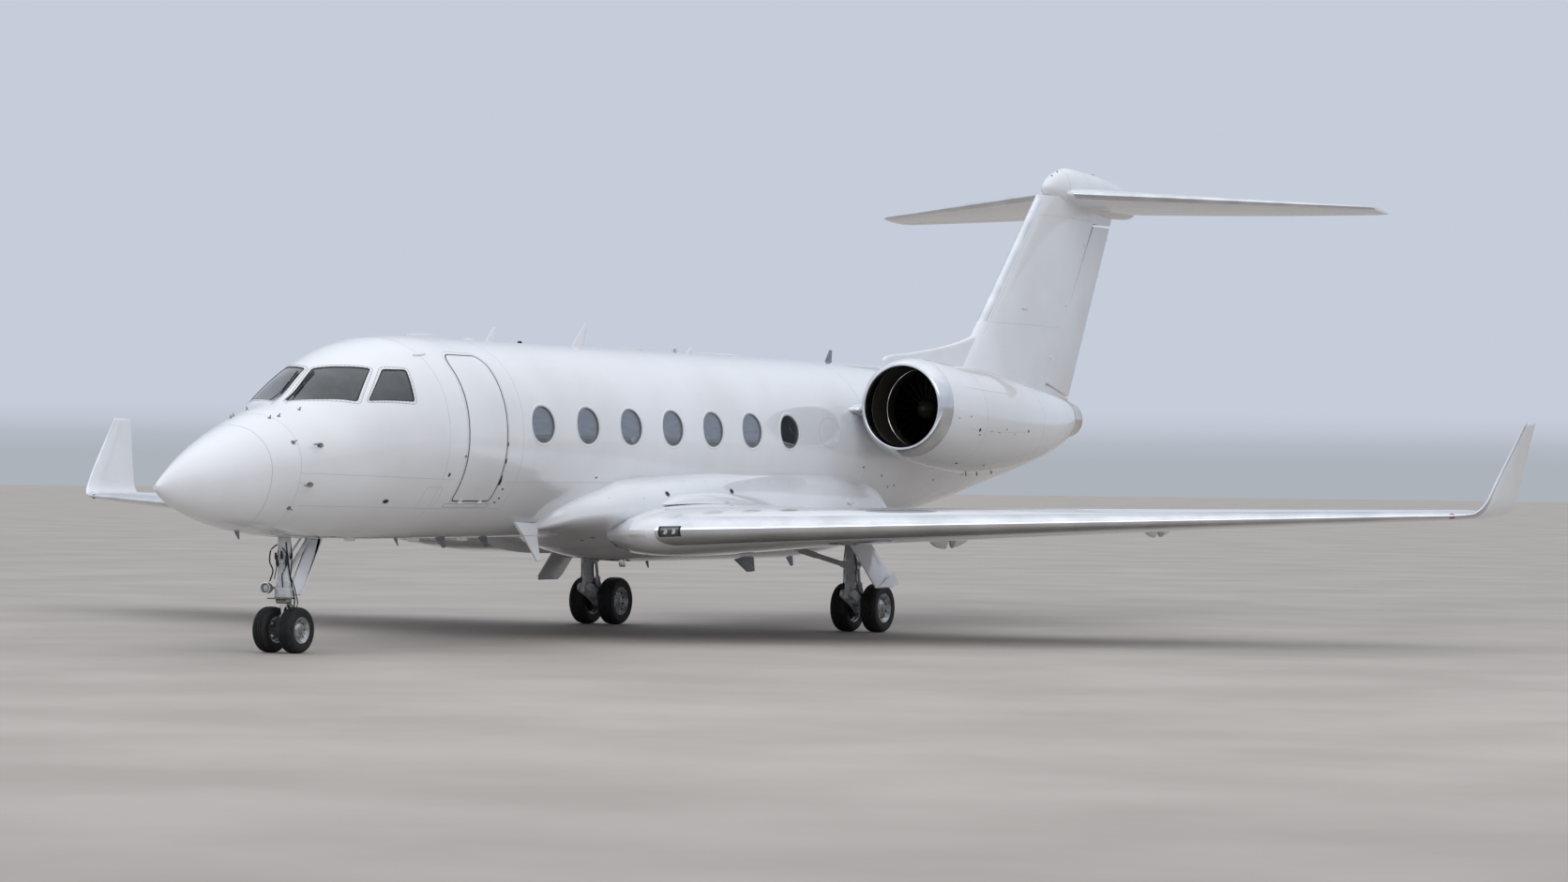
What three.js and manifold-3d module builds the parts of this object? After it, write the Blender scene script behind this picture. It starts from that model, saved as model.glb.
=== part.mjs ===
// A twin-engined business jet parked on its landing gear, at full size.
// Millimetres, +Z up. Stations (y) run aft from the nose tip, x runs to port, z is the height above the ground.
import * as THREE from "three";
import { mergeVertices } from "three/addons/utils/BufferGeometryUtils.js";
import Module from "manifold-3d";

const wasm = await Module();
wasm.setup();

// Driving sizes
const overallLength = 28460;
const gap = 0.4; // between pieces that touch
const runningGap = 9; // between a piece that moves and its neighbours

const hull = { radius: 1285, axisZ: 2655, sides: 32, roomSides: 20, wall: 95 };
const radomeJoint = 1460;
const noseJoint = 4350;
const cabinJoint = 15600;
const hullTop = hull.axisZ + hull.radius;
const hullBottom = hull.axisZ - hull.radius;

// Fuselage sections: station, half width, height of the widest line, top, bottom, fullness of the upper half
const hullSections = [
  [60, 46, 2003, 2074, 1930, 1],
  [250, 134, 2015, 2200, 1822, 1],
  [600, 300, 2065, 2392, 1692, 1],
  [1100, 495, 2150, 2618, 1564, 1],
  [1500, 635, 2230, 2768, 1496, 1],
  [2000, 768, 2325, 2935, 1442, 1],
  [2510, 905, 2400, 3085, 1408, 1],
  [3090, 1060, 2495, 3480, 1388, 1],
  [3450, 1132, 2550, 3660, 1388, 0.99],
  [3900, 1205, 2600, 3820, 1378, 0.96],
  [4350, 1252, 2635, 3905, 1371, 0.93],
  [5000, hull.radius, hull.axisZ, hullTop, hullBottom, 0.9],
  [15600, hull.radius, hull.axisZ, hullTop, hullBottom, 0.9],
  [17500, 1262, 2670, 3938, 1480, 0.95],
  [19500, 1150, 2790, 3905, 1745, 1],
  [21500, 930, 2950, 3840, 2085, 1],
  [23500, 640, 3090, 3720, 2425, 1],
  [24400, 480, 3150, 3620, 2610, 1],
  [25200, 320, 3210, 3480, 2855, 1],
  [25650, 170, 3250, 3400, 3060, 1],
];
const noseTip = [0, 0, 2003];
const tailTip = [0, 25760, 3240];

// Cabin windows and the entry door, drawn from the side
const windows = { count: 7, first: 6507, pitch: 1113, z: 2842, width: 545, height: 470 };
const door = { front: 4745, back: 5640, top: 3700, bottom: 1850, corner: 170, footCorner: 60 };
// The door's hinge stands proud of the skin below the doorway: its height there, its pin and its two knuckles
const doorHinge = {
  z: 1838,
  proud: 10,
  pin: 4.5,
  knuckle: 8,
  stations: [4960, 5420],
  length: 70,
  lug: 26,
  strap: 58,
};
const floorTop = 1935;

// Cockpit panes on the port side, corner by corner: x, station, z
const windshieldCorners = [
  [85, 2465, 3060],
  [55, 3080, 3475],
  [640, 3475, 3480],
  [800, 2965, 3070],
];
const sideWindowCorners = [
  [868, 3105, 3080],
  [735, 3600, 3480],
  [870, 3915, 3480],
  [1075, 3790, 3068],
];
const pane = { outer: 14, inner: 40 };

// Wing: x, leading edge station, trailing edge station, leading edge height, thickness ratio, nose-up angle
const wingTable = [
  [1000, 7650, 14250, 1428, 0.118, 1.6],
  [3300, 8920, 13850, 1512, 0.105, 1.2],
  [11250, 13300, 14740, 1782, 0.085, 0],
];
// Winglet: x, leading edge station, trailing edge station, height, lean outwards from upright
const wingletRatio = 0.075;
const wingletTable = [
  [11360, 13380, 14750, 1800, 70],
  [11440, 13460, 14755, 1860, 45],
  [11490, 13560, 14765, 1960, 22],
  [11540, 13760, 14795, 2200, 12],
  [11700, 14505, 14930, 3010, 12],
];
// Each wing's control surfaces, from x to x along the hinge line
const flapSpan = [3420, 7500];
const aileronSpan = [7640, 10700];
const surfaceHinge = 0.74;
const spoiler = { span: [3800, 7300], front: 0.6, back: 0.7, depth: 26, hingeRadius: 9 };
// Fairings under the flap hinges: x, length, depth
const hingeFairings = [
  [4050, 1150, 150],
  [6900, 950, 120],
];

// Belly fairing sections: station, half width, height of the widest line, top, bottom
const fairingSections = [
  [7250, 380, 1450, 1500, 1400],
  [7900, 760, 1530, 1700, 1375],
  [8500, 1030, 1590, 1930, 1330],
  [9300, 1300, 1640, 2150, 1200],
  [10200, 1375, 1660, 2260, 1045],
  [12000, 1385, 1660, 2310, 988],
  [14600, 1375, 1660, 2300, 990],
  [16100, 1230, 1640, 2100, 1110],
  [17400, 800, 1560, 1750, 1350],
];

const fin = { rootZ: 3250, tipZ: 6960, lead: [21775, 4520, 1.004], trail: [25500, 3600, 0.561] };
const rudderHinge = [
  [24350, 3815],
  [26330, 6540],
];
// The rudder's edge behind its hinge line, and the larger cut-out that it turns in
const rudderOutline = [[24350, 3815], [26330, 6540], [27500, 6555], [25900, 3535]];
const rudderRoom = [[24160, 3812], [26238, 6582], [27600, 6602], [27600, 3300], [25900, 3502]];
const rudderNoseBounds = [[24000, 3878], [24000, 6510], [27500, 6555], [25900, 3535]];
const bulletSections = [
  [24560, 95, 7085, 7195, 6980],
  [24900, 195, 7095, 7375, 6870],
  [25350, 262, 7105, 7478, 6800],
  [26300, 270, 7085, 7440, 6750],
  [27200, 225, 7035, 7350, 6725],
  [27850, 150, 6985, 7215, 6745],
  [28150, 80, 6930, 7060, 6800],
];
const bulletNose = [0, 24450, 7080];
const bulletTail = [0, 28290, 6880];
// Stabiliser, in the wing's columns
const stabiliserTable = [
  [0, 24850, 27990, 7030, 0.1, 3.4],
  [4480, 27495, 28440, 6862, 0.09, 5],
  [4650, 27720, 28460, 6855, 0.06, 5],
];
const elevatorSpan = [620, 4330];
const elevatorHinge = 0.7;

const engine = { x: 2050, y: 15150, z: 3240, tilt: 0.95, sides: 20, lipJoint: 260, nozzleJoint: 5430 };
// Profiles about an engine's axis: distance aft of its lip, radius
const lipProfile = [[0, 612], [12, 640], [60, 675], [160, 712], [260, 733], [260, 600], [90, 575], [20, 592]];
const cowlInside = [[5430, 318], [4200, 415], [3200, 535], [2300, 620], [1500, 620], [1250, 600], [260, 600]];
// Outside of the cowl, which sags below the engine's axis: distance aft, radius, sag
const cowlSections = [
  [260, 733, 0],
  [600, 765, 34],
  [1100, 787, 75],
  [2000, 797, 120],
  [3000, 735, 138],
  [4000, 612, 128],
  [4800, 482, 84],
  [5430, 336, 12],
];
const nozzleProfile = [
  [5430, 336],
  [5840, 272],
  [5840, 257],
  [5430, 290],
  [4980, 325],
  [4980, 340],
  [5380, 308],
  [5430, 308],
];
const coreProfile = [[1120, 0], [1120, 330], [1250, 480], [2500, 480], [4100, 260], [5300, 0]];
const coreSides = 14;
const spinnerProfile = [[690, 0], [735, 75], [840, 145], [1060, 175]];
const fan = { station: 940, tip: 576, blades: 14, shaft: 60, sides: 24 };
const coreMount = { front: 1700, back: 2000, half: 45, reach: 619.6 };
// Pylon: x, leading edge station, trailing edge station, leading edge height, thickness ratio, nose-up angle
const pylonTable = [
  [900, 14900, 20300, 3225, 0.05, 0.95],
  [2000, 15300, 20300, 3225, 0.05, 0.95],
];

// Landing gear: place, tyre radius and width, half the twin wheels' spacing, rim and axle radius
const noseGear = { x: 0, y: 2604, tyre: 280, width: 200, half: 185, rim: 152, axle: 32 };
const mainGear = { x: 2171, y: 13765, tyre: 347, width: 245, half: 240, rim: 198, axle: 40 };
const noseStrut = {
  radius: 78,
  top: 1500,
  collar: 112,
  collarFoot: 665,
  collarTop: 800,
  piston: 45,
  pistonTop: 1000,
};
const mainStrut = { y: 13385, radius: 80, foot: 620, top: 1350, pivotY: 13300, pivotZ: 560 };

// Materials, one for each finish
const paint = (color, roughness, metalness) => new THREE.MeshStandardMaterial({ color, roughness, metalness });
const whitePaint = paint(0xe9eaeb, 0.25, 0);
const polished = paint(0xc4c6c8, 0.15, 1);
const darkMetal = paint(0x4c4a48, 0.4, 1);
const gearPaint = paint(0xd9dadb, 0.35, 0);
const steel = paint(0xb5b7ba, 0.3, 1);
const glass = paint(0x2c3432, 0.08, 0);
const rubber = paint(0x161616, 0.8, 0);
const leather = paint(0xcfc4b2, 0.6, 0);
const trim = paint(0x4a4744, 0.6, 0);

// Turns a geometry into a solid for joining and cutting
function toSolid(geometry) {
  const bare = geometry.index ? geometry.toNonIndexed() : geometry.clone();
  bare.deleteAttribute("normal");
  bare.deleteAttribute("uv");
  const merged = mergeVertices(bare, 1e-3);
  const vertProperties = new Float32Array(merged.attributes.position.array);
  const triVerts = new Uint32Array(merged.index.array);
  return new wasm.Manifold(new wasm.Mesh({ numProp: 3, vertProperties, triVerts }));
}

// Turns a solid back into a geometry
function toGeometry(solid) {
  const mesh = solid.getMesh();
  const points = [];
  for (let i = 0; i < mesh.numVert; i++) {
    points.push(...mesh.vertProperties.subarray(i * mesh.numProp, i * mesh.numProp + 3));
  }
  const geometry = new THREE.BufferGeometry();
  geometry.setAttribute("position", new THREE.Float32BufferAttribute(points, 3));
  geometry.setIndex([...mesh.triVerts]);
  geometry.computeVertexNormals();
  return geometry;
}

const joinAll = (solids) => solids.reduce((whole, piece) => whole.add(piece));
const cutAll = (solid, cutters) => cutters.reduce((whole, cutter) => whole.subtract(cutter), solid);
const largest = (solid) => solid.decompose().sort((a, b) => b.volume() - a.volume())[0];
const radians = THREE.MathUtils.degToRad;

// A closed skin through rings of equally many points. Each end closes on a given point or on its ring's middle.
// The quads of a ring's two halves are split in mirrored directions, so a symmetric body stays symmetric.
function loft(rings, startPoint, endPoint) {
  const sides = rings[0].length;
  const middle = (ring) => [0, 1, 2].map((k) => ring.reduce((sum, p) => sum + p[k], 0) / ring.length);
  const points = rings.flat();
  points.push(startPoint ?? middle(rings[0]));
  points.push(endPoint ?? middle(rings[rings.length - 1]));
  const start = points.length - 2;
  const end = points.length - 1;
  const last = (rings.length - 1) * sides;
  const index = [];
  for (let i = 0; i < sides; i++) {
    const next = (i + 1) % sides;
    index.push(start, next, i);
    index.push(end, last + i, last + next);
    for (let r = 0; r < rings.length - 1; r++) {
      const a = r * sides;
      const b = a + sides;
      if (i < sides / 2) index.push(a + i, a + next, b + i, a + next, b + next, b + i);
      else index.push(a + i, a + next, b + next, a + i, b + next, b + i);
    }
  }
  let volume = 0;
  const corner = [new THREE.Vector3(), new THREE.Vector3(), new THREE.Vector3()];
  for (let i = 0; i < index.length; i += 3) {
    corner.forEach((v, k) => v.fromArray(points[index[i + k]]));
    volume += corner[0].dot(corner[1].clone().cross(corner[2]));
  }
  if (volume < 0) index.reverse();
  const geometry = new THREE.BufferGeometry();
  geometry.setAttribute("position", new THREE.Float32BufferAttribute(points.flat(), 3));
  geometry.setIndex(index);
  return toSolid(geometry);
}

function box(x0, x1, y0, y1, z0, z1) {
  const geometry = new THREE.BoxGeometry(x1 - x0, y1 - y0, z1 - z0);
  geometry.translate((x0 + x1) / 2, (y0 + y1) / 2, (z0 + z1) / 2);
  return toSolid(geometry);
}

// A round bar, or a cone, from one point to another
function rod(from, to, radius, sides = 14, endRadius = radius) {
  const a = new THREE.Vector3(...from);
  const b = new THREE.Vector3(...to);
  const geometry = new THREE.CylinderGeometry(endRadius, radius, a.distanceTo(b), sides);
  geometry.translate(0, a.distanceTo(b) / 2, 0);
  const direction = b.clone().sub(a).normalize();
  geometry.applyQuaternion(new THREE.Quaternion().setFromUnitVectors(new THREE.Vector3(0, 1, 0), direction));
  geometry.translate(...from);
  return toSolid(geometry);
}

// A profile of [distance aft, radius] points turned about a line along Y; one that misses the line closes on itself
function turned(profile, sides) {
  const points = profile.map(([along, radius]) => new THREE.Vector2(radius, along));
  if (profile[0][1] > 0) points.push(points[0].clone());
  const geometry = new THREE.LatheGeometry(points, sides);
  const solid = toSolid(geometry);
  return solid.volume() > 0 ? solid : toSolid(new THREE.LatheGeometry(points.reverse(), sides));
}

// An outline of [station, height] points carried from one x to another
function sidePlate(outline, x0, x1) {
  const shape = new THREE.Shape(outline.map(([y, z]) => new THREE.Vector2(y, z)));
  const geometry = new THREE.ExtrudeGeometry(shape, { depth: x1 - x0, bevelEnabled: false });
  geometry.applyMatrix4(new THREE.Matrix4().set(0, 0, 1, x0, 1, 0, 0, 0, 0, 1, 0, 0, 0, 0, 0, 1));
  return toSolid(geometry);
}

function mirrored(geometry) {
  const copy = geometry.clone();
  copy.scale(-1, 1, 1);
  copy.setIndex([...copy.index.array].reverse());
  return copy;
}
const mirror = (solid) => toSolid(mirrored(toGeometry(solid)));

// A body section: half-ellipses above and below the widest line. A fullness below 1 squares the upper half.
function bodyRing([y, halfWidth, middleZ, top, bottom, fullness = 1], sides, inset = 0, lowFullness = 1) {
  const ring = [];
  for (let i = 0; i < sides; i++) {
    const angle = (2 * Math.PI * i) / sides;
    const up = Math.cos(angle);
    const out = Math.sin(angle);
    const power = up > 0 ? fullness : lowFullness;
    const height = up > 0 ? top - middleZ : middleZ - bottom;
    const x = (halfWidth - inset) * Math.sign(out) * Math.abs(out) ** power;
    const z = middleZ + (height - inset) * Math.sign(up) * Math.abs(up) ** power;
    ring.push([x, y, z]);
  }
  return ring;
}

// The row of a table at any value of its first column, in a straight line between the table's rows
function rowAt(table, value) {
  const after = table.findIndex((row) => row[0] >= value);
  if (after <= 0) return [value, ...table[Math.max(after, 0)].slice(1)];
  const a = table[after - 1];
  const b = table[after];
  const t = (value - a[0]) / (b[0] - a[0]);
  return a.map((number, k) => number + (b[k] - number) * t);
}

// The hull between two stations, drawn in by inset
function hullBetween(from, to, inset, sides = hull.roomSides) {
  const inner = hullSections.filter(([y]) => y > from + 1 && y < to - 1);
  const rows = [rowAt(hullSections, from), ...inner, rowAt(hullSections, to)];
  return loft(rows.map((row) => bodyRing(row, sides, inset)));
}

// Aerofoil: steps along the chord from the nose, over the top and back underneath
const chordSteps = [0, 0.015, 0.07, 0.2, 0.4, 0.62, 0.76, 1];
const edgeThickness = 0.0035;
const camberShare = 0.12;
const foil = [
  ...chordSteps.map((s) => [s, 1]),
  ...chordSteps.slice(1).reverse().map((s) => [s, -1]),
];
// Height above the chord line on the upper (1), lower (-1) or middle (0) surface, as a share of the chord
function foilHeight(s, side, ratio, camber = camberShare) {
  const curve = 0.2969 * Math.sqrt(s) - 0.126 * s - 0.3516 * s ** 2 + 0.2843 * s ** 3 - 0.1015 * s ** 4;
  const half = 5 * ratio * curve + edgeThickness * s;
  return side * half + camber * ratio * Math.sin(Math.PI * s);
}

// A point of a wing or stabiliser from its planform table, at any x, chord fraction and surface
function surfacePoint(table, x, s, side) {
  const [, lead, trail, z, ratio, incidence] = rowAt(table, x);
  const chord = trail - lead;
  const camber = table === wingTable ? camberShare : 0;
  const height = foilHeight(s, side, ratio, camber) - Math.tan(radians(incidence)) * s;
  return [x, lead + s * chord, z + height * chord];
}
const surfaceRing = (table, x) => foil.map(([s, side]) => surfacePoint(table, x, s, side));

function wingletRing([x, lead, trail, z, lean]) {
  const chord = trail - lead;
  return foil.map(([s, side]) => {
    const out = foilHeight(s, side, wingletRatio, 0) * chord;
    return [x - out * Math.cos(radians(lean)), lead + s * chord, z + out * Math.sin(radians(lean))];
  });
}

const plane = new THREE.Group();
plane.position.y = -overallLength / 2;
function addMesh(name, geometry, material) {
  const mesh = new THREE.Mesh(geometry, material);
  mesh.name = name;
  plane.add(mesh);
}
const node = (name, solid, material) => addMesh(name, toGeometry(solid), material);
// Adds a port piece and its mirror image
function pair(name, solid, material) {
  const geometry = toGeometry(solid);
  addMesh(name + "_port", geometry, material);
  addMesh(name + "_starboard", mirrored(geometry), material);
}

// A rounded opening in the station-height plane
function ovalOutline(centreY, centreZ, width, height, steps = 10, power = 0.8) {
  const outline = [];
  for (let i = 0; i < steps; i++) {
    const angle = (2 * Math.PI * (i + 0.5)) / steps;
    const c = Math.cos(angle);
    const s = Math.sin(angle);
    const y = centreY + (width / 2) * Math.sign(c) * Math.abs(c) ** power;
    const z = centreZ + (height / 2) * Math.sign(s) * Math.abs(s) ** power;
    outline.push([y, z]);
  }
  return outline;
}
// A rectangle with round corners in the station-height plane
const cornerSteps = 3;
function roundedOutline(y0, y1, z0, z1, radius, steps = cornerSteps, footRadius = radius) {
  const corners = [
    [y1 - radius, z1 - radius, radius],
    [y0 + radius, z1 - radius, radius],
    [y0 + footRadius, z0 + footRadius, footRadius],
    [y1 - footRadius, z0 + footRadius, footRadius],
  ];
  return corners.flatMap(([cy, cz, r], quarter) =>
    Array.from({ length: steps + 1 }, (_, i) => {
      const angle = (Math.PI / 2) * (quarter + i / steps);
      return [cy + r * Math.cos(angle), cz + r * Math.sin(angle)];
    }),
  );
}

// A prism through four corners, along the normal of their face, with its sides drawn in by inset
function paneBlock(corners, inset) {
  const points = corners.map((p) => new THREE.Vector3(...p));
  const centre = points.reduce((sum, p) => sum.add(p), new THREE.Vector3()).divideScalar(4);
  const across = points[2].clone().sub(points[0]);
  const normal = across.cross(points[3].clone().sub(points[1])).normalize();
  const face = (depth) =>
    points.map((p) => {
      const inward = centre.clone().sub(p).normalize();
      return p.clone().addScaledVector(inward, inset * 1.5).addScaledVector(normal, depth).toArray();
    });
  return loft([face(-170), face(170)]);
}

// Fuselage
const wholeHull = loft(hullSections.map((row) => bodyRing(row, hull.sides)), noseTip, tailTip);
const grownHull = loft(hullSections.map((row) => bodyRing(row, hull.sides, -gap)), noseTip, tailTip);
const slab = (from, to) => box(-3000, 3000, from, to, 0, 9000);

node("radome", wholeHull.intersect(slab(-100, radomeJoint - gap / 2)), whitePaint);

const cockpitRoom = hullBetween(2380, noseJoint + 10, hull.wall).intersect(box(-3000, 3000, 0, 9000, floorTop, 9000));
const cabinRoom = hullBetween(noseJoint - 10, cabinJoint - 300, hull.wall);
const paneCuts = [windshieldCorners, sideWindowCorners].map((corners) => paneBlock(corners, 0));
const noseLegPocket = rod([0, noseGear.y, 1200], [0, noseGear.y, 1600], 92 + gap, 16);
const noseSection = cutAll(wholeHull.intersect(slab(radomeJoint + gap / 2, noseJoint - gap / 2)), [
  cockpitRoom,
  ...paneCuts,
  ...paneCuts.map(mirror),
  noseLegPocket,
]);
node("nose_section", noseSection, whitePaint);

const windowCentres = Array.from({ length: windows.count }, (_, i) => windows.first + i * windows.pitch);
const windowCut = (centre, x0, x1, inset) =>
  sidePlate(ovalOutline(centre, windows.z, windows.width - 2 * inset, windows.height - 2 * inset), x0, x1);
const doorShape = (inset) => {
  const { front, back, bottom, top, corner, footCorner } = door;
  const ends = [front + inset, back - inset, bottom + inset, top - inset];
  return sidePlate(roundedOutline(...ends, corner - inset, cornerSteps, footCorner - inset), 300, 2000);
};
// A point of the door's hinge, from its distance out of the skin and its distance up along the skin
const hingeDrop = (hull.axisZ - doorHinge.z) / hull.radius;
const hingeOut = Math.sqrt(1 - hingeDrop ** 2);
const byHinge = (out, up, y) => [
  hull.radius * hingeOut + out * hingeOut + up * hingeDrop,
  y,
  doorHinge.z - out * hingeDrop + up * hingeOut,
];
const hingePlate = (out0, out1, up0, up1, y0, y1) => {
  const face = (y) => [byHinge(out0, up0, y), byHinge(out1, up0, y), byHinge(out1, up1, y), byHinge(out0, up1, y)];
  return loft([face(y0), face(y1)]);
};
const hingeRod = (radius, y0, y1) =>
  rod(byHinge(doorHinge.proud, 0, y0), byHinge(doorHinge.proud, 0, y1), radius, 12);
const hingeRoot = -14; // how deep the hinge's parts are let into the skins
const { knuckle, length: knuckleLength, lug, strap } = doorHinge;
// On the hull, a lug at both ends of each of the door's knuckles
const hullLugs = doorHinge.stations.flatMap((y) =>
  [y - knuckleLength / 2 - 1 - lug, y + knuckleLength / 2 + 1].map((y0) =>
    hingePlate(hingeRoot, doorHinge.proud, -knuckle, knuckle, y0, y0 + lug).add(hingeRod(knuckle, y0, y0 + lug)),
  ),
);
// On the door, a knuckle with a strap that reaches up over the door's foot
const doorKnuckles = doorHinge.stations.flatMap((y) => {
  const ends = [y - knuckleLength / 2, y + knuckleLength / 2];
  return [
    hingeRod(knuckle, ...ends),
    hingePlate(2, doorHinge.proud, 0, strap, ...ends),
    hingePlate(hingeRoot, doorHinge.proud, strap / 2, strap, ...ends),
    hingeRod(doorHinge.pin, ends[0] - lug, ends[1] + lug),
  ];
});
const cabinTube = wholeHull.intersect(slab(noseJoint + gap / 2, cabinJoint - gap / 2)).subtract(cabinRoom);
const cabinShell = cutAll(cabinTube, [
  ...windowCentres.map((centre) => windowCut(centre, -2000, 2000, 0)),
  doorShape(0),
]);
const hingeBore = hingeRod(doorHinge.pin + 0.8, door.front, door.back);
const cabinSection = joinAll([cabinShell, ...hullLugs]).subtract(hingeBore);
// Aerials on the centre line: station of the foot, its length, height, sweep of the tip, half thickness
const roofAerials = [
  [9430, 330, 330, 190, 14],
  [7210, 230, 190, 80, 12],
  [12480, 150, 90, 60, 9],
];
const tailAerials = [[16760, 230, 190, 40, 12]];
const keelAerials = [
  [5030, 90, 100, 60, 8],
  [6060, 240, 130, 60, 10],
  [7080, 230, 130, 60, 10],
];
const bellyAerials = [
  [11370, 90, 90, 30, 8],
  [14180, 620, 190, 90, 10],
  [15560, 260, 170, 60, 10],
];
const aerialDepth = 80; // of the foot below the skin
const aerialTip = 0.4; // share of the sweep by which the foot's rear edge leans
// A blade that stands up from the skin at height z, or hangs from it where the direction is -1
const aerial = (z, direction) => ([y, foot, height, sweep, half]) =>
  sidePlate(
    [
      [y - foot / 2, z - direction * aerialDepth],
      [y + foot / 2, z - direction * aerialDepth],
      [y + foot / 2 + sweep * aerialTip, z + direction * height],
      [y + sweep, z + direction * height],
    ],
    -half,
    half,
  );
const cabinAerials = [...roofAerials.map(aerial(hullTop, 1)), ...keelAerials.map(aerial(hullBottom, -1))];
node("cabin_section", joinAll([cabinSection, ...cabinAerials]), whitePaint);

const tailRoom = hullBetween(cabinJoint - 10, 24500, hull.wall);
const tailShell = wholeHull.intersect(slab(cabinJoint + gap / 2, 30000)).subtract(tailRoom);
node("tail_section", joinAll([tailShell, ...tailAerials.map(aerial(3930, 1))]), whitePaint);

// Entry door with its stairs, hinged along its lower edge
// Taken off the door's top edge, in x and z, so that it can swing out
const topBevel = [
  [560, 3640],
  [840, 3690],
  [840, 3900],
  [560, 3900],
];
const bevelFace = (y) => topBevel.map(([x, z]) => [x, y, z]);
const doorSkin = wholeHull
  .subtract(cabinRoom)
  .intersect(doorShape(runningGap))
  .subtract(loft([bevelFace(door.front - 50), bevelFace(door.back + 50)]));
const stairs = [2120, 2380, 2640, 2900, 3160].map((z) => {
  const row = rowAt(hullSections, (door.front + door.back) / 2);
  const inner = (row[1] - hull.wall) * Math.sqrt(1 - ((z - row[2]) / (row[1] - hull.wall)) ** 2);
  return box(inner - 190, inner + 40, door.front + 120, door.back - 120, z - 22, z + 22);
});
node("entry_door", joinAll([doorSkin, ...stairs, ...doorKnuckles]), whitePaint);

const fairingPower = 0.8; // squares its sections a little
const fairing = (grow) =>
  loft(fairingSections.map((row) => bodyRing([...row, fairingPower], 24, -grow, fairingPower)));
// A blade that leans back beside the centre line, under the fairing's front
const sideBlade = { x: 370, half: 12, outline: [[7560, 1440], [7960, 1440], [8020, 1060], [7935, 1060]] };
const sideBladePlate = sidePlate(sideBlade.outline, sideBlade.x - sideBlade.half, sideBlade.x + sideBlade.half);
const bellyFairing = fairing(0).add(sideBladePlate).subtract(grownHull);
const fairingBottom = Math.min(...fairingSections.map((row) => row[4]));
node("belly_fairing", joinAll([bellyFairing, ...bellyAerials.map(aerial(fairingBottom, -1))]), whitePaint);

// Window panes: four in the cockpit, and one curved inner panel with seven panes along each side of the cabin
const paneLayer = hullBetween(2200, noseJoint, pane.outer, hull.sides).subtract(
  hullBetween(2190, noseJoint + 10, pane.inner, hull.sides),
);
pair("windshield", paneLayer.intersect(paneBlock(windshieldCorners, gap)), glass);
pair("side_window", paneLayer.intersect(paneBlock(sideWindowCorners, gap)), glass);

const panelEnds = [windowCentres[0] - 400, windowCentres[windows.count - 1] + 400];
const panelRoom = hullBetween(...panelEnds, hull.wall + gap).subtract(
  hullBetween(panelEnds[0] - 10, panelEnds[1] + 10, hull.wall + 14),
);
const panel = panelRoom.intersect(box(0, 2000, ...panelEnds, windows.z - 260, windows.z + 260));
const plugLayer = hullBetween(...panelEnds, 16, hull.sides).subtract(
  hullBetween(panelEnds[0] - 10, panelEnds[1] + 10, hull.wall + 8),
);
const plugs = windowCentres.map((centre) => plugLayer.intersect(windowCut(centre, 0, 2000, gap)));
pair("window_panel", joinAll([panel, ...plugs]), glass);

// Cabin and cockpit inside
const shrunkCabin = hullBetween(noseJoint - 10, cabinJoint - 300 - gap, hull.wall + gap);
const floorPlate = shrunkCabin
  .intersect(box(-1150, 1150, noseJoint + 5, cabinJoint - 310, floorTop - 45, floorTop))
  .subtract(box(860, 1300, door.front - 60, door.back + 60, 0, 3000));
const floorBeams = shrunkCabin.intersect(
  box(-450, 450, noseJoint + 5, cabinJoint - 310, floorTop - 700, floorTop - 40),
);
node("cabin_floor", floorPlate.add(floorBeams), trim);

const cockpitInside = hullBetween(2390, noseJoint, hull.wall + gap);
const bulkhead = cockpitInside
  .intersect(box(-1300, 1300, 4240, 4290, floorTop + gap, 5000))
  .subtract(box(-330, 330, 4200, 4320, floorTop - 10, 3650));
node("cockpit_bulkhead", bulkhead, trim);
const instrumentPanel = joinAll([
  box(-720, 720, 2720, 2800, 2420, 2860),
  box(-740, 740, 2700, 2900, 2855, 2880),
  box(-150, 150, 2750, 3400, floorTop + gap, 2430),
]).intersect(cockpitInside);
node("instrument_panel", instrumentPanel, trim);

// A seat facing forward: its base, cushion and back
function seat(x, y, width, backTop) {
  return joinAll([
    box(x - 130, x + 130, y - 160, y + 160, floorTop + gap, floorTop + 290),
    box(x - width / 2, x + width / 2, y - 260, y + 250, floorTop + 290, floorTop + 440),
    box(x - width / 2, x + width / 2, y + 190, y + 330, floorTop + 420, floorTop + backTop),
  ]);
}
const pilotSeats = [-450, 450].map((x) => seat(x, 3620, 470, 1080));
const pilotRail = box(-500, 500, 3740, 3780, floorTop + gap, floorTop + 40);
node("pilot_seats", joinAll([...pilotSeats, pilotRail]), leather);
const cabinSeats = [7300, 9000, 10700, 12400].map((y) => seat(670, y, 520, 960));
const seatRail = box(640, 700, 7300, 12400, floorTop + gap, floorTop + 30);
pair("cabin_seats", joinAll([...cabinSeats, seatRail]), leather);

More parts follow.
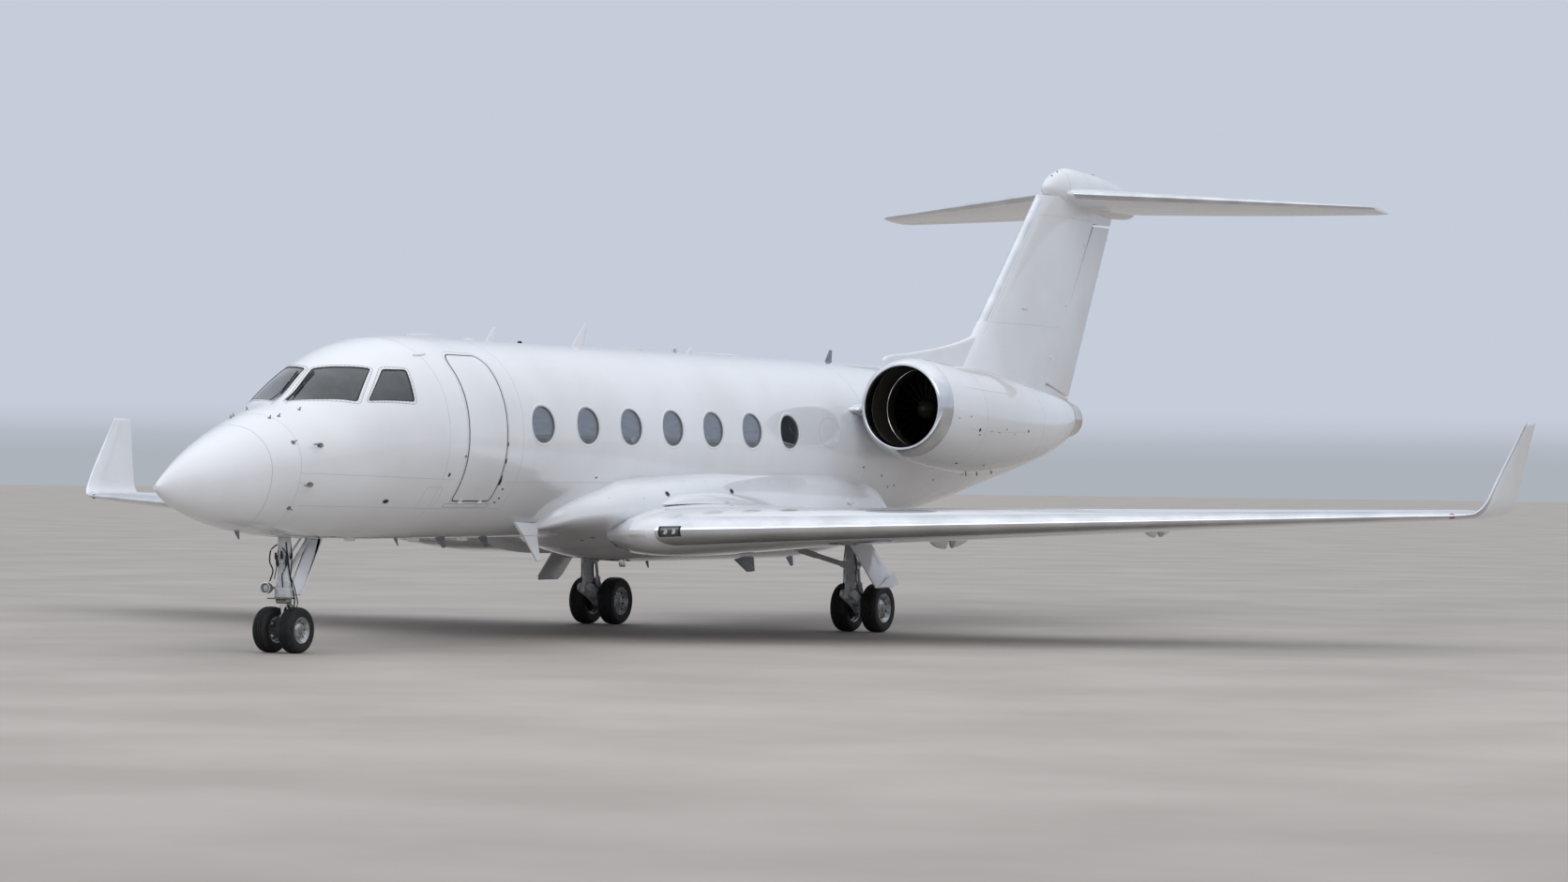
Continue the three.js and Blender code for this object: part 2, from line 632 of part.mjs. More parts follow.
// A control surface cut out of a whole wing, fin or stabiliser along its hinge line, its ends square to that line.
// Gives the surface with its rounded nose and end pins, and the room that it turns in.
const hingePin = { radius: 11, length: 34, clear: 0.8 };
function controlSurface(whole, from, to, reach, noseRadii) {
  const a = new THREE.Vector3(...from);
  const b = new THREE.Vector3(...to);
  const along = b.clone().sub(a).normalize();
  const back = new THREE.Vector3(-along.y, along.x, 0).normalize();
  const high = new THREE.Vector3().crossVectors(along, back).normalize();
  const cell = (before, after, front, rear) => {
    const corner = (p, s, f, h) =>
      p.clone().addScaledVector(along, s).addScaledVector(back, f).addScaledVector(high, h).toArray();
    const face = (p, s) => [
      corner(p, s, front, -400),
      corner(p, s, rear, -400),
      corner(p, s, rear, 400),
      corner(p, s, front, 400),
    ];
    return loft([face(a, -before), face(b, after)]);
  };
  const pin = (grow) =>
    rod(
      a.clone().addScaledVector(along, -hingePin.length - grow).toArray(),
      b.clone().addScaledVector(along, hingePin.length + grow).toArray(),
      hingePin.radius + grow,
      12,
    );
  const nose = rod(from, to, noseRadii[0], 12, noseRadii[1]);
  const surface = whole.intersect(cell(0, 0, 0, reach)).add(nose).add(pin(0));
  const room = cell(runningGap, runningGap, -Math.max(...noseRadii) - runningGap, reach).add(pin(hingePin.clear));
  return { surface, room };
}
// Half the thickness of a wing or stabiliser at its hinge line, less a little, for the nose of its control surface
function noseRadius(table, x, s) {
  const thickness = surfacePoint(table, x, s, 1)[2] - surfacePoint(table, x, s, -1)[2];
  return thickness / 2 - 2;
}
function surfacesOf(whole, table, hingeAt, names) {
  let rest = whole;
  for (const [name, span, reach] of names) {
    const ends = span.map((x) => surfacePoint(table, x, hingeAt, 0));
    const radii = span.map((x) => noseRadius(table, x, hingeAt));
    const made = controlSurface(rest, ...ends, reach, radii);
    pair(name, made.surface, whitePaint);
    rest = rest.subtract(made.room);
  }
  return rest;
}

// The head of a main gear leg, which fits a pocket in the wing
const legHead = (grow) =>
  rod([mainGear.x, mainStrut.y, 900], [mainGear.x, mainStrut.y, mainStrut.top + grow], mainStrut.radius + grow, 14);

// Wings, each with its winglet
const wingRings = [...wingTable.map(([x]) => surfaceRing(wingTable, x)), ...wingletTable.map(wingletRing)];
const hingePods = hingeFairings.map(([x, length, depth]) => {
  const [, y, z] = surfacePoint(wingTable, x, 0.6, -1);
  const rings = [
    [0, 20, 0],
    [0.3, 48, 0.7],
    [0.6, 50, 1],
    [0.85, 30, 0.7],
    [1, 8, 0.2],
  ].map(([t, half, drop]) => {
    const at = y + t * length * 0.42;
    const row = [at, half, z - 15, z + 20, z - 15 - drop * depth];
    return bodyRing(row, 10).map(([px, py, pz]) => [px + x, py, pz]);
  });
  return loft(rings);
});
const wholeWing = cutAll(joinAll([loft(wingRings), ...hingePods]), [fairing(gap), grownHull, legHead(gap)]);

// Spoilers: panels sunk in the upper skin ahead of the flaps, hinged along their front edge
const spoilerCell = (grow, pinGrow) => {
  const { span, front, back, depth, hingeRadius } = spoiler;
  const face = (x) => {
    const corner = (s, along, side) => {
      const [px, py, pz] = surfacePoint(wingTable, x, s, 1);
      return [px + side * grow, py + along * grow, pz];
    };
    const side = x === span[0] ? -1 : 1;
    const [f, b] = [corner(front, -1, side), corner(back, 1, side)];
    const low = depth + grow;
    return [
      [f[0], f[1], f[2] - low],
      [b[0], b[1], b[2] - low],
      [b[0], b[1], b[2] + 200],
      [f[0], f[1], f[2] + 200],
    ];
  };
  const hinge = span.map((x) => {
    const [px, py, pz] = surfacePoint(wingTable, x, front, 1);
    return [px, py + hingeRadius, pz - hingeRadius - 3];
  });
  const line = new THREE.Vector3(...hinge[1]).sub(new THREE.Vector3(...hinge[0])).normalize();
  const reach = 30 + pinGrow;
  const pin = rod(
    new THREE.Vector3(...hinge[0]).addScaledVector(line, -reach).toArray(),
    new THREE.Vector3(...hinge[1]).addScaledVector(line, reach).toArray(),
    hingeRadius - 2 + pinGrow,
    12,
  );
  return { cell: loft([face(span[0]), face(span[1])]), pin, hinge };
};
const spoilerPanel = spoilerCell(0, 0);
const spoilerRoom = spoilerCell(runningGap, 0.8);
pair("spoiler", wholeWing.intersect(spoilerPanel.cell).add(spoilerPanel.pin), whitePaint);

const wing = surfacesOf(wholeWing.subtract(spoilerRoom.cell).subtract(spoilerRoom.pin), wingTable, surfaceHinge, [
  ["flap", flapSpan, 2600],
  ["aileron", aileronSpan, 2600],
]);
pair("wing", wing, whitePaint);

// Fin and rudder
const finEdge = ([y, z, slope], at) => y + (at - z) * slope;
function finRing(z, ratio) {
  const lead = finEdge(fin.lead, z);
  const chord = finEdge(fin.trail, z) - lead;
  return foil.map(([s, side]) => [foilHeight(s, side, ratio, 0) * chord, lead + s * chord, z]);
}
const bullet = (grow) => loft(bulletSections.map((row) => bodyRing(row, 12, -grow)), bulletNose, bulletTail);
const dorsal = sidePlate(
  [
    [18300, 3700],
    [22600, 3700],
    [22600, 4750],
    [21900, 4560],
    [20680, 4310],
    [19500, 4170],
    [18650, 4080],
    [18590, 3900],
  ],
  -60,
  60,
);
const wholeFin = loft([finRing(fin.rootZ, 0.1), finRing(fin.tipZ, 0.09)]).add(dorsal);
const finCut = grownHull.add(bullet(gap));
const rudderEnds = rudderHinge.map(([y, z]) => [0, y, z]);
const finHalf = (z, y) => {
  const lead = finEdge(fin.lead, z);
  const chord = finEdge(fin.trail, z) - lead;
  const ratio = 0.1 - (0.01 * (z - fin.rootZ)) / (fin.tipZ - fin.rootZ);
  return foilHeight((y - lead) / chord, 1, ratio, 0) * chord;
};
const rudderRadii = rudderHinge.map(([y, z]) => finHalf(z, y) - 4);
const rudderLine = new THREE.Vector3(...rudderEnds[1]).sub(new THREE.Vector3(...rudderEnds[0])).normalize();
const rudderPin = (grow) =>
  rod(
    new THREE.Vector3(...rudderEnds[0]).addScaledVector(rudderLine, -60 - grow).toArray(),
    new THREE.Vector3(...rudderEnds[1]).addScaledVector(rudderLine, 110 + grow).toArray(),
    14 + grow,
    12,
  );
const rudder = wholeFin
  .intersect(sidePlate(rudderOutline, -500, 500))
  .add(rod(...rudderEnds, rudderRadii[0], 16, rudderRadii[1]).intersect(sidePlate(rudderNoseBounds, -500, 500)))
  .add(rudderPin(0));
node("rudder", rudder, whitePaint);
const finBody = wholeFin.subtract(finCut).subtract(sidePlate(rudderRoom, -500, 500)).subtract(rudderPin(0.8));
node("fin", finBody, whitePaint);

// Stabiliser on top of the fin, with its bullet-shaped middle
const stabiliserHalf = loft(stabiliserTable.map(([x]) => surfaceRing(stabiliserTable, x)));
const stabiliserRest = surfacesOf(stabiliserHalf, stabiliserTable, elevatorHinge, [["elevator", elevatorSpan, 1500]]);
node("stabiliser", joinAll([stabiliserRest, mirror(stabiliserRest), bullet(0)]), whitePaint);

// Engines: each piece is turned about the engine's axis, then set in place with the engine's slight tilt
const engineTurn = new THREE.Matrix4()
  .makeTranslation(engine.x, engine.y, engine.z)
  .multiply(new THREE.Matrix4().makeRotationX(radians(-engine.tilt)));
const onEngine = (solid) => toSolid(toGeometry(solid).applyMatrix4(engineTurn));
// A round section about an engine's axis, lowered by sag
const engineRing = (along, radius, sag) =>
  Array.from({ length: engine.sides }, (_, i) => {
    const angle = (2 * Math.PI * i) / engine.sides;
    return [radius * Math.sin(angle), along, radius * Math.cos(angle) - sag];
  });
pair("inlet_lip", onEngine(turned(lipProfile, engine.sides)), polished);
const cowlFrom = engine.lipJoint + gap;
const cowlTo = engine.nozzleJoint - gap;
const cowlOutside = (grow) =>
  loft(cowlSections.map(([along, radius, sag]) => {
    const at = Math.min(Math.max(along, cowlFrom - 2 * grow), cowlTo + 2 * grow);
    return engineRing(at, radius + grow, sag);
  }));
const duct = turned(
  [[cowlFrom - 50, 0], [cowlFrom - 50, 600], ...[...cowlInside].reverse(), [cowlTo + 50, 314], [cowlTo + 50, 0]],
  engine.sides,
);
pair("engine_cowl", onEngine(cowlOutside(0).subtract(duct)), whitePaint);
pair("exhaust_nozzle", onEngine(turned(nozzleProfile, engine.sides)), polished);

const coreBlock = turned(coreProfile, coreSides);
const mountReach = turned(
  [[1600, 0], [1600, coreMount.reach], [2100, coreMount.reach], [2100, 0]],
  engine.sides,
);
const beamEnds = [coreMount.front, coreMount.back, -coreMount.half, coreMount.half];
const mountBeam = box(-700, 700, ...beamEnds).intersect(mountReach);
const boreRadius = fan.shaft + 0.8;
const shaftBore = turned([[1000, 0], [1000, boreRadius], [1220, boreRadius], [1220, 0]], fan.sides);
pair("engine_core", onEngine(coreBlock.add(mountBeam).subtract(shaftBore)), darkMetal);

// One twisted blade: radius, half its chord, its angle to the engine's axis, its thickness
const bladeSections = [
  [150, 70, 32, 12],
  [fan.tip, 105, 62, 7],
];
const blade = loft(
  bladeSections.map(([radius, half, angle, thickness]) => {
    const c = Math.cos(radians(angle));
    const s = Math.sin(radians(angle));
    const at = (along, out) => [along * s + out * c, fan.station + along * c - out * s, radius];
    return [at(-half, 0), at(0, thickness / 2), at(half, 0), at(0, -thickness / 2)];
  }),
);
const fanBlades = Array.from({ length: fan.blades }, (_, i) =>
  toSolid(toGeometry(blade).applyMatrix4(new THREE.Matrix4().makeRotationY((2 * Math.PI * i) / fan.blades))),
);
const spinner = turned([...spinnerProfile, [1060, 0]], 14);
const fanShaft = turned([[1000, 0], [1000, fan.shaft], [1200, fan.shaft], [1200, 0]], fan.sides);
pair("fan", onEngine(joinAll([spinner, fanShaft, ...fanBlades])), darkMetal);

// Pylons between the fuselage and the engine cowls
const pylonRing = ([x, lead, trail, z, ratio, incidence]) => {
  const chord = trail - lead;
  return foil.map(([s, side]) => {
    const height = foilHeight(s, side, ratio, 0) - Math.tan(radians(incidence)) * s;
    return [x, lead + s * chord, z + height * chord];
  });
};
const lipOutside = lipProfile.slice(0, 5).map(([y, r]) => [y, r + gap]);
const lipBack = engine.lipJoint + 5;
const lipBlock = turned(
  [[-gap, 0], [-gap, lipProfile[0][1]], ...lipOutside, [lipBack, lipProfile[4][1]], [lipBack, 0]],
  engine.sides,
);
const nacelle = onEngine(lipBlock.add(cowlOutside(gap)));
const wholePylon = loft(pylonTable.map(pylonRing)).subtract(grownHull).subtract(nacelle);
pair("pylon", largest(wholePylon), whitePaint);

const pinSides = 20;

// Wheels: a pair of tyres on their rims, joined by the axle that turns with them.
// Each stands on a flat of its many-sided tread.
const wheelSides = 24;
function twinWheels({ x, y, tyre, width, half, rim, axle }) {
  const w = width / 2;
  const tread = tyre / Math.cos(Math.PI / wheelSides);
  const profile = [
    [-w * 0.8, 0],
    [-w * 0.8, axle + 40],
    [-w * 0.4, axle + 48],
    [-w * 0.4, rim - 14],
    [-w * 0.9, rim + 14],
    [-w, tyre * 0.86],
    [-w * 0.62, tread],
    [w * 0.62, tread],
    [w, tyre * 0.86],
    [w * 0.9, rim + 14],
    [w * 0.4, rim - 14],
    [w * 0.4, axle + 48],
    [w * 0.8, axle + 40],
    [w * 0.8, 0],
  ];
  const wheel = turned(profile, wheelSides);
  const place = (along) => {
    const turn = new THREE.Matrix4().makeTranslation(x + along, y, tyre);
    turn.multiply(new THREE.Matrix4().makeRotationZ(-Math.PI / 2));
    turn.multiply(new THREE.Matrix4().makeRotationY(Math.PI / wheelSides));
    return toSolid(toGeometry(wheel).applyMatrix4(turn));
  };
  return joinAll([place(-half), place(half), rod([x - half, y, tyre], [x + half, y, tyre], axle, pinSides)]);
}
const axleBore = ({ x, y, tyre, half, axle }) =>
  rod([x - half, y, tyre], [x + half, y, tyre], axle + 0.8, pinSides);

// Nose gear: a fixed leg with its brace and lamp, and the steered lower leg with its torque links
const { collarFoot, collarTop, piston } = noseStrut;
const noseBore = rod([0, noseGear.y, 500], [0, noseGear.y, noseStrut.pistonTop + 1], piston + 0.9, pinSides);
const taxiLamp = { x: -150, y: 2480, z: 787, radius: 68 };
const noseLeg = joinAll([
  rod([0, noseGear.y, collarTop - 20], [0, noseGear.y, noseStrut.top], noseStrut.radius, 14),
  rod([0, noseGear.y, collarFoot], [0, noseGear.y, collarTop], noseStrut.collar, 16),
  rod([0, noseGear.y + 40, 900], [0, 3300, 1560], 38, 10).subtract(grownHull),
  rod(
    [taxiLamp.x, taxiLamp.y - 50, taxiLamp.z],
    [taxiLamp.x, taxiLamp.y + 50, taxiLamp.z],
    taxiLamp.radius,
    14,
  ),
  box(taxiLamp.x, -60, taxiLamp.y - 18, noseGear.y, taxiLamp.z - 18, taxiLamp.z + 13),
]).subtract(noseBore);
node("nose_leg", noseLeg, gearPaint);
const noseFork = joinAll([
  rod([0, noseGear.y, noseGear.tyre], [0, noseGear.y, noseStrut.pistonTop], piston, pinSides),
  rod([0, noseGear.y, collarFoot - 65], [0, noseGear.y, collarFoot - 1], 98, 16),
  rod([0, noseGear.y, 225], [0, noseGear.y, 470], 66, 14),
  sidePlate([[2640, 300], [2840, 450], [2840, 500], [2640, 400]], -45, 45),
  sidePlate([[2840, 455], [2855, 500], [2700, 640], [2640, 640], [2640, 605]], -36, 36),
]).subtract(axleBore(noseGear));
node("nose_fork", noseFork, steel);
node("nose_wheels", twinWheels(noseGear), rubber);
const noseDoorOutline = [[2830, 705], [2855, 695], [3270, 1345], [3270, 1600], [3228, 1600], [3228, 1340]];
const noseDoor = sidePlate(noseDoorOutline, -95, 95).subtract(grownHull);
node("nose_gear_door", noseDoor, whitePaint);

// Main gear: the leg with its side brace, and the trailing arm with its shock strut
const { pivotY, pivotZ } = mainStrut;
const armReach = 105;
const sideBrace = rod([mainGear.x - 60, mainStrut.y, 950], [1000, mainStrut.y, 1260], 42, 10).subtract(
  fairing(gap),
);
const wingAbove = toSolid(toGeometry(wing).translate(0, 0, -gap));
const shockHead = [13620, 960];
const mainLeg = joinAll([
  rod([mainGear.x, mainStrut.y, mainStrut.foot], [mainGear.x, mainStrut.y, mainStrut.top], mainStrut.radius, 14),
  largest(sideBrace.subtract(wingAbove)),
  sidePlate([[13230, 480], [13330, 480], [13440, 640], [13440, 760], [13310, 760]], mainGear.x - 36, mainGear.x + 36),
  sidePlate([[13400, 860], [13680, 930], [13680, 990], [13400, 1090]], mainGear.x - 30, mainGear.x + 30),
]);
const armPin = (grow) =>
  rod([mainGear.x - armReach, pivotY, pivotZ], [mainGear.x + armReach, pivotY, pivotZ], 26 + grow, 14);
pair("main_leg", mainLeg.subtract(armPin(gap)), gearPaint);
const armCheek = sidePlate(
  [
    [13245, 520],
    [13285, 612],
    [13350, 608],
    [13800, 430],
    [13830, 330],
    [13800, 262],
    [13730, 262],
    [13690, 300],
    [13300, 490],
  ],
  -armReach,
  armReach,
);
const arm = toSolid(toGeometry(armCheek).translate(mainGear.x, 0, 0))
  .subtract(box(mainGear.x - 40, mainGear.x + 40, 13000, 13660, 0, 2000))
  .add(armPin(0))
  .add(rod([mainGear.x, 13715, 400], [mainGear.x, shockHead[0], shockHead[1]], 45, 12))
  .subtract(axleBore(mainGear))
  .subtract(sidePlate([[13390, 850], [13700, 920], [13700, 1000], [13390, 1100]], mainGear.x - 31, mainGear.x + 31));
pair("trailing_arm", arm, steel);
pair("main_wheels", twinWheels(mainGear), rubber);

// Main gear doors, hung from the wing beside the outer wheel
const doorFace = (z, x, t) => [
  [x, 12950, z],
  [x + t, 12950, z],
  [x + t, 13600, z],
  [x, 13600, z],
];
const doorPlate = loft([
  doorFace(1340, 2312, 30),
  doorFace(1250, 2370, 30),
  doorFace(720, 2735, 30),
  doorFace(650, 2765, 22),
]);
const doorLink = box(mainGear.x + 40, 2560, 13365, 13405, 975, 1005).subtract(legHead(gap));
pair("main_gear_door", doorPlate.add(doorLink).subtract(wingAbove), whitePaint);

export default plane;
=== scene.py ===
# A twin-engined business jet parked on its landing gear.
# Metres. Stations run aft from the nose tip; +x is port and z is the height above the ground.
import math

import bpy
import numpy as np
from mathutils import Matrix, Vector


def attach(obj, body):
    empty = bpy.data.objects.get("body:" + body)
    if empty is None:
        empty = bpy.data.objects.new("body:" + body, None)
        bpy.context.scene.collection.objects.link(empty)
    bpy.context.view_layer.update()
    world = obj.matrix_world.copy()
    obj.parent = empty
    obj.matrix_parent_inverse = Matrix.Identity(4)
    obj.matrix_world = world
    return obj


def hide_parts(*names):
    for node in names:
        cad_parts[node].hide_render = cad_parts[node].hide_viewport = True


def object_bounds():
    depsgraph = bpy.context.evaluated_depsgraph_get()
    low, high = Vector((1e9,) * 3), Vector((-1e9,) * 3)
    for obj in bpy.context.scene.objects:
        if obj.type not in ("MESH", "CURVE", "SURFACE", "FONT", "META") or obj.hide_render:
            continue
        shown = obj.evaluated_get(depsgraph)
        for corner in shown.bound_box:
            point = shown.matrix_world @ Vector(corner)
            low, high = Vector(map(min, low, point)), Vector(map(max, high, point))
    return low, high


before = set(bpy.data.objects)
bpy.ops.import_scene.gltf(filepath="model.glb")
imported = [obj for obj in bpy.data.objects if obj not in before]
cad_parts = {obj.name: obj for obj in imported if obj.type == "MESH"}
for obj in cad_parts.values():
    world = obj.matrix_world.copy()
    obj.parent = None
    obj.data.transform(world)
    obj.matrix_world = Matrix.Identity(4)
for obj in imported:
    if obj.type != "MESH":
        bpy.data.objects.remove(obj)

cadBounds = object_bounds()
toRow = cadBounds[0].y  # a station plus this is the row's y
sideTurns = {"port": 1, "starboard": -1}  # the sign of x on each side
print("frame loaded:", len(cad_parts), "nodes")


# Small tools for shapes: a shape is (points, face arrays)

def gridFaces(rows, columns, wrapRows=False, wrapColumns=True):
    # quads between neighbouring rows and columns of a grid; a wrapped side joins its last line to its first
    row = np.arange(rows if wrapRows else rows - 1)[:, None]
    column = np.arange(columns if wrapColumns else columns - 1)[None]
    below = (row + 1) % rows
    right = (column + 1) % columns
    corners = [row * columns + column, row * columns + right, below * columns + right, below * columns + column]
    return np.stack(np.broadcast_arrays(*corners), -1).reshape(-1, 4)


def outward(points, faces):
    # turns every face round if the volume that they enclose comes out negative
    fans = [f[:, [0, i, i + 1]] for f in faces for i in range(1, f.shape[1] - 1)]
    a, b, c = (points[np.vstack(fans)[:, i]] for i in range(3))
    volume = np.einsum("ij,ij->", a, np.cross(b, c))
    return points, (faces if volume > 0 else [f[:, ::-1] for f in faces])


def loft(rings, capped=True):
    # a skin through rings of equally many points, its ends closed on their middles
    rings = np.asarray(rings, float)
    rows, columns = rings.shape[:2]
    points = rings.reshape(-1, 3)
    faces = [gridFaces(rows, columns)]
    if capped:
        points = np.vstack([points, rings[0].mean(0), rings[-1].mean(0)])
        here = np.arange(columns)
        after = (here + 1) % columns
        first = np.full(columns, rows * columns)
        end = (rows - 1) * columns
        faces += [np.stack([first, after, here], -1), np.stack([first + 1, end + here, end + after], -1)]
    return outward(points, faces)


def ringed(rings):
    # a skin closed both ways, such as a duct's wall or a tyre
    rings = np.asarray(rings, float)
    return outward(rings.reshape(-1, 3), [gridFaces(*rings.shape[:2], wrapRows=True)])


def joined(shapes):
    # several shapes in one
    starts = np.cumsum([0] + [len(points) for points, _ in shapes])
    points = np.vstack([points for points, _ in shapes])
    return points, [f + start for (_, faces), start in zip(shapes, starts) for f in faces]


def mirrored(shape):
    # the same shape on the starboard side
    points, faces = shape
    return points * [-1, 1, 1], [f[:, ::-1] for f in faces]


def unit(v):
    return v / np.maximum(np.linalg.norm(v, axis=-1, keepdims=True), 1e-12)


def evenly(path, count):
    # a closed path with its points equally far apart
    path = np.vstack([path, path[:1]])
    along = np.concatenate([[0], np.cumsum(np.linalg.norm(np.diff(path, axis=0), axis=1))])
    at = along[-1] * np.arange(count) / count
    return np.stack([np.interp(at, along, column) for column in path.T], -1)


def carried(path, ups, profile, closed=True):
    # a profile of (across, up) points carried along a path that lies on a surface with normals ups
    path = np.asarray(path, float)
    profile = np.asarray(profile, float)
    ahead = unit(np.roll(path, -1, 0) - np.roll(path, 1, 0)) if closed else unit(np.gradient(path, axis=0))
    ups = np.broadcast_to(np.asarray(ups, float), path.shape)
    ups = unit(ups - ahead * (ups * ahead).sum(1, keepdims=True))
    across = np.cross(ahead, ups)
    rings = path[:, None] + across[:, None] * profile[None, :, :1] + ups[:, None] * profile[None, :, 1:]
    return ringed(rings) if closed else loft(rings)


def fullTurn(steps):
    # equal steps of angle, once round
    return 2 * np.pi * np.arange(steps) / steps


def circle(sides):
    # (cos, sin) once round
    return np.stack([np.cos(fullTurn(sides)), np.sin(fullTurn(sides))], -1)


def tube(path, radius, sides=12):
    # a round section carried along a path; the radius may change from point to point
    path = np.asarray(path, float)
    ahead = unit(np.gradient(path, axis=0))
    spare = np.where(np.abs(ahead[:, 2:3]) < 0.9, [[0.0, 0.0, 1.0]], [[1.0, 0.0, 0.0]])
    across = unit(np.cross(ahead, spare))
    up = np.cross(across, ahead)
    ring = circle(sides)
    size = np.broadcast_to(np.asarray(radius, float), len(path))[:, None, None]
    rings = path[:, None] + size * (across[:, None] * ring[None, :, :1] + up[:, None] * ring[None, :, 1:])
    return loft(rings)


def turned(start, axis, profile, sides=48, closed=False):
    # a profile of (distance along the axis, radius) points turned about the axis through start
    axis = unit(np.asarray(axis, float))
    spare = np.array([0.0, 0.0, 1.0]) if abs(axis[2]) < 0.9 else np.array([0.0, 1.0, 0.0])
    up = unit(spare - axis * (spare @ axis))
    side = np.cross(axis, up)
    ring = circle(sides)
    wheel = up * ring[:, :1] + side * ring[:, 1:]
    profile = np.asarray(profile, float)
    rings = np.asarray(start) + profile[:, None, :1] * axis + profile[:, None, 1:] * wheel[None]
    return ringed(rings) if closed else loft(rings)


def rounded(corners, radius, steps=6):
    # the corners of a flat outline, each replaced by points of a curve that starts and ends a radius away from it
    corners = np.asarray(corners, float)
    before = corners + radius * unit(np.roll(corners, 1, 0) - corners)
    after = corners + radius * unit(np.roll(corners, -1, 0) - corners)
    t = np.linspace(0, 1, steps + 1)[None, :, None]
    curve = (1 - t) ** 2 * before[:, None] + 2 * t * (1 - t) * corners[:, None] + t ** 2 * after[:, None]
    return curve.reshape(-1, corners.shape[1])


def block(outline, direction, low, high):
    # a flat outline carried from low to high along a direction
    outline = np.asarray(outline, float)
    direction = np.asarray(direction, float)
    return loft([outline + direction * low, outline + direction * high])


def sidePlate(outline, x0, x1):
    # an outline of (station, height) points carried from one x to another
    outline = np.asarray(outline, float)
    flat = np.column_stack([np.zeros(len(outline)), outline[:, 0] + toRow, outline[:, 1]])
    return block(flat, [1, 0, 0], x0, x1)


def softBlock(low, high, radius=0.01, steps=3):
    # a box with round upright edges and chamfered top and bottom; low and high are corners with a station for y
    low, high = np.asarray(low, float), np.asarray(high, float)
    corners = [[low[0], low[1]], [high[0], low[1]], [high[0], high[1]], [low[0], high[1]]]
    rim = rounded(corners, radius, steps)
    middle = rim.mean(0)
    levels = [(low[2], radius), (low[2] + radius, 0), (high[2] - radius, 0), (high[2], radius)]
    size = (high - low)[:2]
    rings = []
    for z, inset in levels:
        flat = middle + (rim - middle) * (1 - 2 * inset / size)
        rings.append(np.column_stack([flat[:, 0], flat[:, 1] + toRow, np.full(len(flat), z)]))
    return loft(rings)


def smoothThrough(x, knots, values):
    # a cubic through the knots that never overshoots: its slope is the harmonic mean of the steps on both sides
    knots, values = np.asarray(knots, float), np.asarray(values, float)
    step = np.diff(knots)[:, None]
    rise = np.diff(values, axis=0) / step
    before, behind = rise[:-1], rise[1:]
    same = before * behind > 0
    w1, w2 = 2 * step[1:] + step[:-1], step[1:] + 2 * step[:-1]
    mean = (w1 + w2) / (w1 / np.where(same, before, 1) + w2 / np.where(same, behind, 1))
    slope = np.concatenate([rise[:1], np.where(same, mean, 0), rise[-1:]])
    x = np.asarray(x, float)
    i = np.clip(np.searchsorted(knots, x) - 1, 0, len(knots) - 2)
    t = ((x - knots[i]) / step[i, 0])[..., None]
    h = step[i]
    start = (1 + 2 * t) * (1 - t) ** 2 * values[i] + t * (1 - t) ** 2 * h * slope[i]
    return start + t ** 2 * (3 - 2 * t) * values[i + 1] + t ** 2 * (t - 1) * h * slope[i + 1]


def straightThrough(x, table):
    # a table's row at any value of its first column, in straight lines between the table's rows
    table = np.asarray(table, float)
    x = np.asarray(x, float)
    return np.stack([np.interp(x, table[:, 0], table[:, k]) for k in range(1, table.shape[1])], -1)


# Small tools for objects

def makeObject(name, shape, materials=(), faceMaterials=None, smooth=40):
    # puts a shape into a mesh; faceMaterials gives each face array its place in materials
    points, faces = shape
    mesh = bpy.data.meshes.new(name)
    totals = np.concatenate([np.full(len(f), f.shape[1]) for f in faces])
    mesh.vertices.add(len(points))
    mesh.vertices.foreach_set("co", np.asarray(points, np.float32).ravel())
    mesh.loops.add(int(totals.sum()))
    mesh.loops.foreach_set("vertex_index", np.concatenate([f.ravel() for f in faces]).astype(np.int32))
    mesh.polygons.add(len(totals))
    mesh.polygons.foreach_set("loop_start", np.concatenate([[0], np.cumsum(totals)[:-1]]).astype(np.int32))
    for material in materials:
        mesh.materials.append(material)
    if faceMaterials is not None:
        index = np.concatenate([np.broadcast_to(m, len(f)) for f, m in zip(faces, faceMaterials)])
        mesh.polygons.foreach_set("material_index", index.astype(np.int32))
    mesh.update(calc_edges=True)
    mesh.validate()
    mesh.shade_smooth()
    mesh.set_sharp_from_angle(angle=math.radians(smooth))
    piece = bpy.data.objects.new(name, mesh)
    bpy.context.scene.collection.objects.link(piece)
    return piece


def settle(piece, rides="airframe", replaced=()):
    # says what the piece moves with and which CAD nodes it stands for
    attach(piece, rides)
    if replaced:
        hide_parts(*replaced)
    return piece


def addPiece(name, shape, material, rides="airframe", replaced=(), smooth=40):
    return settle(makeObject(name, shape, [material], smooth=smooth), rides, replaced)


def addPair(name, shape, material, rides="airframe", replaced=(), smooth=40):
    # a port piece and its mirror image; rides and replaced may hold {side}
    made = []
    for side, form in (("port", shape), ("starboard", mirrored(shape))):
        nodes = [n.format(side=side) for n in replaced]
        piece = addPiece(f"{name}_{side}", form, material, rides.format(side=side), nodes, smooth)
        made.append(piece)
    return made


def cutMesh(piece, shape, operation="DIFFERENCE"):
    # cuts a closed mesh with a closed shape, or keeps what both share
    tool = makeObject("tool", shape)
    modifier = piece.modifiers.new("cut", "BOOLEAN")
    modifier.object = tool
    modifier.operation = operation
    modifier.solver = "MANIFOLD"
    graph = bpy.context.evaluated_depsgraph_get()
    mesh = bpy.data.meshes.new_from_object(piece.evaluated_get(graph), depsgraph=graph)
    piece.modifiers.clear()
    before = piece.data
    piece.data = mesh
    mesh.name = piece.name
    if len(mesh.polygons) == len(before.polygons) or not len(mesh.polygons):
        print("check the cut of", piece.name)
    bpy.data.meshes.remove(before)
    spare = tool.data
    bpy.data.objects.remove(tool)
    bpy.data.meshes.remove(spare)
    return piece


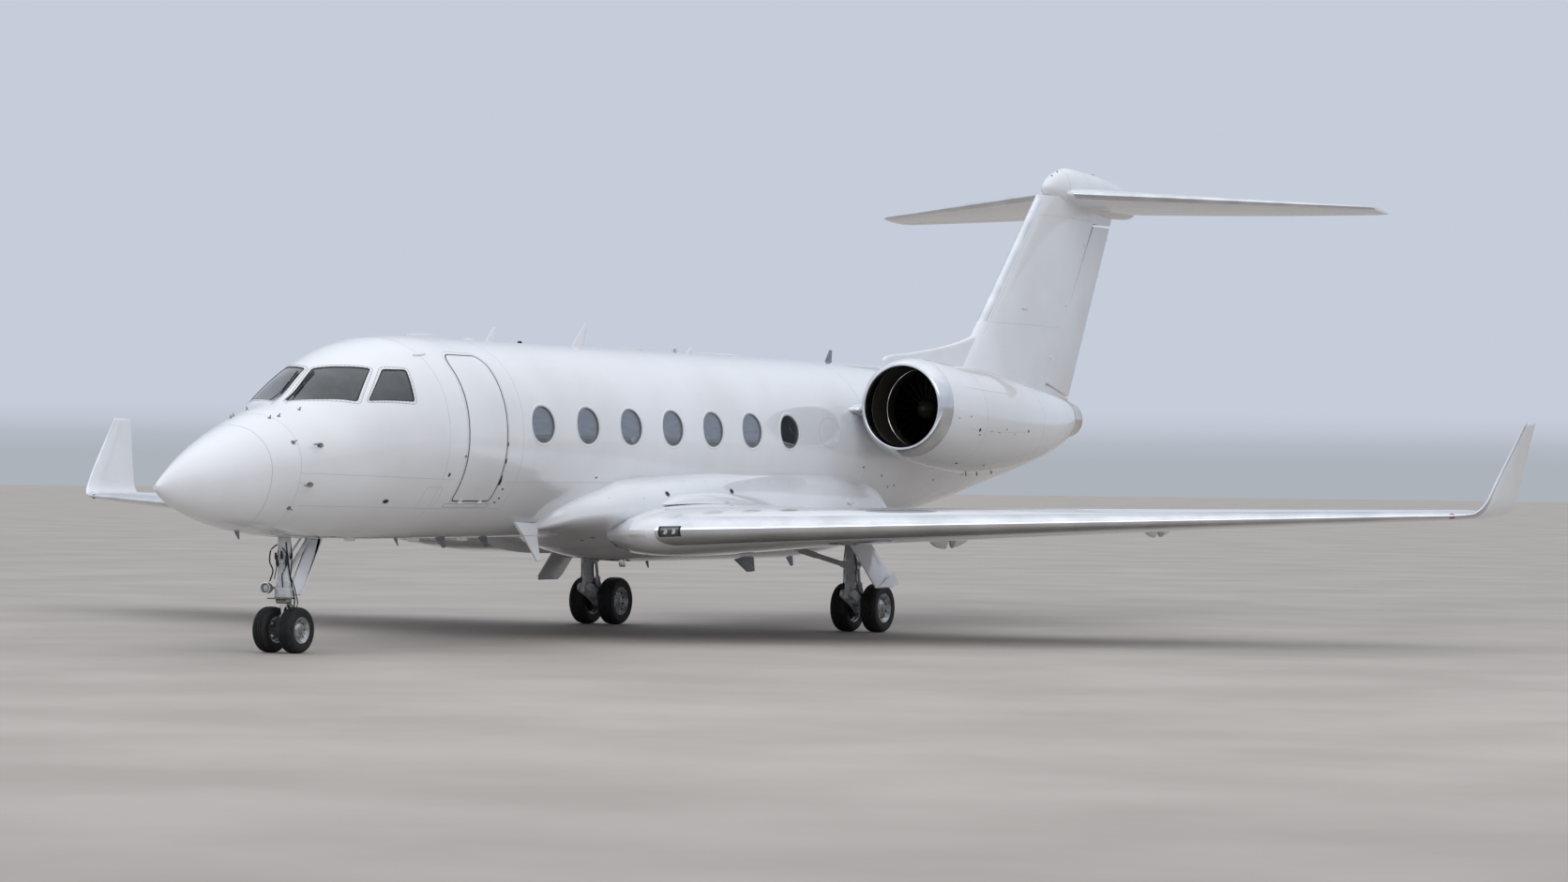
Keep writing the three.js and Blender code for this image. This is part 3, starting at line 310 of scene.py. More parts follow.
def dressNormals(piece, normalAt, limit=0.85, smooth=40):
    # each face corner takes the curved surface's own normal where its face follows that surface
    mesh = piece.data
    mesh.shade_smooth()
    mesh.set_sharp_from_angle(angle=math.radians(smooth))
    corner = np.empty(len(mesh.loops), np.int32)
    mesh.loops.foreach_get("vertex_index", corner)
    points = np.empty(len(mesh.vertices) * 3, np.float32)
    mesh.vertices.foreach_get("co", points)
    flat = np.empty(len(mesh.polygons) * 3, np.float32)
    mesh.polygons.foreach_get("normal", flat)
    totals = np.empty(len(mesh.polygons), np.int32)
    mesh.polygons.foreach_get("loop_total", totals)
    own = np.empty(len(mesh.loops) * 3, np.float32)
    mesh.corner_normals.foreach_get("vector", own)
    true = normalAt(points.reshape(-1, 3).astype(float))[corner]
    agree = (true * np.repeat(flat.reshape(-1, 3), totals, 0)).sum(1)[:, None]
    normals = np.where(agree > limit, true, np.where(agree < -limit, -true, own.reshape(-1, 3)))
    mesh.normals_split_custom_set(normals.tolist())
    return piece


# Materials

def linear(hexColour):
    # sRGB hex to the linear values that a shader takes
    parts = [int(hexColour[i:i + 2], 16) / 255 for i in (1, 3, 5)]
    return [c / 12.92 if c <= 0.04045 else ((c + 0.055) / 1.055) ** 2.4 for c in parts] + [1.0]


def addNode(material, kind, settings=None, links=None):
    # adds one node; a setting is a property or an input's value, a link joins an input to an output
    node = material.node_tree.nodes.new(kind)
    for key, value in (settings or {}).items():
        if isinstance(key, str) and hasattr(node, key):
            setattr(node, key, value)
        else:
            node.inputs[key].default_value = value
    for key, output in (links or {}).items():
        material.node_tree.links.new(output, node.inputs[key])
    return node


def newMaterial(name, values):
    # a Principled material with its values set on the shader; a hex string is a colour
    material = bpy.data.materials.new(name)
    material.use_nodes = True
    shader = material.node_tree.nodes["Principled BSDF"]
    for key, value in values.items():
        shader.inputs[key].default_value = linear(value) if isinstance(value, str) else value
    return material, shader


def patterned(material, kind, width, settings, stretch=(1, 1, 1)):
    # a texture node on the object's own coordinates, its pattern as wide as width in metres
    place = addNode(material, "ShaderNodeTexCoord")
    scale = addNode(material, "ShaderNodeMapping", {"Scale": stretch}, {"Vector": place.outputs["Object"]})
    return addNode(material, kind, {"Scale": 1 / width, **settings}, {"Vector": scale.outputs[0]})


def roughen(material, shader, grain, depth, stretch=(1, 1, 1), strength=1.0):
    # fine relief: noise as wide as the grain, in metres, raised by the depth
    noise = patterned(material, "ShaderNodeTexNoise", grain, {"Detail": 3.0}, stretch)
    bump = addNode(material, "ShaderNodeBump", {"Strength": strength, "Distance": depth},
                   {"Height": noise.outputs["Fac"]})
    material.node_tree.links.new(bump.outputs[0], shader.inputs["Normal"])


def shaded(material, shader, dark, light, size, stretch=(1, 1, 1), socket="Base Color"):
    # a soft wander between two colours or two roughnesses, in patches as wide as size
    noise = patterned(material, "ShaderNodeTexNoise", size, {"Detail": 4.0}, stretch)
    ramp = addNode(material, "ShaderNodeValToRGB", None, {"Fac": noise.outputs["Fac"]})
    for stop, at, shade in zip(ramp.color_ramp.elements, (0.35, 0.65), (dark, light)):
        stop.position = at
        stop.color = linear(shade) if isinstance(shade, str) else [shade] * 3 + [1]
    material.node_tree.links.new(ramp.outputs["Color"], shader.inputs[socket])


def newFinish(name, values, tint=None, gloss=None, relief=None, tintAlong=(1, 1, 1), reliefAlong=(1, 1, 1)):
    # tint and gloss are (dark, light, patch width) of the colour and of the roughness;
    # relief is (grain, depth, strength)
    material, shader = newMaterial(name, values)
    if tint:
        shaded(material, shader, *tint, tintAlong)
    if gloss:
        shaded(material, shader, *gloss, socket="Roughness")
    if relief:
        roughen(material, shader, relief[0], relief[1], reliefAlong, *relief[2:])
    return material


def clearGlass(name, roughness, ior, through, coat=0.0, **rest):
    # the shader values of a glass or a clear plastic
    values = {"Roughness": roughness, "IOR": ior, "Transmission Weight": through}
    return newFinish(name, {**values, **({"Coat Weight": coat, "Coat Roughness": 0.01} if coat else {}),
                            **rest.pop("values", {})}, **rest)


# White polyurethane topcoat, sprayed over primer and polished: bright, mirror-like, with a faint orange peel
paint = newFinish("white polyurethane topcoat",
                  {"Roughness": 0.2, "IOR": 1.5, "Coat Weight": 1.0, "Coat Roughness": 0.02},
                  tint=("#e2e3e4", "#eceef1", 1.7), relief=(0.03, 0.00005))
# Bare aluminium alloy skin, buffed along the span: a bright mirror with long faint buffing marks
bareMetal = newFinish("polished aluminium skin", {"Metallic": 1.0}, ("#cfd2d6", "#e4e6e9", 0.5), (0.1, 0.2, 0.25),
                      (0.05, 0.00012), reliefAlong=(1, 1, 6))
# Polysulphide sealant in the panel joints, smoothed with a spatula: matt mid grey
sealant = newFinish("grey joint sealant", {"Base Color": "#9b9da0", "Roughness": 0.7}, relief=(0.004, 0.0002))
# Panel joints filled and painted over: a faint, pale grey line
seamFiller = newFinish("painted joint filler", {"Base Color": "#b4b8be", "Roughness": 0.5}, relief=(0.004, 0.0001))
# Moulded black silicone gasket: near black, softly sheened
gasket = newFinish("black silicone gasket", {"Base Color": "#0b0c0d", "Roughness": 0.5}, relief=(0.003, 0.0001))
# Extruded grey silicone seal round the door: mid grey, matt
gasketGrey = newFinish("grey silicone seal", {"Base Color": "#54575b", "Roughness": 0.6}, relief=(0.004, 0.0001))
# Stretched acrylic panes of the cabin windows: clear, faintly blue, with a mirror-like face
acrylic = clearGlass("stretched acrylic pane", 0.02, 1.49, 0.95, 1.0, values={"Base Color": "#c9d2dc"})
# Laminated, heated glass of the cockpit: blue-grey, glossy, with the faint veil of its heating film
screenGlass = clearGlass("laminated heated glass", 0.02, 1.52, 0.86, 0.5, tint=("#6b6f6f", "#7b8b92", 0.22))
# Grey primer inside bays, vents and slots, matt and dark: its colour is darkened to a painted shade for the shadow in
# them
shadedPrimer = newFinish("grey bay primer", {"Roughness": 0.8}, ("#1d1e1f", "#2a2b2c", 0.05), relief=(0.01, 0.0004))
print("materials ready")


# Fuselage
# Sections: station, half width, height of the widest line, top, bottom, fullness of the upper half
hullTable = np.array([
    [0.0, 0.0, 2.003, 2.003, 2.003, 1.0],
    [0.06, 0.046, 2.003, 2.074, 1.93, 1.0],
    [0.25, 0.134, 2.015, 2.2, 1.822, 1.0],
    [0.6, 0.3, 2.065, 2.392, 1.692, 1.0],
    [1.1, 0.495, 2.15, 2.618, 1.564, 1.0],
    [1.5, 0.635, 2.23, 2.768, 1.496, 1.0],
    [2.0, 0.768, 2.325, 2.935, 1.442, 1.0],
    [2.51, 0.905, 2.4, 3.085, 1.408, 1.0],
    [3.09, 1.06, 2.495, 3.48, 1.388, 1.0],
    [3.45, 1.132, 2.55, 3.66, 1.388, 0.99],
    [3.9, 1.205, 2.6, 3.82, 1.378, 0.96],
    [4.35, 1.252, 2.635, 3.905, 1.371, 0.93],
    [5.0, 1.285, 2.655, 3.94, 1.37, 0.9],
    [15.6, 1.285, 2.655, 3.94, 1.37, 0.9],
    [17.5, 1.262, 2.67, 3.938, 1.48, 0.95],
    [19.5, 1.15, 2.79, 3.905, 1.745, 1.0],
    [21.5, 0.93, 2.95, 3.84, 2.085, 1.0],
    [23.5, 0.64, 3.09, 3.72, 2.425, 1.0],
    [24.4, 0.48, 3.15, 3.62, 2.61, 1.0],
    [25.2, 0.32, 3.21, 3.48, 2.855, 1.0],
    [25.65, 0.17, 3.25, 3.4, 3.06, 1.0],
    [25.76, 0.06, 3.24, 3.29, 3.18, 1.0],
])
radomeJoint, noseJoint, cabinJoint, tailJoint = 1.46, 4.35, 15.6, 25.745
skin = 0.03
seamGap = 0.0015
barrel = {"half": 1.285, "middle": 2.655}  # half width and widest line of the straight part
noseWell = {"front": 2.35, "back": 3.35, "halfTurn": 0.22, "leg": 2.604, "legHole": 0.094}


def hullRow(station):
    # half width, widest line, top, bottom and fullness; the root of the station as knots rounds the nose tip
    return smoothThrough(np.sqrt(np.maximum(station, 0)), np.sqrt(hullTable[:, 0]), hullTable[:, 1:])


def reachFrom(row, up):
    # the section's height above or below its widest line
    return np.where(up > 0, row[..., 2] - row[..., 1], row[..., 1] - row[..., 3])


def sectionPoints(row, angle, inset=0.0, lowPower=1.0):
    # x = half width * sin^p, z = widest line + height * cos^p: an ellipse where p is 1, squarer where it is less
    up, out = np.cos(angle), np.sin(angle)
    power = np.where(up > 0, row[..., 4], lowPower)
    height = reachFrom(row, up) - inset
    x = (row[..., 0] - inset) * np.sign(out) * np.abs(out) ** power
    return x, row[..., 1] + height * np.sign(up) * np.abs(up) ** power


def hullPoints(station, angle, inset=0.0):
    # the skin at a station and an angle from the top over port, an inset below it
    station, angle = np.broadcast_arrays(np.asarray(station, float), np.asarray(angle, float))
    x, z = sectionPoints(hullRow(station), angle, inset)
    return np.stack([x, station + toRow, z], -1)


def hullLevel(points, inset=0.0):
    # 0 on the skin, more than 0 outside: |x / half width|^(2/p) + |z from the widest line / height|^(2/p) - 1
    row = hullRow(points[..., 1] - toRow)
    rise = points[..., 2] - row[..., 1]
    height = reachFrom(row, rise) - inset
    power = 2 / np.where(rise > 0, row[..., 4], 1.0)
    width = np.maximum(row[..., 0] - inset, 1e-4)
    return np.abs(points[..., 0] / width) ** power + np.abs(rise / np.maximum(height, 1e-4)) ** power - 1


def gradient(level, points, step=2e-4):
    # the direction in which a level rises fastest
    ways = np.eye(3) * step
    return unit(np.stack([level(points + w) - level(points - w) for w in ways], -1))


def hullNormal(points):
    return gradient(hullLevel, points)


def ontoHull(points, direction, reach=0.6):
    # moves points along a direction until they meet the skin, halving the step each time
    low, high = np.full(len(points), -reach), np.full(len(points), reach)
    for _ in range(26):
        middle = (low + high) / 2
        outside = hullLevel(points + direction * middle[:, None]) > 0
        low, high = np.where(outside, low, middle), np.where(outside, middle, high)
    return points + direction * middle[:, None]


def onSide(station, z, side=1):
    # the point of the skin at a station and a height
    station, z = np.broadcast_arrays(np.asarray(station, float), np.asarray(z, float))
    row = hullRow(station)
    rise = z - row[..., 1]
    height = reachFrom(row, rise)
    power = 2 / np.where(rise > 0, row[..., 4], 1.0)
    share = np.clip(1 - np.abs(rise / height) ** power, 0, 1)
    return np.stack([side * row[..., 0] * share ** (1 / power), station + toRow, z], -1)


def hullStations(start, end, spacing=0.09):
    # stations from start to end, closer together at the nose
    count = max(int((end - start) / spacing), 8)
    return start + (end - start) * np.linspace(0, 1, count + 1) ** (1.7 if start < 0.1 else 1)


def hullShell(start, end, outer=0.0, inner=skin, sides=144, spacing=0.09):
    # a skin between two insets, open inside, from one station to another
    station = hullStations(start, end, spacing)[:, None]
    angle = fullTurn(sides)
    outside, inside = hullPoints(station, angle, outer), hullPoints(station, angle, inner)
    return ringed(np.concatenate([outside, inside[::-1]]))


def hullSolid(start, end, inset=0.0, sides=144, spacing=0.15):
    # the hull as one solid block
    angle = fullTurn(sides)
    return loft(hullPoints(hullStations(start, end, spacing)[:, None], angle, inset))


def oval(centre, height, width, tall, steps=56, power=0.96):
    # an outline between an ellipse and a rectangle: cos^p and sin^p
    turn = fullTurn(steps)
    c, s = np.cos(turn), np.sin(turn)
    y = centre + width / 2 * np.sign(c) * np.abs(c) ** power
    return np.stack([y, height + tall / 2 * np.sign(s) * np.abs(s) ** power], -1)


windows = {"count": 7, "first": 6.507, "pitch": 1.113, "z": 2.842, "width": 0.555, "height": 0.484}
windowCentres = windows["first"] + windows["pitch"] * np.arange(windows["count"])
doorway = {"front": 4.745, "back": 5.64, "top": 3.7, "bottom": 1.85, "corner": 0.17, "foot": 0.06, "gap": 0.008}
paneCorners = {
    "windshield": [[0.085, 2.465, 3.06], [0.055, 3.08, 3.475], [0.64, 3.475, 3.48], [0.8, 2.965, 3.07]],
    "side_window": [[0.868, 3.105, 3.08], [0.735, 3.6, 3.48], [0.87, 3.915, 3.48], [1.075, 3.79, 3.068]],
}
paneSag = {"windshield": [0, 0.034, 0, 0.03], "side_window": [0, 0.006, 0, 0.0]}


def windowOutline(centre, inset=0.0):
    # a cabin window's oval round its centre, smaller by the inset
    return oval(centre, windows["z"], windows["width"] - 2 * inset, windows["height"] - 2 * inset)


def doorOutline(inset=0.0):
    # the doorway seen from the side, its upper corners rounder than its lower ones
    front, back = doorway["front"] + inset, doorway["back"] - inset
    low, high = doorway["bottom"] + inset, doorway["top"] - inset
    quarter = np.linspace(0, np.pi / 2, 9)
    arcs = []
    for y, z, r, start in ((back, high, doorway["corner"], 0), (front, high, doorway["corner"], 1),
                           (front, low, doorway["foot"], 2), (back, low, doorway["foot"], 3)):
        r -= inset
        turn = quarter + start * np.pi / 2
        middle = np.array([y - r if y == back else y + r, z - r if z == high else z + r])
        arcs.append(middle + r * np.stack([np.cos(turn), np.sin(turn)], -1))
    return np.vstack(arcs)


def paneOutline(name, inset=0.0, radius=0.045):
    # the rounded outline of a cockpit pane and the way it faces
    corners = np.array(paneCorners[name]) + [0, toRow, 0]
    facing = unit(np.cross(corners[2] - corners[0], corners[3] - corners[1]))
    facing = facing * np.sign(facing[2])
    middle = corners.mean(0)
    shrunk = corners + inset * 1.4 * unit(middle - corners)
    between = (shrunk + np.roll(shrunk, -1, 0)) / 2
    between[:, 2] -= paneSag[name]  # drawn down half-way, so that the edges look straight from outside
    return rounded(np.stack([shrunk, between], 1).reshape(-1, 3), radius, 8), facing


def paneBlock(name, inset=0.0):
    # a cockpit pane's outline carried through the skin along the way it faces
    outline, facing = paneOutline(name, inset)
    return block(outline, facing, -0.35, 0.35)


def bothSides(shape):
    return joined([shape, mirrored(shape)])


def dressHull(piece, smooth=40):
    return dressNormals(piece, hullNormal, smooth=smooth)


addPiece("radome_shell", hullShell(0.0, radomeJoint - seamGap), paint, replaced=["radome"])
noseShell = makeObject("nose_shell", hullShell(radomeJoint + seamGap, noseJoint - seamGap, spacing=0.05), [paint])
for paneName in paneCorners:
    cutMesh(noseShell, bothSides(paneBlock(paneName)))
legHole = [[0, noseWell["legHole"]], [0.4, noseWell["legHole"]]]
cutMesh(noseShell, turned([0, noseWell["leg"] + toRow, 1.2], [0, 0, 1], legHole, 40))
settle(dressHull(noseShell), replaced=["nose_section"])

cabinShell = makeObject("cabin_shell", hullShell(noseJoint + seamGap, cabinJoint - seamGap), [paint])
cutMesh(cabinShell, joined([sidePlate(windowOutline(c), -2, 2) for c in windowCentres]))
cutMesh(cabinShell, sidePlate(doorOutline(), 0.3, 2))
settle(dressHull(cabinShell), replaced=["cabin_section"])
addPiece("tail_shell", hullShell(cabinJoint + seamGap, tailJoint), paint, replaced=["tail_section"])
addPiece("tail_end", hullSolid(25.6, hullTable[-1, 0], 0.0, 48, 0.02), paint)
print("fuselage skins made")


# Windows: panes let into the skin, their frames and seals
windowLayer = {"outer": 0.012, "inner": 0.026}  # how far the cabin panes lie below the skin
screenLayer = {"outer": 0.008, "inner": 0.024}

def ribbonOn(path, width, rise, material, name, closed=True, rides="airframe"):
    # a low bead along a path on the skin
    half = width / 2
    profile = [[-half, -rise], [-half * 0.6, rise], [half * 0.6, rise], [half, -rise]]
    return addPiece(name, carried(path, hullNormal(path), profile, closed), material, rides)


def sideRing(outline, side, lift=0.0, count=64):
    # an outline of stations and heights laid on the skin
    outline = evenly(outline, count)
    path = onSide(outline[:, 0], outline[:, 1], side)
    return path + hullNormal(path) * lift


paneLayer = hullShell(2.2, noseJoint, *screenLayer.values(), spacing=0.05)
for paneName, finishNode in (("windshield", "windshield_{}"), ("side_window", "side_window_{}")):
    for side, turn in sideTurns.items():
        shape = paneBlock(paneName, 0.001)
        pane = makeObject(f"{paneName}_{side}_pane", paneLayer, [screenGlass])
        cutMesh(pane, shape if turn == 1 else mirrored(shape), "INTERSECT")
        settle(dressHull(pane), "airframe", [finishNode.format(side)])
        outer, facing = paneOutline(paneName, -0.003)
        inner = paneOutline(paneName, 0.013, 0.04)[0]
        outer, inner = (ontoHull(evenly(ring, 240), facing) * [turn, 1, 1] for ring in (outer, inner))
        outerUp, innerUp = hullNormal(outer), hullNormal(inner)
        lip = [outer - outerUp * 0.016, outer + outerUp * 0.0015, (outer + inner) / 2 + outerUp * 0.002,
               inner - innerUp * 0.005, inner - innerUp * 0.016]
        addPiece(f"{paneName}_{side}_seal", ringed(lip), gasket)
        frameEdge = ontoHull(evenly(paneOutline(paneName, -0.036, 0.075)[0], 240), facing) * [turn, 1, 1]
        ribbonOn(frameEdge, 0.009, 0.0015, sealant, f"{paneName}_{side}_frame_seam")

paneBand = hullShell(windowCentres[0] - 0.4, windowCentres[-1] + 0.4, *windowLayer.values(), spacing=0.1)
windowPrisms = joined([sidePlate(windowOutline(c, 0.001), 0.2, 2) for c in windowCentres])
for side, turn in sideTurns.items():
    panes = makeObject(f"cabin_panes_{side}", paneBand, [acrylic])
    cutMesh(panes, windowPrisms if turn == 1 else mirrored(windowPrisms), "INTERSECT")
    settle(dressHull(panes), "airframe", [f"window_panel_{side}"])
    rims, beads = [], []
    for centre in windowCentres:
        path = sideRing(windowOutline(centre, 0.004), turn)
        rims.append(carried(path[::turn], hullNormal(path)[::turn], [[-0.006, -0.013], [-0.006, 0.0008],
                                                                     [0.005, 0.0008], [0.007, -0.013]]))
        path = sideRing(windowOutline(centre, -0.018), turn)
        beads.append(carried(path[::turn], hullNormal(path)[::turn], [[-0.017, -0.002], [-0.013, 0.0035],
                                                                      [0.009, 0.005], [0.015, -0.002]]))
    addPiece(f"window_frames_{side}", joined(rims), sealant)
    addPiece(f"window_rims_{side}", joined(beads), paint, smooth=60)
print("windows made")


# Entry door with its stairs, hinged on the outside along its foot
door = {"thick": 0.05, "steps": [2.12, 2.38, 2.64, 2.9, 3.16], "stepDeep": 0.21, "stepThick": 0.04,
        "hingeHeight": 1.838, "hingeProud": 0.01, "knuckle": 0.008, "knuckles": [4.96, 5.42]}
doorSkin = makeObject("door_skin", hullShell(4.65, 5.75, 0.0, door["thick"], 240, 0.05), [paint])
cutMesh(doorSkin, sidePlate(doorOutline(doorway["gap"]), 0.3, 2), "INTERSECT")
topBevel = np.array([[0.56, 3.64], [0.84, 3.69], [0.84, 3.9], [0.56, 3.9]])
cutMesh(doorSkin, block(np.insert(topBevel, 1, 4.6 + toRow, 1), [0, 1, 0], 0, 1.2))
settle(dressHull(doorSkin), "entry_door", ["entry_door"])
edge = sideRing(doorOutline(-0.001), 1, -0.014, 240)
gasketProfile = [[-0.01, -0.02], [-0.01, 0.0], [-0.0035, 0.004], [0.001, 0.0], [0.001, -0.02]]
addPiece("door_gasket", carried(edge, hullNormal(edge), gasketProfile), gasket)
doorMiddle = (doorway["front"] + doorway["back"]) / 2
for i, z in enumerate(door["steps"]):
    inner = onSide(doorMiddle, z)[0] - door["thick"]
    y0, y1 = doorway["front"] + 0.12, doorway["back"] - 0.12
    addPiece(f"door_step_{i}", softBlock([inner - door["stepDeep"], y0, z - door["stepThick"] / 2],
                                         [inner + 0.03, y1, z + door["stepThick"] / 2], 0.012), bareMetal,
             "entry_door")
    addPiece(f"door_tread_{i}",
             softBlock([inner - door["stepDeep"] + 0.02, y0 + 0.02, z + door["stepThick"] / 2 - 0.004],
                       [inner, y1 - 0.02, z + door["stepThick"] / 2 + 0.004], 0.004), gasket,
             "entry_door")
hingeDrop = (barrel["middle"] - door["hingeHeight"]) / barrel["half"]
hingeOut = math.sqrt(1 - hingeDrop ** 2)


def hingeAt(out, up, station):
    # a point out of the skin and up along it from the hinge's height
    return [barrel["half"] * hingeOut + out * hingeOut + up * hingeDrop, station + toRow,
            door["hingeHeight"] - out * hingeDrop + up * hingeOut]


proud, knuckle = door["hingeProud"], door["knuckle"]
for i, y in enumerate(door["knuckles"]):
    strap = [hingeAt(0.001, 0, y - 0.035), hingeAt(proud, -0.004, y - 0.035),
             hingeAt(proud - 0.003, 0.055, y - 0.035), hingeAt(0.001, 0.058, y - 0.035)]
    rollers = [turned(hingeAt(proud, 0, y - 0.035), [0, 1, 0], [[0, knuckle], [0.07, knuckle]], 20)]
    addPiece(f"door_hinge_{i}", joined([block(strap, [0, 1, 0], 0, 0.07)] + rollers), paint, "entry_door")
    lugs = []
    for start in (y - 0.062, y + 0.036):
        lugs.append(turned(hingeAt(proud, 0, start), [0, 1, 0], [[0, knuckle], [0.026, knuckle]], 20))
        foot = [hingeAt(-0.012, -knuckle, start), hingeAt(proud, -knuckle, start),
                hingeAt(proud, knuckle, start), hingeAt(-0.012, knuckle, start)]
        lugs.append(block(foot, [0, 1, 0], 0, 0.026))
    addPiece(f"door_lugs_{i}", joined(lugs), paint)
print("entry door made")


# Belly fairing: station, half width, height of the widest line, top, bottom
fairingTable = np.array([
    [7.18, 0.3, 1.5, 1.52, 1.44],
    [7.24, 0.66, 1.51, 1.6, 1.43],
    [7.4, 0.95, 1.58, 1.9, 1.42],
    [7.7, 1.13, 1.66, 2.04, 1.402],
    [8.13, 1.3, 1.71, 2.15, 1.372],
    [8.6, 1.42, 1.74, 2.31, 1.312],
    [9.3, 1.5, 1.74, 2.35, 1.182],
    [10.2, 1.48, 1.72, 2.43, 1.025],
    [11.0, 1.44, 1.69, 2.52, 0.996],
    [12.0, 1.4, 1.67, 2.575, 0.994],
    [14.6, 1.38, 1.66, 2.608, 0.994],
    [16.19, 1.23, 1.64, 2.346, 1.11],
    [16.81, 1.05, 1.6, 2.0, 1.24],
    [17.1, 0.85, 1.57, 1.73, 1.31],
    [17.4, 0.3, 1.54, 1.58, 1.46],
])
fairingPowers = [0.8, 1.0]  # above and below the widest line
bellySeam = {"front": 7.24, "back": 17.2, "width": 0.02, "rise": 0.003}


def fairingPoints(station, angle, inset=0.0):
    # the fairing's skin at a station and an angle from the top: the hull's section formula with its own powers
    station, angle = np.broadcast_arrays(np.asarray(station, float), np.asarray(angle, float))
    row = smoothThrough(station, fairingTable[:, 0], fairingTable[:, 1:])
    row = np.concatenate([row, np.full(row.shape[:-1] + (1,), fairingPowers[0])], -1)
    x, z = sectionPoints(row, angle, inset, fairingPowers[1])
    return np.stack([x, station + toRow, z], -1)


def fairingLevel(points):
    # 0 on the fairing's skin and more than 0 outside, as for the hull
    row = smoothThrough(points[..., 1] - toRow, fairingTable[:, 0], fairingTable[:, 1:])
    rise = points[..., 2] - row[..., 1]
    height = reachFrom(row, rise)
    power = 2 / np.where(rise > 0, fairingPowers[0], fairingPowers[1])
    return np.abs(points[..., 0] / row[..., 0]) ** power + np.abs(rise / height) ** power - 1


fairingStations = np.linspace(fairingTable[0, 0], fairingTable[-1, 0], 180)
fairingShape = loft(fairingPoints(fairingStations[:, None], fullTurn(120)))
fairing = makeObject("belly_skin", fairingShape, [paint])
cutMesh(fairing, hullSolid(6.5, 18.5, 0.002))
dressNormals(fairing, lambda p: gradient(fairingLevel, p))
settle(fairing, replaced=["belly_fairing"])


def fairingSeam(stations, side=1):
    # where the fairing's skin meets the hull: the turn along its section at which the hull's level changes sign
    angle = np.linspace(0.02, np.pi * 0.98, 400)
    grid = fairingPoints(stations[:, None], angle[None])
    outside = hullLevel(grid) > 0
    first = outside.argmax(1)
    held = np.maximum(first, 1)
    rows = np.arange(len(stations))
    before, after = hullLevel(grid[rows, held - 1]), hullLevel(grid[rows, held])
    share = np.clip(before / (before - after + 1e-12), 0, 1)[:, None]
    path = grid[rows, held - 1] * (1 - share) + grid[rows, held] * share
    return path[outside.any(1)] * [side, 1, 1]


for side, turn in sideTurns.items():
    path = fairingSeam(np.linspace(bellySeam["front"], bellySeam["back"], 200), turn)
    ribbonOn(path, bellySeam["width"], bellySeam["rise"], paint, f"belly_seam_{side}", closed=False)
print("belly fairing made")


# Wings, fin and stabiliser: sections along the span
# Columns: x, leading edge, trailing edge, height of the leading edge, thickness ratio, nose-up angle
wingTable = np.array([
    [1.0, 7.65, 14.25, 1.428, 0.118, 1.6],
    [3.3, 8.92, 13.85, 1.512, 0.105, 1.2],
    [11.25, 13.3, 14.74, 1.782, 0.085, 0.0],
])
# Winglet: x, leading edge, trailing edge, height, lean outwards from upright
wingletTable = np.array([
    [11.36, 13.38, 14.75, 1.8, 70],
    [11.44, 13.46, 14.755, 1.86, 45],
    [11.49, 13.56, 14.765, 1.96, 22],
    [11.54, 13.76, 14.795, 2.2, 12],
    [11.7, 14.505, 14.93, 3.01, 12],
])
stabiliserTable = np.array([
    [0.0, 24.85, 27.99, 7.03, 0.1, 3.4],
    [4.48, 27.495, 28.44, 6.862, 0.09, 5.0],
    [4.65, 27.72, 28.46, 6.855, 0.06, 5.0],
])
wing = {"camber": 0.12, "flap": [3.42, 7.5], "aileron": [7.64, 10.7], "hinge": 0.74, "metal": 0.29, "metalTip": 0.2,
        "capLength": 0.16, "metalFrom": 1.965, "wingletRatio": 0.075}
tailplane = {"elevator": [0.62, 4.33], "hinge": 0.7, "metalRoot": 0.11, "metalTip": 0.07, "metalFrom": 0.3}


def foilHeight(s, side, ratio, camber=0.0):
    # half = 5 * ratio * (0.2969 sqrt s - 0.126 s - 0.3516 s^2 + 0.2843 s^3 - 0.1015 s^4),
    # plus the thickness of the trailing edge
    curve = 0.2969 * np.sqrt(s) - 0.126 * s - 0.3516 * s ** 2 + 0.2843 * s ** 3 - 0.1015 * s ** 4
    return side * (5 * ratio * curve + 0.0035 * s) + camber * ratio * np.sin(np.pi * s)


def foilSection(row, s, side, camber, lean=90.0):
    # points of one section or several: row holds x, both edges, height, ratio and nose-up angle in its last axis
    chord = row[..., 2] - row[..., 1]
    out = (foilHeight(s, side, row[..., 4], camber) - np.tan(np.radians(row[..., 5])) * s) * chord
    lean = np.radians(lean)
    return np.stack([row[..., 0] - out * np.cos(lean), row[..., 1] + s * chord + toRow,
                     row[..., 3] + out * np.sin(lean)], -1)


def spanRow(table, x):
    # a wing table's row at x, with x itself in front
    x = np.asarray(x, float)
    return np.concatenate([x[..., None], straightThrough(x, table)], -1)


def surfaceAt(table, x, s, side, camber=0.0):
    # the point at x and a share s of the chord: 1 for the top, -1 for underneath, 0 for the middle
    return foilSection(spanRow(table, x), s, side, camber)


def wingAt(x, s, side):
    # a point of the wing: s runs from the nose to the trailing edge, side is 1 on top and -1 underneath
    return surfaceAt(wingTable, x, s, side, wing["camber"])


def chordSteps(metalShare, metal=9, rest=34):
    # steps along the chord: the first ones end where the bare metal of the leading edge ends
    near = np.linspace(0, 1, metal + 1) ** 2
    far = (1 - np.cos(np.pi * np.linspace(0, 1, rest + 1))) / 2
    share = np.asarray(metalShare)[..., None]
    front = near * share
    back = share + (1 - share) * (0.35 * np.linspace(0, 1, rest + 1) + 0.65 * far)
    return np.concatenate([front, back[..., 1:]], -1)


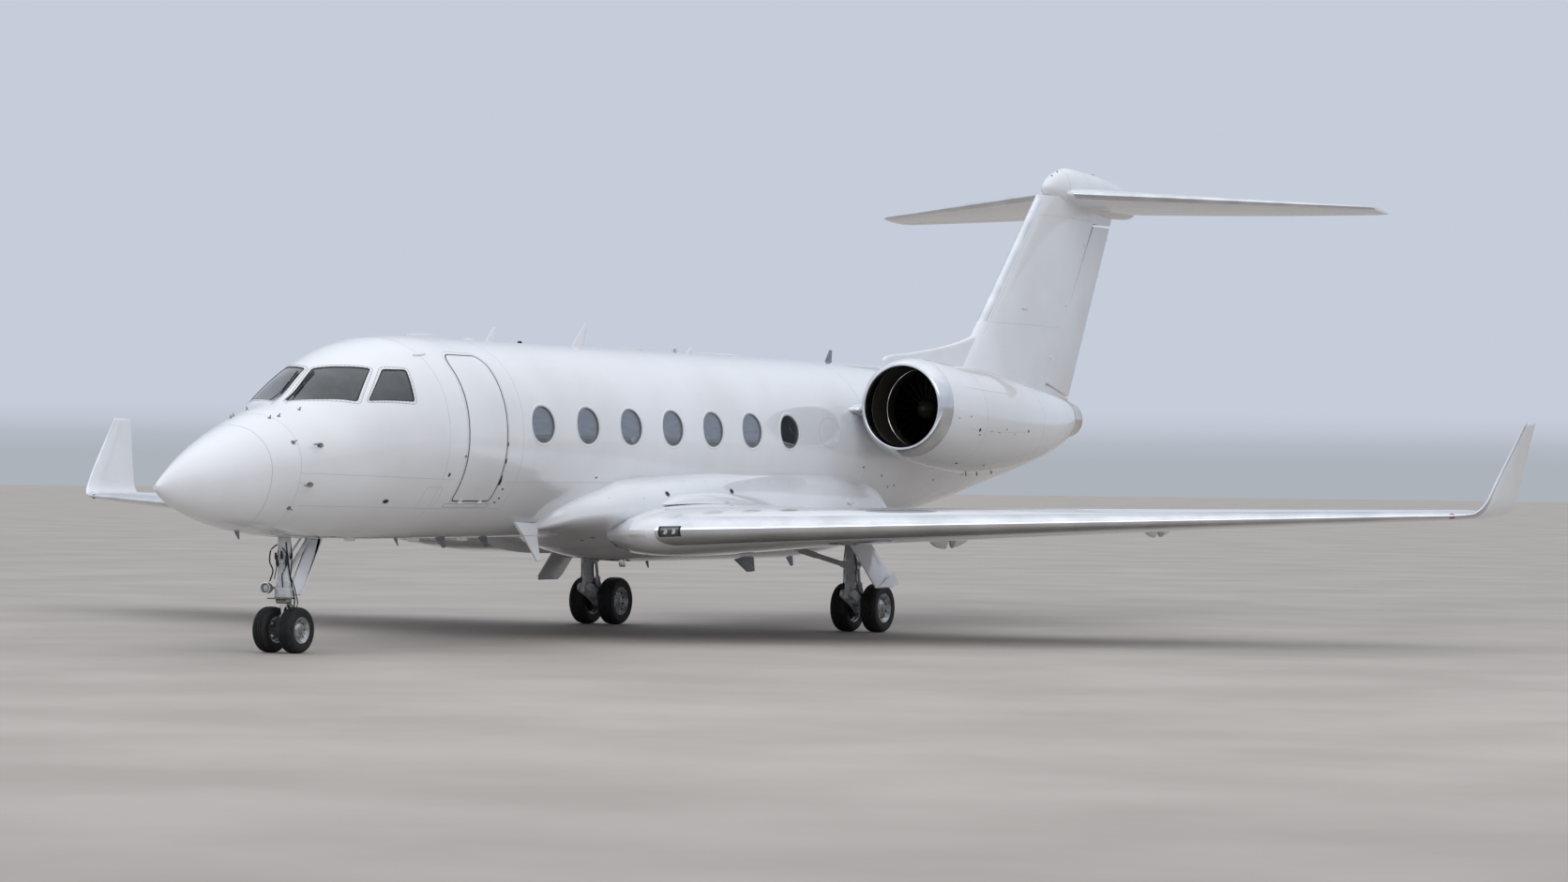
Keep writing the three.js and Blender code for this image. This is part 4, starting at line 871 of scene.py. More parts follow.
def foilRound(metalShare):
    # steps from the nose over the top to the trailing edge and back underneath,
    # their side, and which are bare metal
    steps = chordSteps(metalShare)
    s = np.concatenate([steps, steps[:, :0:-1]], 1)
    side = np.concatenate([np.ones(steps.shape[1]), -np.ones(steps.shape[1] - 1)])[None]
    metal = np.zeros(s.shape[1], bool)
    metal[:9] = metal[-9:] = True
    return s, side, metal


def foilGrid(rows, camber, lean, metalWidth):
    rows = rows[:, None]
    s, side, metal = foilRound(metalWidth / (rows[:, 0, 2] - rows[:, 0, 1]))
    return foilSection(rows, s, side, np.asarray(camber)[:, None], np.asarray(lean)[:, None]), metal


def wingShape():
    # straight from root to tip, then one smooth curve up through the winglet
    cap = wing["metalFrom"] + wing["capLength"] * np.linspace(0, 1, 8) ** 2
    x = np.concatenate([[1.0, 1.3, 1.6, 1.85, 1.95], cap, np.linspace(2.2, 11.0, 70)])
    straight = spanRow(wingTable, x)
    straight[:, 1] += 1.3 * np.clip(1.72 - x, 0, 1)  # inside the fairing the root's nose is drawn back
    tip = np.vstack([spanRow(wingTable, np.array([10.9, 11.0, 11.1])), np.zeros((5, 6))])
    tip[3:, [0, 1, 2, 3]] = wingletTable[:, :4]
    tip[3:, 4] = wing["wingletRatio"]
    lean = np.concatenate([[90, 90, 89], wingletTable[:, 4]])
    along = np.concatenate([[0], np.cumsum(np.hypot(np.diff(tip[:, 0]), np.diff(tip[:, 3])))])
    at = np.concatenate([np.linspace(along[1], along[5], 26)[1:], np.linspace(along[5], along[-1], 30)[1:]])
    curved = smoothThrough(at, along, np.column_stack([tip, lean]))
    end = curved[-1:].copy()
    end[:, 4] *= 0.5
    end[:, [0, 1, 3]] += [0.002, 0.03, 0.012]
    rows = np.vstack([straight, curved[:, :6], end[:, :6]])
    leans = np.concatenate([np.full(len(straight), 90), curved[:, 6], end[:, 6]])
    camber = np.concatenate([np.full(len(straight), wing["camber"]),
                             wing["camber"] * np.clip((leans[len(straight):] - 70) / 20, 0, 1)])
    # the bare metal starts in a rounded end: its width follows an ellipse over the length of the cap
    share = np.clip((rows[:, 0] - wing["metalFrom"]) / wing["capLength"], 0.0, 1)
    roundness = np.sqrt(1 - (1 - share) ** 2) * 0.98 + 0.02
    metalWidth = np.interp(rows[:, 0], [2, 9, 11.3, 11.5],
                           [wing["metal"], wing["metal"], wing["metalTip"], 0.05]) * roundness
    rings, metal = foilGrid(rows, camber, leans, metalWidth)
    shown = (rows[:-1, 0] >= wing["metalFrom"] - 1e-6)[:, None] & metal[None]
    return loft(rings), shown.astype(int).ravel()


def stabiliserShape():
    # one half: foil sections from the middle to the tip, closed on both ends
    x = np.concatenate([[0.0], np.linspace(tailplane["metalFrom"], 4.48, 40), [4.56, 4.62, 4.65]])
    rows = spanRow(stabiliserTable, x)
    metalWidth = np.interp(x, [0, 4.6], [tailplane["metalRoot"], tailplane["metalTip"]])
    rings, metal = foilGrid(rows, np.zeros(len(x)), np.full(len(x), 90.0), metalWidth)
    shown = (rows[:-1, 0] >= tailplane["metalFrom"] - 1e-6)[:, None] & metal[None]
    return loft(rings), shown.astype(int).ravel()


def spanNormal(table, camber, limit):
    # the skin's normal on a surface given by height over (x, station), up on top and down underneath
    def heightOf(x, y, side):
        row = straightThrough(x, table)
        chord = row[..., 1] - row[..., 0]
        s = np.clip((y - toRow - row[..., 0]) / chord, 1e-5, 1)
        return row[..., 2] + (foilHeight(s, side, row[..., 3], camber) - np.tan(np.radians(row[..., 4])) * s) * chord

    def normalAt(points):
        x, y, z = np.abs(points[:, 0]), points[:, 1], points[:, 2]
        side = np.where(z > heightOf(x, y, 0), 1.0, -1.0)
        d = 5e-4
        across = (heightOf(x + d, y, side) - heightOf(x - d, y, side)) / (2 * d) * np.sign(points[:, 0])
        along = (heightOf(x, y + d, side) - heightOf(x, y - d, side)) / (2 * d)
        normal = unit(np.stack([-across, -along, np.ones_like(x)], -1)) * side[:, None]
        return np.where((x < limit)[:, None], normal, 0)
    return normalAt


def cell(a, b, before, after, front, rear, low, high):
    # a block behind a hinge line, its ends square to the line
    a, b = np.asarray(a, float), np.asarray(b, float)
    along = unit(b - a)
    back = unit(np.array([-along[1], along[0], 0.0])) if abs(along[0]) > 0.1 else np.array([0, along[2], -along[1]])
    rise = np.cross(along, back)
    corners = [back * f + rise * h for f, h in ((front, low), (rear, low), (rear, high), (front, high))]
    return loft([[a - along * before + c for c in corners], [b + along * after + c for c in corners]])


def bar(a, b, r0, r1=None, sides=32):
    # a round bar from a to b that may taper from r0 to r1
    return tube([a, b], [r0, r0 if r1 is None else r1], sides)


def cutSurface(name, whole, marks, normalAt, ends, half, reach, upperLip, lowerLip, gap=0.008, tight=0.002):
    # takes one control surface out of a wing piece: gives the surface's two pieces and the room cut into the wing
    a, b = (np.asarray(e, float) for e in ends)
    surface = makeObject(f"{name}_skin", whole, [paint, bareMetal], marks)
    cutMesh(surface, cell(a, b, 0, 0, 0, reach, -0.5, 0.5), "INTERSECT")
    dressNormals(surface, normalAt)
    nose = makeObject(f"{name}_nose", bar(a, b, half[0] - tight, half[1] - tight), [paint])
    middle = max(half) * 0.15
    room = [cell(a, b, gap, gap, -upperLip, reach, -middle, 0.5),
            cell(a, b, gap, gap, -lowerLip, reach, -0.5, middle),
            bar(a - unit(b - a) * gap, b + unit(b - a) * gap, half[0] + 0.004 - tight, half[1] + 0.004 - tight)]
    return surface, nose, room


def halfThickness(table, x, s, camber):
    # half the distance between top and underside
    return float(surfaceAt(table, x, s, 1, camber)[2] - surfaceAt(table, x, s, -1, camber)[2]) / 2


def mirrorPiece(piece, name, rides, replaced=()):
    # the starboard copy of a port piece
    mesh = piece.data.copy()
    mesh.name = name
    mesh.transform(Matrix.Diagonal((-1, 1, 1, 1)))
    mesh.flip_normals()
    copy = bpy.data.objects.new(name, mesh)
    bpy.context.scene.collection.objects.link(copy)
    return settle(copy, rides, replaced)


def settlePair(piece, rides="airframe", replaced=(), normalAt=None):
    # settles a port piece and makes its starboard one; names hold "port"
    other = mirrorPiece(piece, piece.name.replace("port", "starboard"), rides.replace("port", "starboard"),
                        [r.replace("port", "starboard") for r in replaced])
    settle(piece, rides, replaced)
    if normalAt:
        dressNormals(piece, normalAt)
        dressNormals(other, normalAt)


def addTwins(name, shape, material, rides="airframe", replaced=()):
    # a port piece and its mirrored copy; the names hold "port"
    settlePair(makeObject(name, shape, [material]), rides, replaced)


def podShape(x, length, depth):
    # a teardrop under the wing: half width and depth along its length
    y = wingAt(x, 0.6, -1)
    t = np.linspace(0, 1, 24)[:, None]
    half = 0.05 * np.sin(np.pi * np.clip(t * 1.1 + 0.02, 0, 1)) ** 0.5 + 0.004
    drop = depth * np.sin(np.pi * t ** 0.8) ** 0.7 + 0.004
    turn = fullTurn(28)
    station = y[1] - toRow + t * length
    under = surfaceAt(wingTable, np.full_like(station, x), np.clip((station - spanRow(wingTable, x)[1])
                      / (spanRow(wingTable, x)[2] - spanRow(wingTable, x)[1]), 0, 1), -1, wing["camber"])[..., 2]
    z = under + 0.01 - drop * np.clip(-np.cos(turn), 0, 1) + 0.012 * np.clip(np.cos(turn), 0, 1)
    return loft(np.stack([x + half * np.sin(turn), station + toRow + 0 * turn, z], -1))


def bodyLevel(points):
    # 0 where hull and fairing show, less inside either of them
    return np.minimum(fairingLevel(points), hullLevel(points))


def halved(low, high, outside):
    # halves the span between low and high until they meet where outside() changes
    for _ in range(24):
        middle = (low + high) / 2
        out = outside(middle)
        low, high = np.where(out, low, middle), np.where(out, middle, high)
    return (low + high) / 2


def rootFillet(start, end, reach, side, count=70, steps=12):
    # a concave strip between the wing's skin and the fairing: a curve that leaves both along their surfaces
    y = np.linspace(start, end, count)

    def wingPoint(x):
        row = spanRow(wingTable, x)
        s = np.clip((y - row[:, 1]) / (row[:, 2] - row[:, 1]), 0, 1)
        return foilSection(row, s, side, wing["camber"])
    x0 = halved(np.full(count, 0.5), np.full(count, 2.6), lambda x: bodyLevel(wingPoint(x)) > 0)
    size = reach * np.sin(np.pi * np.linspace(0, 1, count)) ** 0.6 + 0.004
    corner, far = wingPoint(x0), wingPoint(x0 + size)

    def bodyPoint(x):
        return np.stack([x, y + toRow, corner[:, 2] + side * size * 0.8], -1)
    near = bodyPoint(halved(np.full(count, 0.3), x0 + 0.3, lambda x: bodyLevel(bodyPoint(x)) > 0))
    t = np.linspace(0, 1, steps)[None, :, None]
    curve = (1 - t) ** 2 * far[:, None] + 2 * t * (1 - t) * corner[:, None] + t ** 2 * near[:, None]
    inside = (corner + [-0.06, 0, -0.06 * side])[:, None]
    return loft(np.concatenate([curve, inside], 1))


fillet = {"front": 9.2, "back": 13.9, "reach": 0.42}
addPair("root_fillet", rootFillet(*fillet.values(), 1), paint, smooth=60)
wingNormal = spanNormal(wingTable, wing["camber"], 10.95)
wholeWing, wingMetal = wingShape()
wingSkin = makeObject("wing_skin_port", wholeWing, [paint, bareMetal], [wingMetal, 0, 0])
# Hinge pods: x, length and depth of each; the rear parts start behind the hinge and the fixed ones end ahead of it
podRows = [(4.05, 1.383, 0.15), (6.9, 0.999, 0.12)]
podEnds = {"rear": 0.06, "fixed": -0.165}
pods = [podShape(*row) for row in podRows]
podSkin = makeObject("hinge_pods_port", joined(pods), [paint])
for name, upperLip, lowerShare, tight in (("flap", 0.006, 0.66, 0.008), ("aileron", 0.03, 0.4, 0.002)):
    span = wing[name]
    ends = [wingAt(x, wing["hinge"], 0) for x in span]
    half = [halfThickness(wingTable, x, wing["hinge"], wing["camber"]) for x in span]
    surface, nose, room = cutSurface(f"{name}_port", wholeWing, [wingMetal, 0, 0], wingNormal, ends, half, 2.6,
                                     upperLip, max(half) * lowerShare + 0.01, tight=tight)
    for shape in room:
        cutMesh(wingSkin, shape)
    settlePair(surface, f"{name}_port", [f"{name}_port"], wingNormal)
    settlePair(nose, f"{name}_port")
    if name == "flap":
        rear = makeObject("hinge_pods_rear_port", joined(pods), [paint])
        cutMesh(rear, cell(*ends, 0, 0, podEnds["rear"], 2.6, -0.6, 0.3), "INTERSECT")
        settlePair(rear, "flap_port")
        cutMesh(podSkin, cell(*ends, 0.1, 0.1, podEnds["fixed"], 2.6, -0.6, 0.3))
settlePair(podSkin)

spoiler = {"span": [3.8, 7.3], "front": 0.6, "back": 0.7, "depth": 0.026, "gap": 0.013}


def spoilerCell(grow):
    # the room of a spoiler under the wing's top skin, wider by grow on every side
    faces = []
    for x, turn in zip(spoiler["span"], (-1, 1)):
        front = wingAt(x, spoiler["front"], 1) + [turn * grow, -grow, 0]
        back = wingAt(x, spoiler["back"], 1) + [turn * grow, grow, 0]
        low = np.array([0, 0, spoiler["depth"] + grow])
        faces.append([front - low, back - low, back + [0, 0, 0.2], front + [0, 0, 0.2]])
    return loft(faces)


panel = makeObject("spoiler_port_skin", wholeWing, [paint, bareMetal], [wingMetal, 0, 0])
cutMesh(panel, spoilerCell(0), "INTERSECT")
cutMesh(wingSkin, spoilerCell(spoiler["gap"]))
settlePair(panel, "spoiler_port", ["spoiler_port"], wingNormal)
settlePair(wingSkin, replaced=["wing_port"], normalAt=wingNormal)
print("wings made")


# Fin with its dorsal ridge, rudder, bullet and stabiliser
finData = {"root": 3.25, "tip": 6.96, "lead": [21.775, 4.52, 1.004], "trail": [25.5, 3.6, 0.561], "metal": 0.12,
           "metalFrom": 4.75, "metalTo": 6.85, "hingeLean": 0.7266}
rudderLine = np.array([[0, 24.35, 3.815], [0, 26.33, 6.54]])
rudderOutline = [[24.35, 3.815], [26.33, 6.54], [27.5, 6.555], [25.9, 3.535]]
bulletTable = np.array([
    [24.45, 0.0, 7.08, 7.08, 7.08],
    [24.56, 0.095, 7.085, 7.195, 6.98],
    [24.9, 0.195, 7.095, 7.375, 6.87],
    [25.35, 0.262, 7.105, 7.478, 6.8],
    [26.3, 0.27, 7.085, 7.44, 6.75],
    [27.2, 0.225, 7.035, 7.35, 6.725],
    [27.85, 0.15, 6.985, 7.215, 6.745],
    [28.15, 0.08, 6.93, 7.06, 6.8],
    [28.29, 0.0, 6.88, 6.88, 6.88],
])
bulletFront, bulletLength = 24.45, 3.84


def finEdge(edge, z):
    # the station of an edge at height z: edge holds a station, its height and the slope
    return edge[0] + (z - edge[1]) * edge[2]


def finRatio(z):
    # thickness to chord, a tenth at the root and less towards the tip
    return 0.1 - 0.01 * (z - finData["root"]) / (finData["tip"] - finData["root"])


def finNormal(points):
    # the skin's normal on a surface given by half thickness over (station, height)
    def halfOf(y, z):
        lead, trail = finEdge(finData["lead"], z), finEdge(finData["trail"], z)
        s = np.clip((y - toRow - lead) / (trail - lead), 1e-5, 1)
        return foilHeight(s, 1, finRatio(z)) * (trail - lead)
    y, z, d = points[:, 1], points[:, 2], 5e-4
    along = (halfOf(y + d, z) - halfOf(y - d, z)) / (2 * d)
    rise = (halfOf(y, z + d) - halfOf(y, z - d)) / (2 * d)
    return unit(np.stack([np.sign(points[:, 0]), -along, -rise], -1))


def finShape():
    # level foil sections from the root to the tip, with the bare metal of the leading edge
    z = np.linspace(finData["root"], finData["tip"], 60)[:, None]
    lead, trail = finEdge(finData["lead"], z), finEdge(finData["trail"], z)
    s, side, metal = foilRound(finData["metal"] / (trail - lead)[:, 0])
    x = foilHeight(s, side, finRatio(z)) * (trail - lead)
    rings = np.stack([x, lead + s * (trail - lead) + toRow, z + 0 * s], -1)
    shown = ((z[:-1] > finData["metalFrom"]) & (z[:-1] < finData["metalTo"])) & metal[None]
    return loft(rings), shown.astype(int).ravel()


wholeFin, finMetal = finShape()
rowLine = rudderLine + [0, toRow, 0]
finHalf = []
for _, y, z in rudderLine:
    chord = finEdge(finData["trail"], z) - finEdge(finData["lead"], z)
    finHalf.append(foilHeight((y - finEdge(finData["lead"], z)) / chord, 1, finRatio(z)) * chord)
rudderSkin = makeObject("rudder_skin", wholeFin, [paint, bareMetal], [finMetal, 0, 0])
cutMesh(rudderSkin, sidePlate(rudderOutline, -0.5, 0.5), "INTERSECT")
settle(dressNormals(rudderSkin, finNormal), "rudder", ["rudder"])
noseRod = makeObject("rudder_nose", bar(*rowLine, finHalf[0] - 0.004, finHalf[1] - 0.004, 40), [paint])
cutMesh(noseRod, sidePlate([[24.0, 3.878], [24.0, 6.51], [27.5, 6.555], [25.9, 3.535]], -0.5, 0.5), "INTERSECT")
settle(noseRod, "rudder")
finSkin = makeObject("fin_skin", wholeFin, [paint, bareMetal], [finMetal, 0, 0])
rudderRoom = [[24.31, 3.78], [26.29, 6.582], [27.6, 6.602], [27.6, 3.3], [25.9, 3.502]]
cutMesh(finSkin, sidePlate(rudderRoom, -0.5, 0.5))
lineWay = unit(rowLine[1] - rowLine[0])
cutMesh(finSkin, bar(rowLine[0] - lineWay * 0.06, rowLine[1] + lineWay * 0.04,
                     finHalf[0] + 0.005, finHalf[1] + 0.005, 40))
settle(dressNormals(finSkin, finNormal), replaced=["fin"])


dorsal = {"front": 18.59, "back": 22.55, "foot": 3.7, "stations": [18.55, 18.65, 19.5, 20.68, 21.9, 22.6],
          "tops": [4.0, 4.08, 4.17, 4.31, 4.56, 4.9]}


def dorsalShape():
    # a ridge that rises from the tail's back into the fin: a rounded top on slightly flared sides
    station = np.linspace(dorsal["front"], dorsal["back"], 60)[:, None]
    top = smoothThrough(station[:, 0], dorsal["stations"], np.array(dorsal["tops"])[:, None])
    t = np.linspace(0, 1, 15)[None]
    half = 0.035 + 0.03 * (station - dorsal["front"]) / 4
    low = dorsal["foot"]
    # up the port side and down the starboard one: the last part of the way closes in a quarter turn
    roundness = np.clip((t - 0.6) / 0.4, 0, 1) * np.pi / 2
    x = half * np.cos(roundness) * (1 + 0.5 * (1 - np.clip(t / 0.6, 0, 1)) ** 2)
    z = np.where(t < 0.6, low + (top - half - low) * t / 0.6, top - half + half * np.sin(roundness))
    port = np.stack([x, station + toRow + 0 * t, z], -1)
    starboard = port[:, ::-1] * [-1, 1, 1]
    return loft(np.concatenate([port, starboard[:, 1:]], 1))


addPiece("dorsal_ridge", dorsalShape(), paint)


def bulletPoints(station, angle):
    # the bullet's skin: ellipses whose sizes follow its table, rounded at the nose as the fuselage is
    row = smoothThrough(np.sqrt(station - bulletFront), np.sqrt(bulletTable[:, 0] - bulletFront), bulletTable[:, 1:])
    row = np.concatenate([row, np.ones(row.shape[:-1] + (1,))], -1)
    station, angle = np.broadcast_arrays(station, angle)
    x, z = sectionPoints(row, angle)
    return np.stack([x, station + toRow, z], -1)


bulletStations = bulletFront + bulletLength * np.linspace(0.02, 0.999, 70)[:, None] ** 1.6
addPiece("bullet", loft(bulletPoints(bulletStations, fullTurn(64))), paint)

stabiliserNormal = spanNormal(stabiliserTable, 0.0, 4.45)
wholeStabiliser, stabiliserMetal = stabiliserShape()
stabiliserSkin = makeObject("stabiliser_skin_port", wholeStabiliser, [paint, bareMetal], [stabiliserMetal, 0, 0])
ends = [surfaceAt(stabiliserTable, x, tailplane["hinge"], 0) for x in tailplane["elevator"]]
half = [halfThickness(stabiliserTable, x, tailplane["hinge"], 0) for x in tailplane["elevator"]]
surface, nose, room = cutSurface("elevator_port", wholeStabiliser, [stabiliserMetal, 0, 0], stabiliserNormal, ends,
                                 half, 1.5, max(half) * 0.3 + 0.006, max(half) * 0.45 + 0.006)
for shape in room:
    cutMesh(stabiliserSkin, shape)
settlePair(surface, "elevator_port", ["elevator_port"], stabiliserNormal)
settlePair(nose, "elevator_port")
settlePair(stabiliserSkin, replaced=[], normalAt=stabiliserNormal)
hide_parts("stabiliser")
print("tail made")


# Engines, each turned about its own axis, with their pylons
# Perforated acoustic liner of the intake, epoxy on aluminium: satin, with rows of fine holes; its warm grey is
# darkened to a painted shade for the dark inside of the intake
liner, linerShader = newMaterial("perforated epoxy duct liner", {"Roughness": 0.42})
shaded(liner, linerShader, "#2a2722", "#38342d", 0.4)
# real holes are 1.5 mm wide, too fine to show: drawn 12 mm apart
linerPlace = addNode(liner, "ShaderNodeTexCoord")
holeCells = addNode(liner, "ShaderNodeTexVoronoi", {"Scale": 1 / 0.012}, {"Vector": linerPlace.outputs["Object"]})
holeBump = addNode(liner, "ShaderNodeBump", {"Strength": 0.25, "Distance": 0.0004},
                   {"Height": holeCells.outputs["Distance"]})
liner.node_tree.links.new(holeBump.outputs[0], linerShader.inputs["Normal"])
# Forged titanium fan blades, blasted to a satin metal: a dark warm grey, darkened to near black as a painted shade
# for the dark inside of the intake
titanium = newFinish("blasted titanium", {"Metallic": 0.9}, ("#0e0e0f", "#18191a", 0.08), (0.32, 0.48, 0.06),
                     (0.01, 0.0001))
# Stainless exhaust nozzle, spun and polished, straw-coloured by heat towards its end
tintedSteel = newFinish("heat-tinted stainless steel", {"Metallic": 1.0}, ("#c6bcae", "#d8d8d8", 0.35),
                        (0.06, 0.14, 0.12), (0.02, 0.0001), reliefAlong=(1, 8, 1))
# Engine casings deep in the nacelle and the brake packs: dark and matt; heat and soot darken the brakes, and deep in
# the nacelle the dark is painted shade
sootAndShade = newFinish("sooted casing metal", {"Metallic": 0.6, "Roughness": 0.6}, ("#26241f", "#38342d", 0.15),
                   relief=(0.02, 0.0003))
engine = {"start": [2.05, 15.15, 3.24], "tilt": 0.95, "lipJoint": 0.26, "sides": 96,
          "blades": 22, "fanAt": 0.94, "fanTip": 0.576}
cowlTable = np.array([[0.26, 0.733, 0.0], [0.6, 0.765, 0.034], [1.1, 0.787, 0.075], [2.0, 0.797, 0.12],
                      [3.0, 0.735, 0.138], [4.0, 0.612, 0.128], [4.8, 0.482, 0.084], [5.43, 0.336, 0.012]])
ductTable = np.array([[0.26, 0.6], [0.94, 0.588], [1.1, 0.59], [1.5, 0.62], [2.3, 0.62], [3.2, 0.535],
                      [4.2, 0.415], [5.43, 0.318]])
engineStart = np.array(engine["start"]) + [0, toRow, 0]
slope = math.radians(engine["tilt"])
engineAxis = np.array([0, math.cos(slope), -math.sin(slope)])
engineUp = np.array([0, math.sin(slope), math.cos(slope)])


def onEngine(shape):
    # from (outboard, along the axis, up) to the row's frame
    points, faces = shape
    return points[:, :1] * [1, 0, 0] + points[:, 1:2] * engineAxis + points[:, 2:] * engineUp + engineStart, faces


def aboutAxis(profile, sides, closed=False):
    # a (distance, radius) profile turned about the engine's axis
    return turned([0, 0, 0], [0, 1, 0], profile, sides, closed)


def engineRings(distance, radius, sag=0.0):
    # rings of (radius * sin, distance, radius * cos - sag) round the engine's axis
    turn = fullTurn(engine["sides"])
    distance, radius, sag = (np.broadcast_to(v, np.shape(distance))[:, None] for v in (distance, radius, sag))
    return np.stack([radius * np.sin(turn), distance + 0 * turn, radius * np.cos(turn) - sag], -1)


def cowlRings(distance, grow=0.0):
    # the cowl's outside: circles whose radius and sag follow its table
    row = smoothThrough(distance, cowlTable[:, 0], cowlTable[:, 1:])
    return engineRings(distance, row[:, 0] + grow, row[:, 1])


def cowlPoint(distance, angle, grow=0.0):
    # a point on the cowl, its angle from the top towards outboard, in degrees
    distance, angle = np.broadcast_arrays(np.asarray(distance, float), np.radians(angle))
    row = smoothThrough(distance, cowlTable[:, 0], cowlTable[:, 1:])
    radius = row[..., 0] + grow
    flat = np.stack([radius * np.sin(angle), distance, radius * np.cos(angle) - row[..., 1]], -1)
    return flat[..., :1] * [1, 0, 0] + flat[..., 1:2] * engineAxis + flat[..., 2:] * engineUp + engineStart


def cowlUp(points):
    # straight out from the engine's axis
    offset = np.asarray(points) - engineStart
    return unit(offset - (offset @ engineAxis)[..., None] * engineAxis)


lipOuter = np.array([[0.0, 0.612], [0.012, 0.64], [0.06, 0.675], [0.16, 0.712], [0.26, 0.733]])
lipInner = np.array([[0.0, 0.612], [0.02, 0.592], [0.09, 0.5765], [0.26, 0.6]])
steps = np.linspace(0, 1, 26)
lipEnd = engine["lipJoint"] - 0.0015
outerAt = lipEnd * steps[::-1] ** 2
innerAt = lipEnd * steps[1:] ** 2
outerR = smoothThrough(np.sqrt(outerAt), np.sqrt(lipOuter[:, 0]), lipOuter[:, 1:])[:, 0]
innerR = smoothThrough(np.sqrt(innerAt), np.sqrt(lipInner[:, 0]), lipInner[:, 1:])[:, 0]
lipRings = engineRings(np.concatenate([outerAt, innerAt]), np.concatenate([outerR, innerR]))
addPair("intake_lip", onEngine(ringed(lipRings)), bareMetal, replaced=["inlet_lip_{side}"])
outerAt = np.concatenate([[0.2615], np.linspace(0.3, 5.4, 70), [5.4285]])
innerAt = np.concatenate([[5.4285], np.linspace(5.3, 1.1, 30), np.linspace(1.0, 0.3, 14), [0.2615]])
innerRing = engineRings(innerAt, smoothThrough(innerAt, ductTable[:, 0], ductTable[:, 1:])[:, 0])
cowlShape = ringed(np.vstack([cowlRings(outerAt), innerRing]))
# inside the duct the liner runs to 1.15 m from the intake's face and the dark metal lies behind it; both colours are
# painted shade
kinds = np.concatenate([np.zeros(len(outerAt)), np.where(innerAt[:-1] > 1.15, 2, 1), [0]]).astype(int)
cowlKinds = np.repeat(kinds, engine["sides"])
for side, form in (("port", cowlShape), ("starboard", mirrored(onEngine(cowlShape)))):
    form = onEngine(form) if side == "port" else form
    cowl = makeObject(f"nacelle_{side}", form, [paint, liner, sootAndShade], [cowlKinds])
    settle(cowl, replaced=[f"engine_cowl_{side}"])
ductRing = {"at": 0.735, "size": 0.004}
at, size = ductRing.values()
radius = float(smoothThrough(np.array([at]), ductTable[:, 0], ductTable[:, 1:])[0, 0])
profile = [[at - 2 * size, radius + 0.001], [at - size, radius - size], [at + size, radius - size],
           [at + 2 * size, radius + 0.001]]
addPair("duct_ring_0", onEngine(aboutAxis(profile, 96, closed=True)), bareMetal)


def bladeShape():
    # one fan blade: lens sections that twist from root to tip, with a slightly swept tip
    t = np.linspace(0, 1, 14)[:, None]
    radius = 0.15 + (engine["fanTip"] - 0.15) * t
    half = 0.066 + 0.03 * t
    angle = np.radians(30 + 30 * t)
    thick = 0.007 - 0.004 * t
    turn = fullTurn(16)
    along = half * np.cos(turn) + 0.012 * t ** 2
    out = thick * np.sin(turn) + 0.012 * np.sin(np.pi * (np.cos(turn) + 1) / 2)
    s, c = np.sin(angle), np.cos(angle)
    return loft(np.stack([along * s + out * c, engine["fanAt"] + along * c - out * s, radius + 0 * turn], -1))


def turnedAbout(shape, count, start=0.0):
    # copies of a shape about the engine's axis
    points, faces = shape
    made = []
    for turn in start + fullTurn(count):
        c, s = math.cos(turn), math.sin(turn)
        made.append((points @ np.array([[c, 0, -s], [0, 1, 0], [s, 0, c]]), faces))
    return joined(made)


# the blades' near-black colour is painted shade
addPair("fan_blades", onEngine(turnedAbout(bladeShape(), engine["blades"])), titanium, "fan_{side}",
        ["fan_{side}"], smooth=60)
spinnerFront, spinnerLength = 0.69, 0.37
spinnerAt = spinnerFront + spinnerLength * steps ** 2
spinnerR = smoothThrough(np.sqrt(spinnerAt - spinnerFront), np.sqrt([0, 0.045, 0.15, spinnerLength]),
                         [[0.0], [0.075], [0.145], [0.175]])[:, 0]
spinner = aboutAxis(np.column_stack([spinnerAt, np.maximum(spinnerR, 0.001)]), 64)
hub = aboutAxis([[1.03, 0.06], [1.2, 0.06]], 32)
# the spinner and hub take the dark metal: painted shade deep in the intake
addPair("fan_spinner", onEngine(joined([spinner, hub])), sootAndShade, "fan_{side}")
vane = loft([[[0.005 * math.sin(a), 1.16 + 0.05 * math.cos(a), r] for a in np.linspace(0, 2 * math.pi, 9)[:-1]]
             for r in (0.32, 0.6)])
casing = aboutAxis([[1.115, 0.05], [1.115, 0.33], [1.14, 0.35], [1.24, 0.36]], 48)
# the guide vanes and their casing take the dark metal: painted shade
addPair("guide_vanes", onEngine(joined([turnedAbout(vane, 36), casing])), sootAndShade)

nozzleOut = np.array([[5.4315, 0.336], [5.45, 0.34], [5.47, 0.333], [5.7, 0.295], [5.81, 0.276], [5.835, 0.275],
                      [5.84, 0.268], [5.838, 0.26], [5.8, 0.262], [5.43, 0.29], [4.98, 0.325], [4.98, 0.34],
                      [5.38, 0.308], [5.4315, 0.308]])
addPair("nozzle", onEngine(aboutAxis(nozzleOut, 96, closed=True)), tintedSteel,
        replaced=["exhaust_nozzle_{side}"])

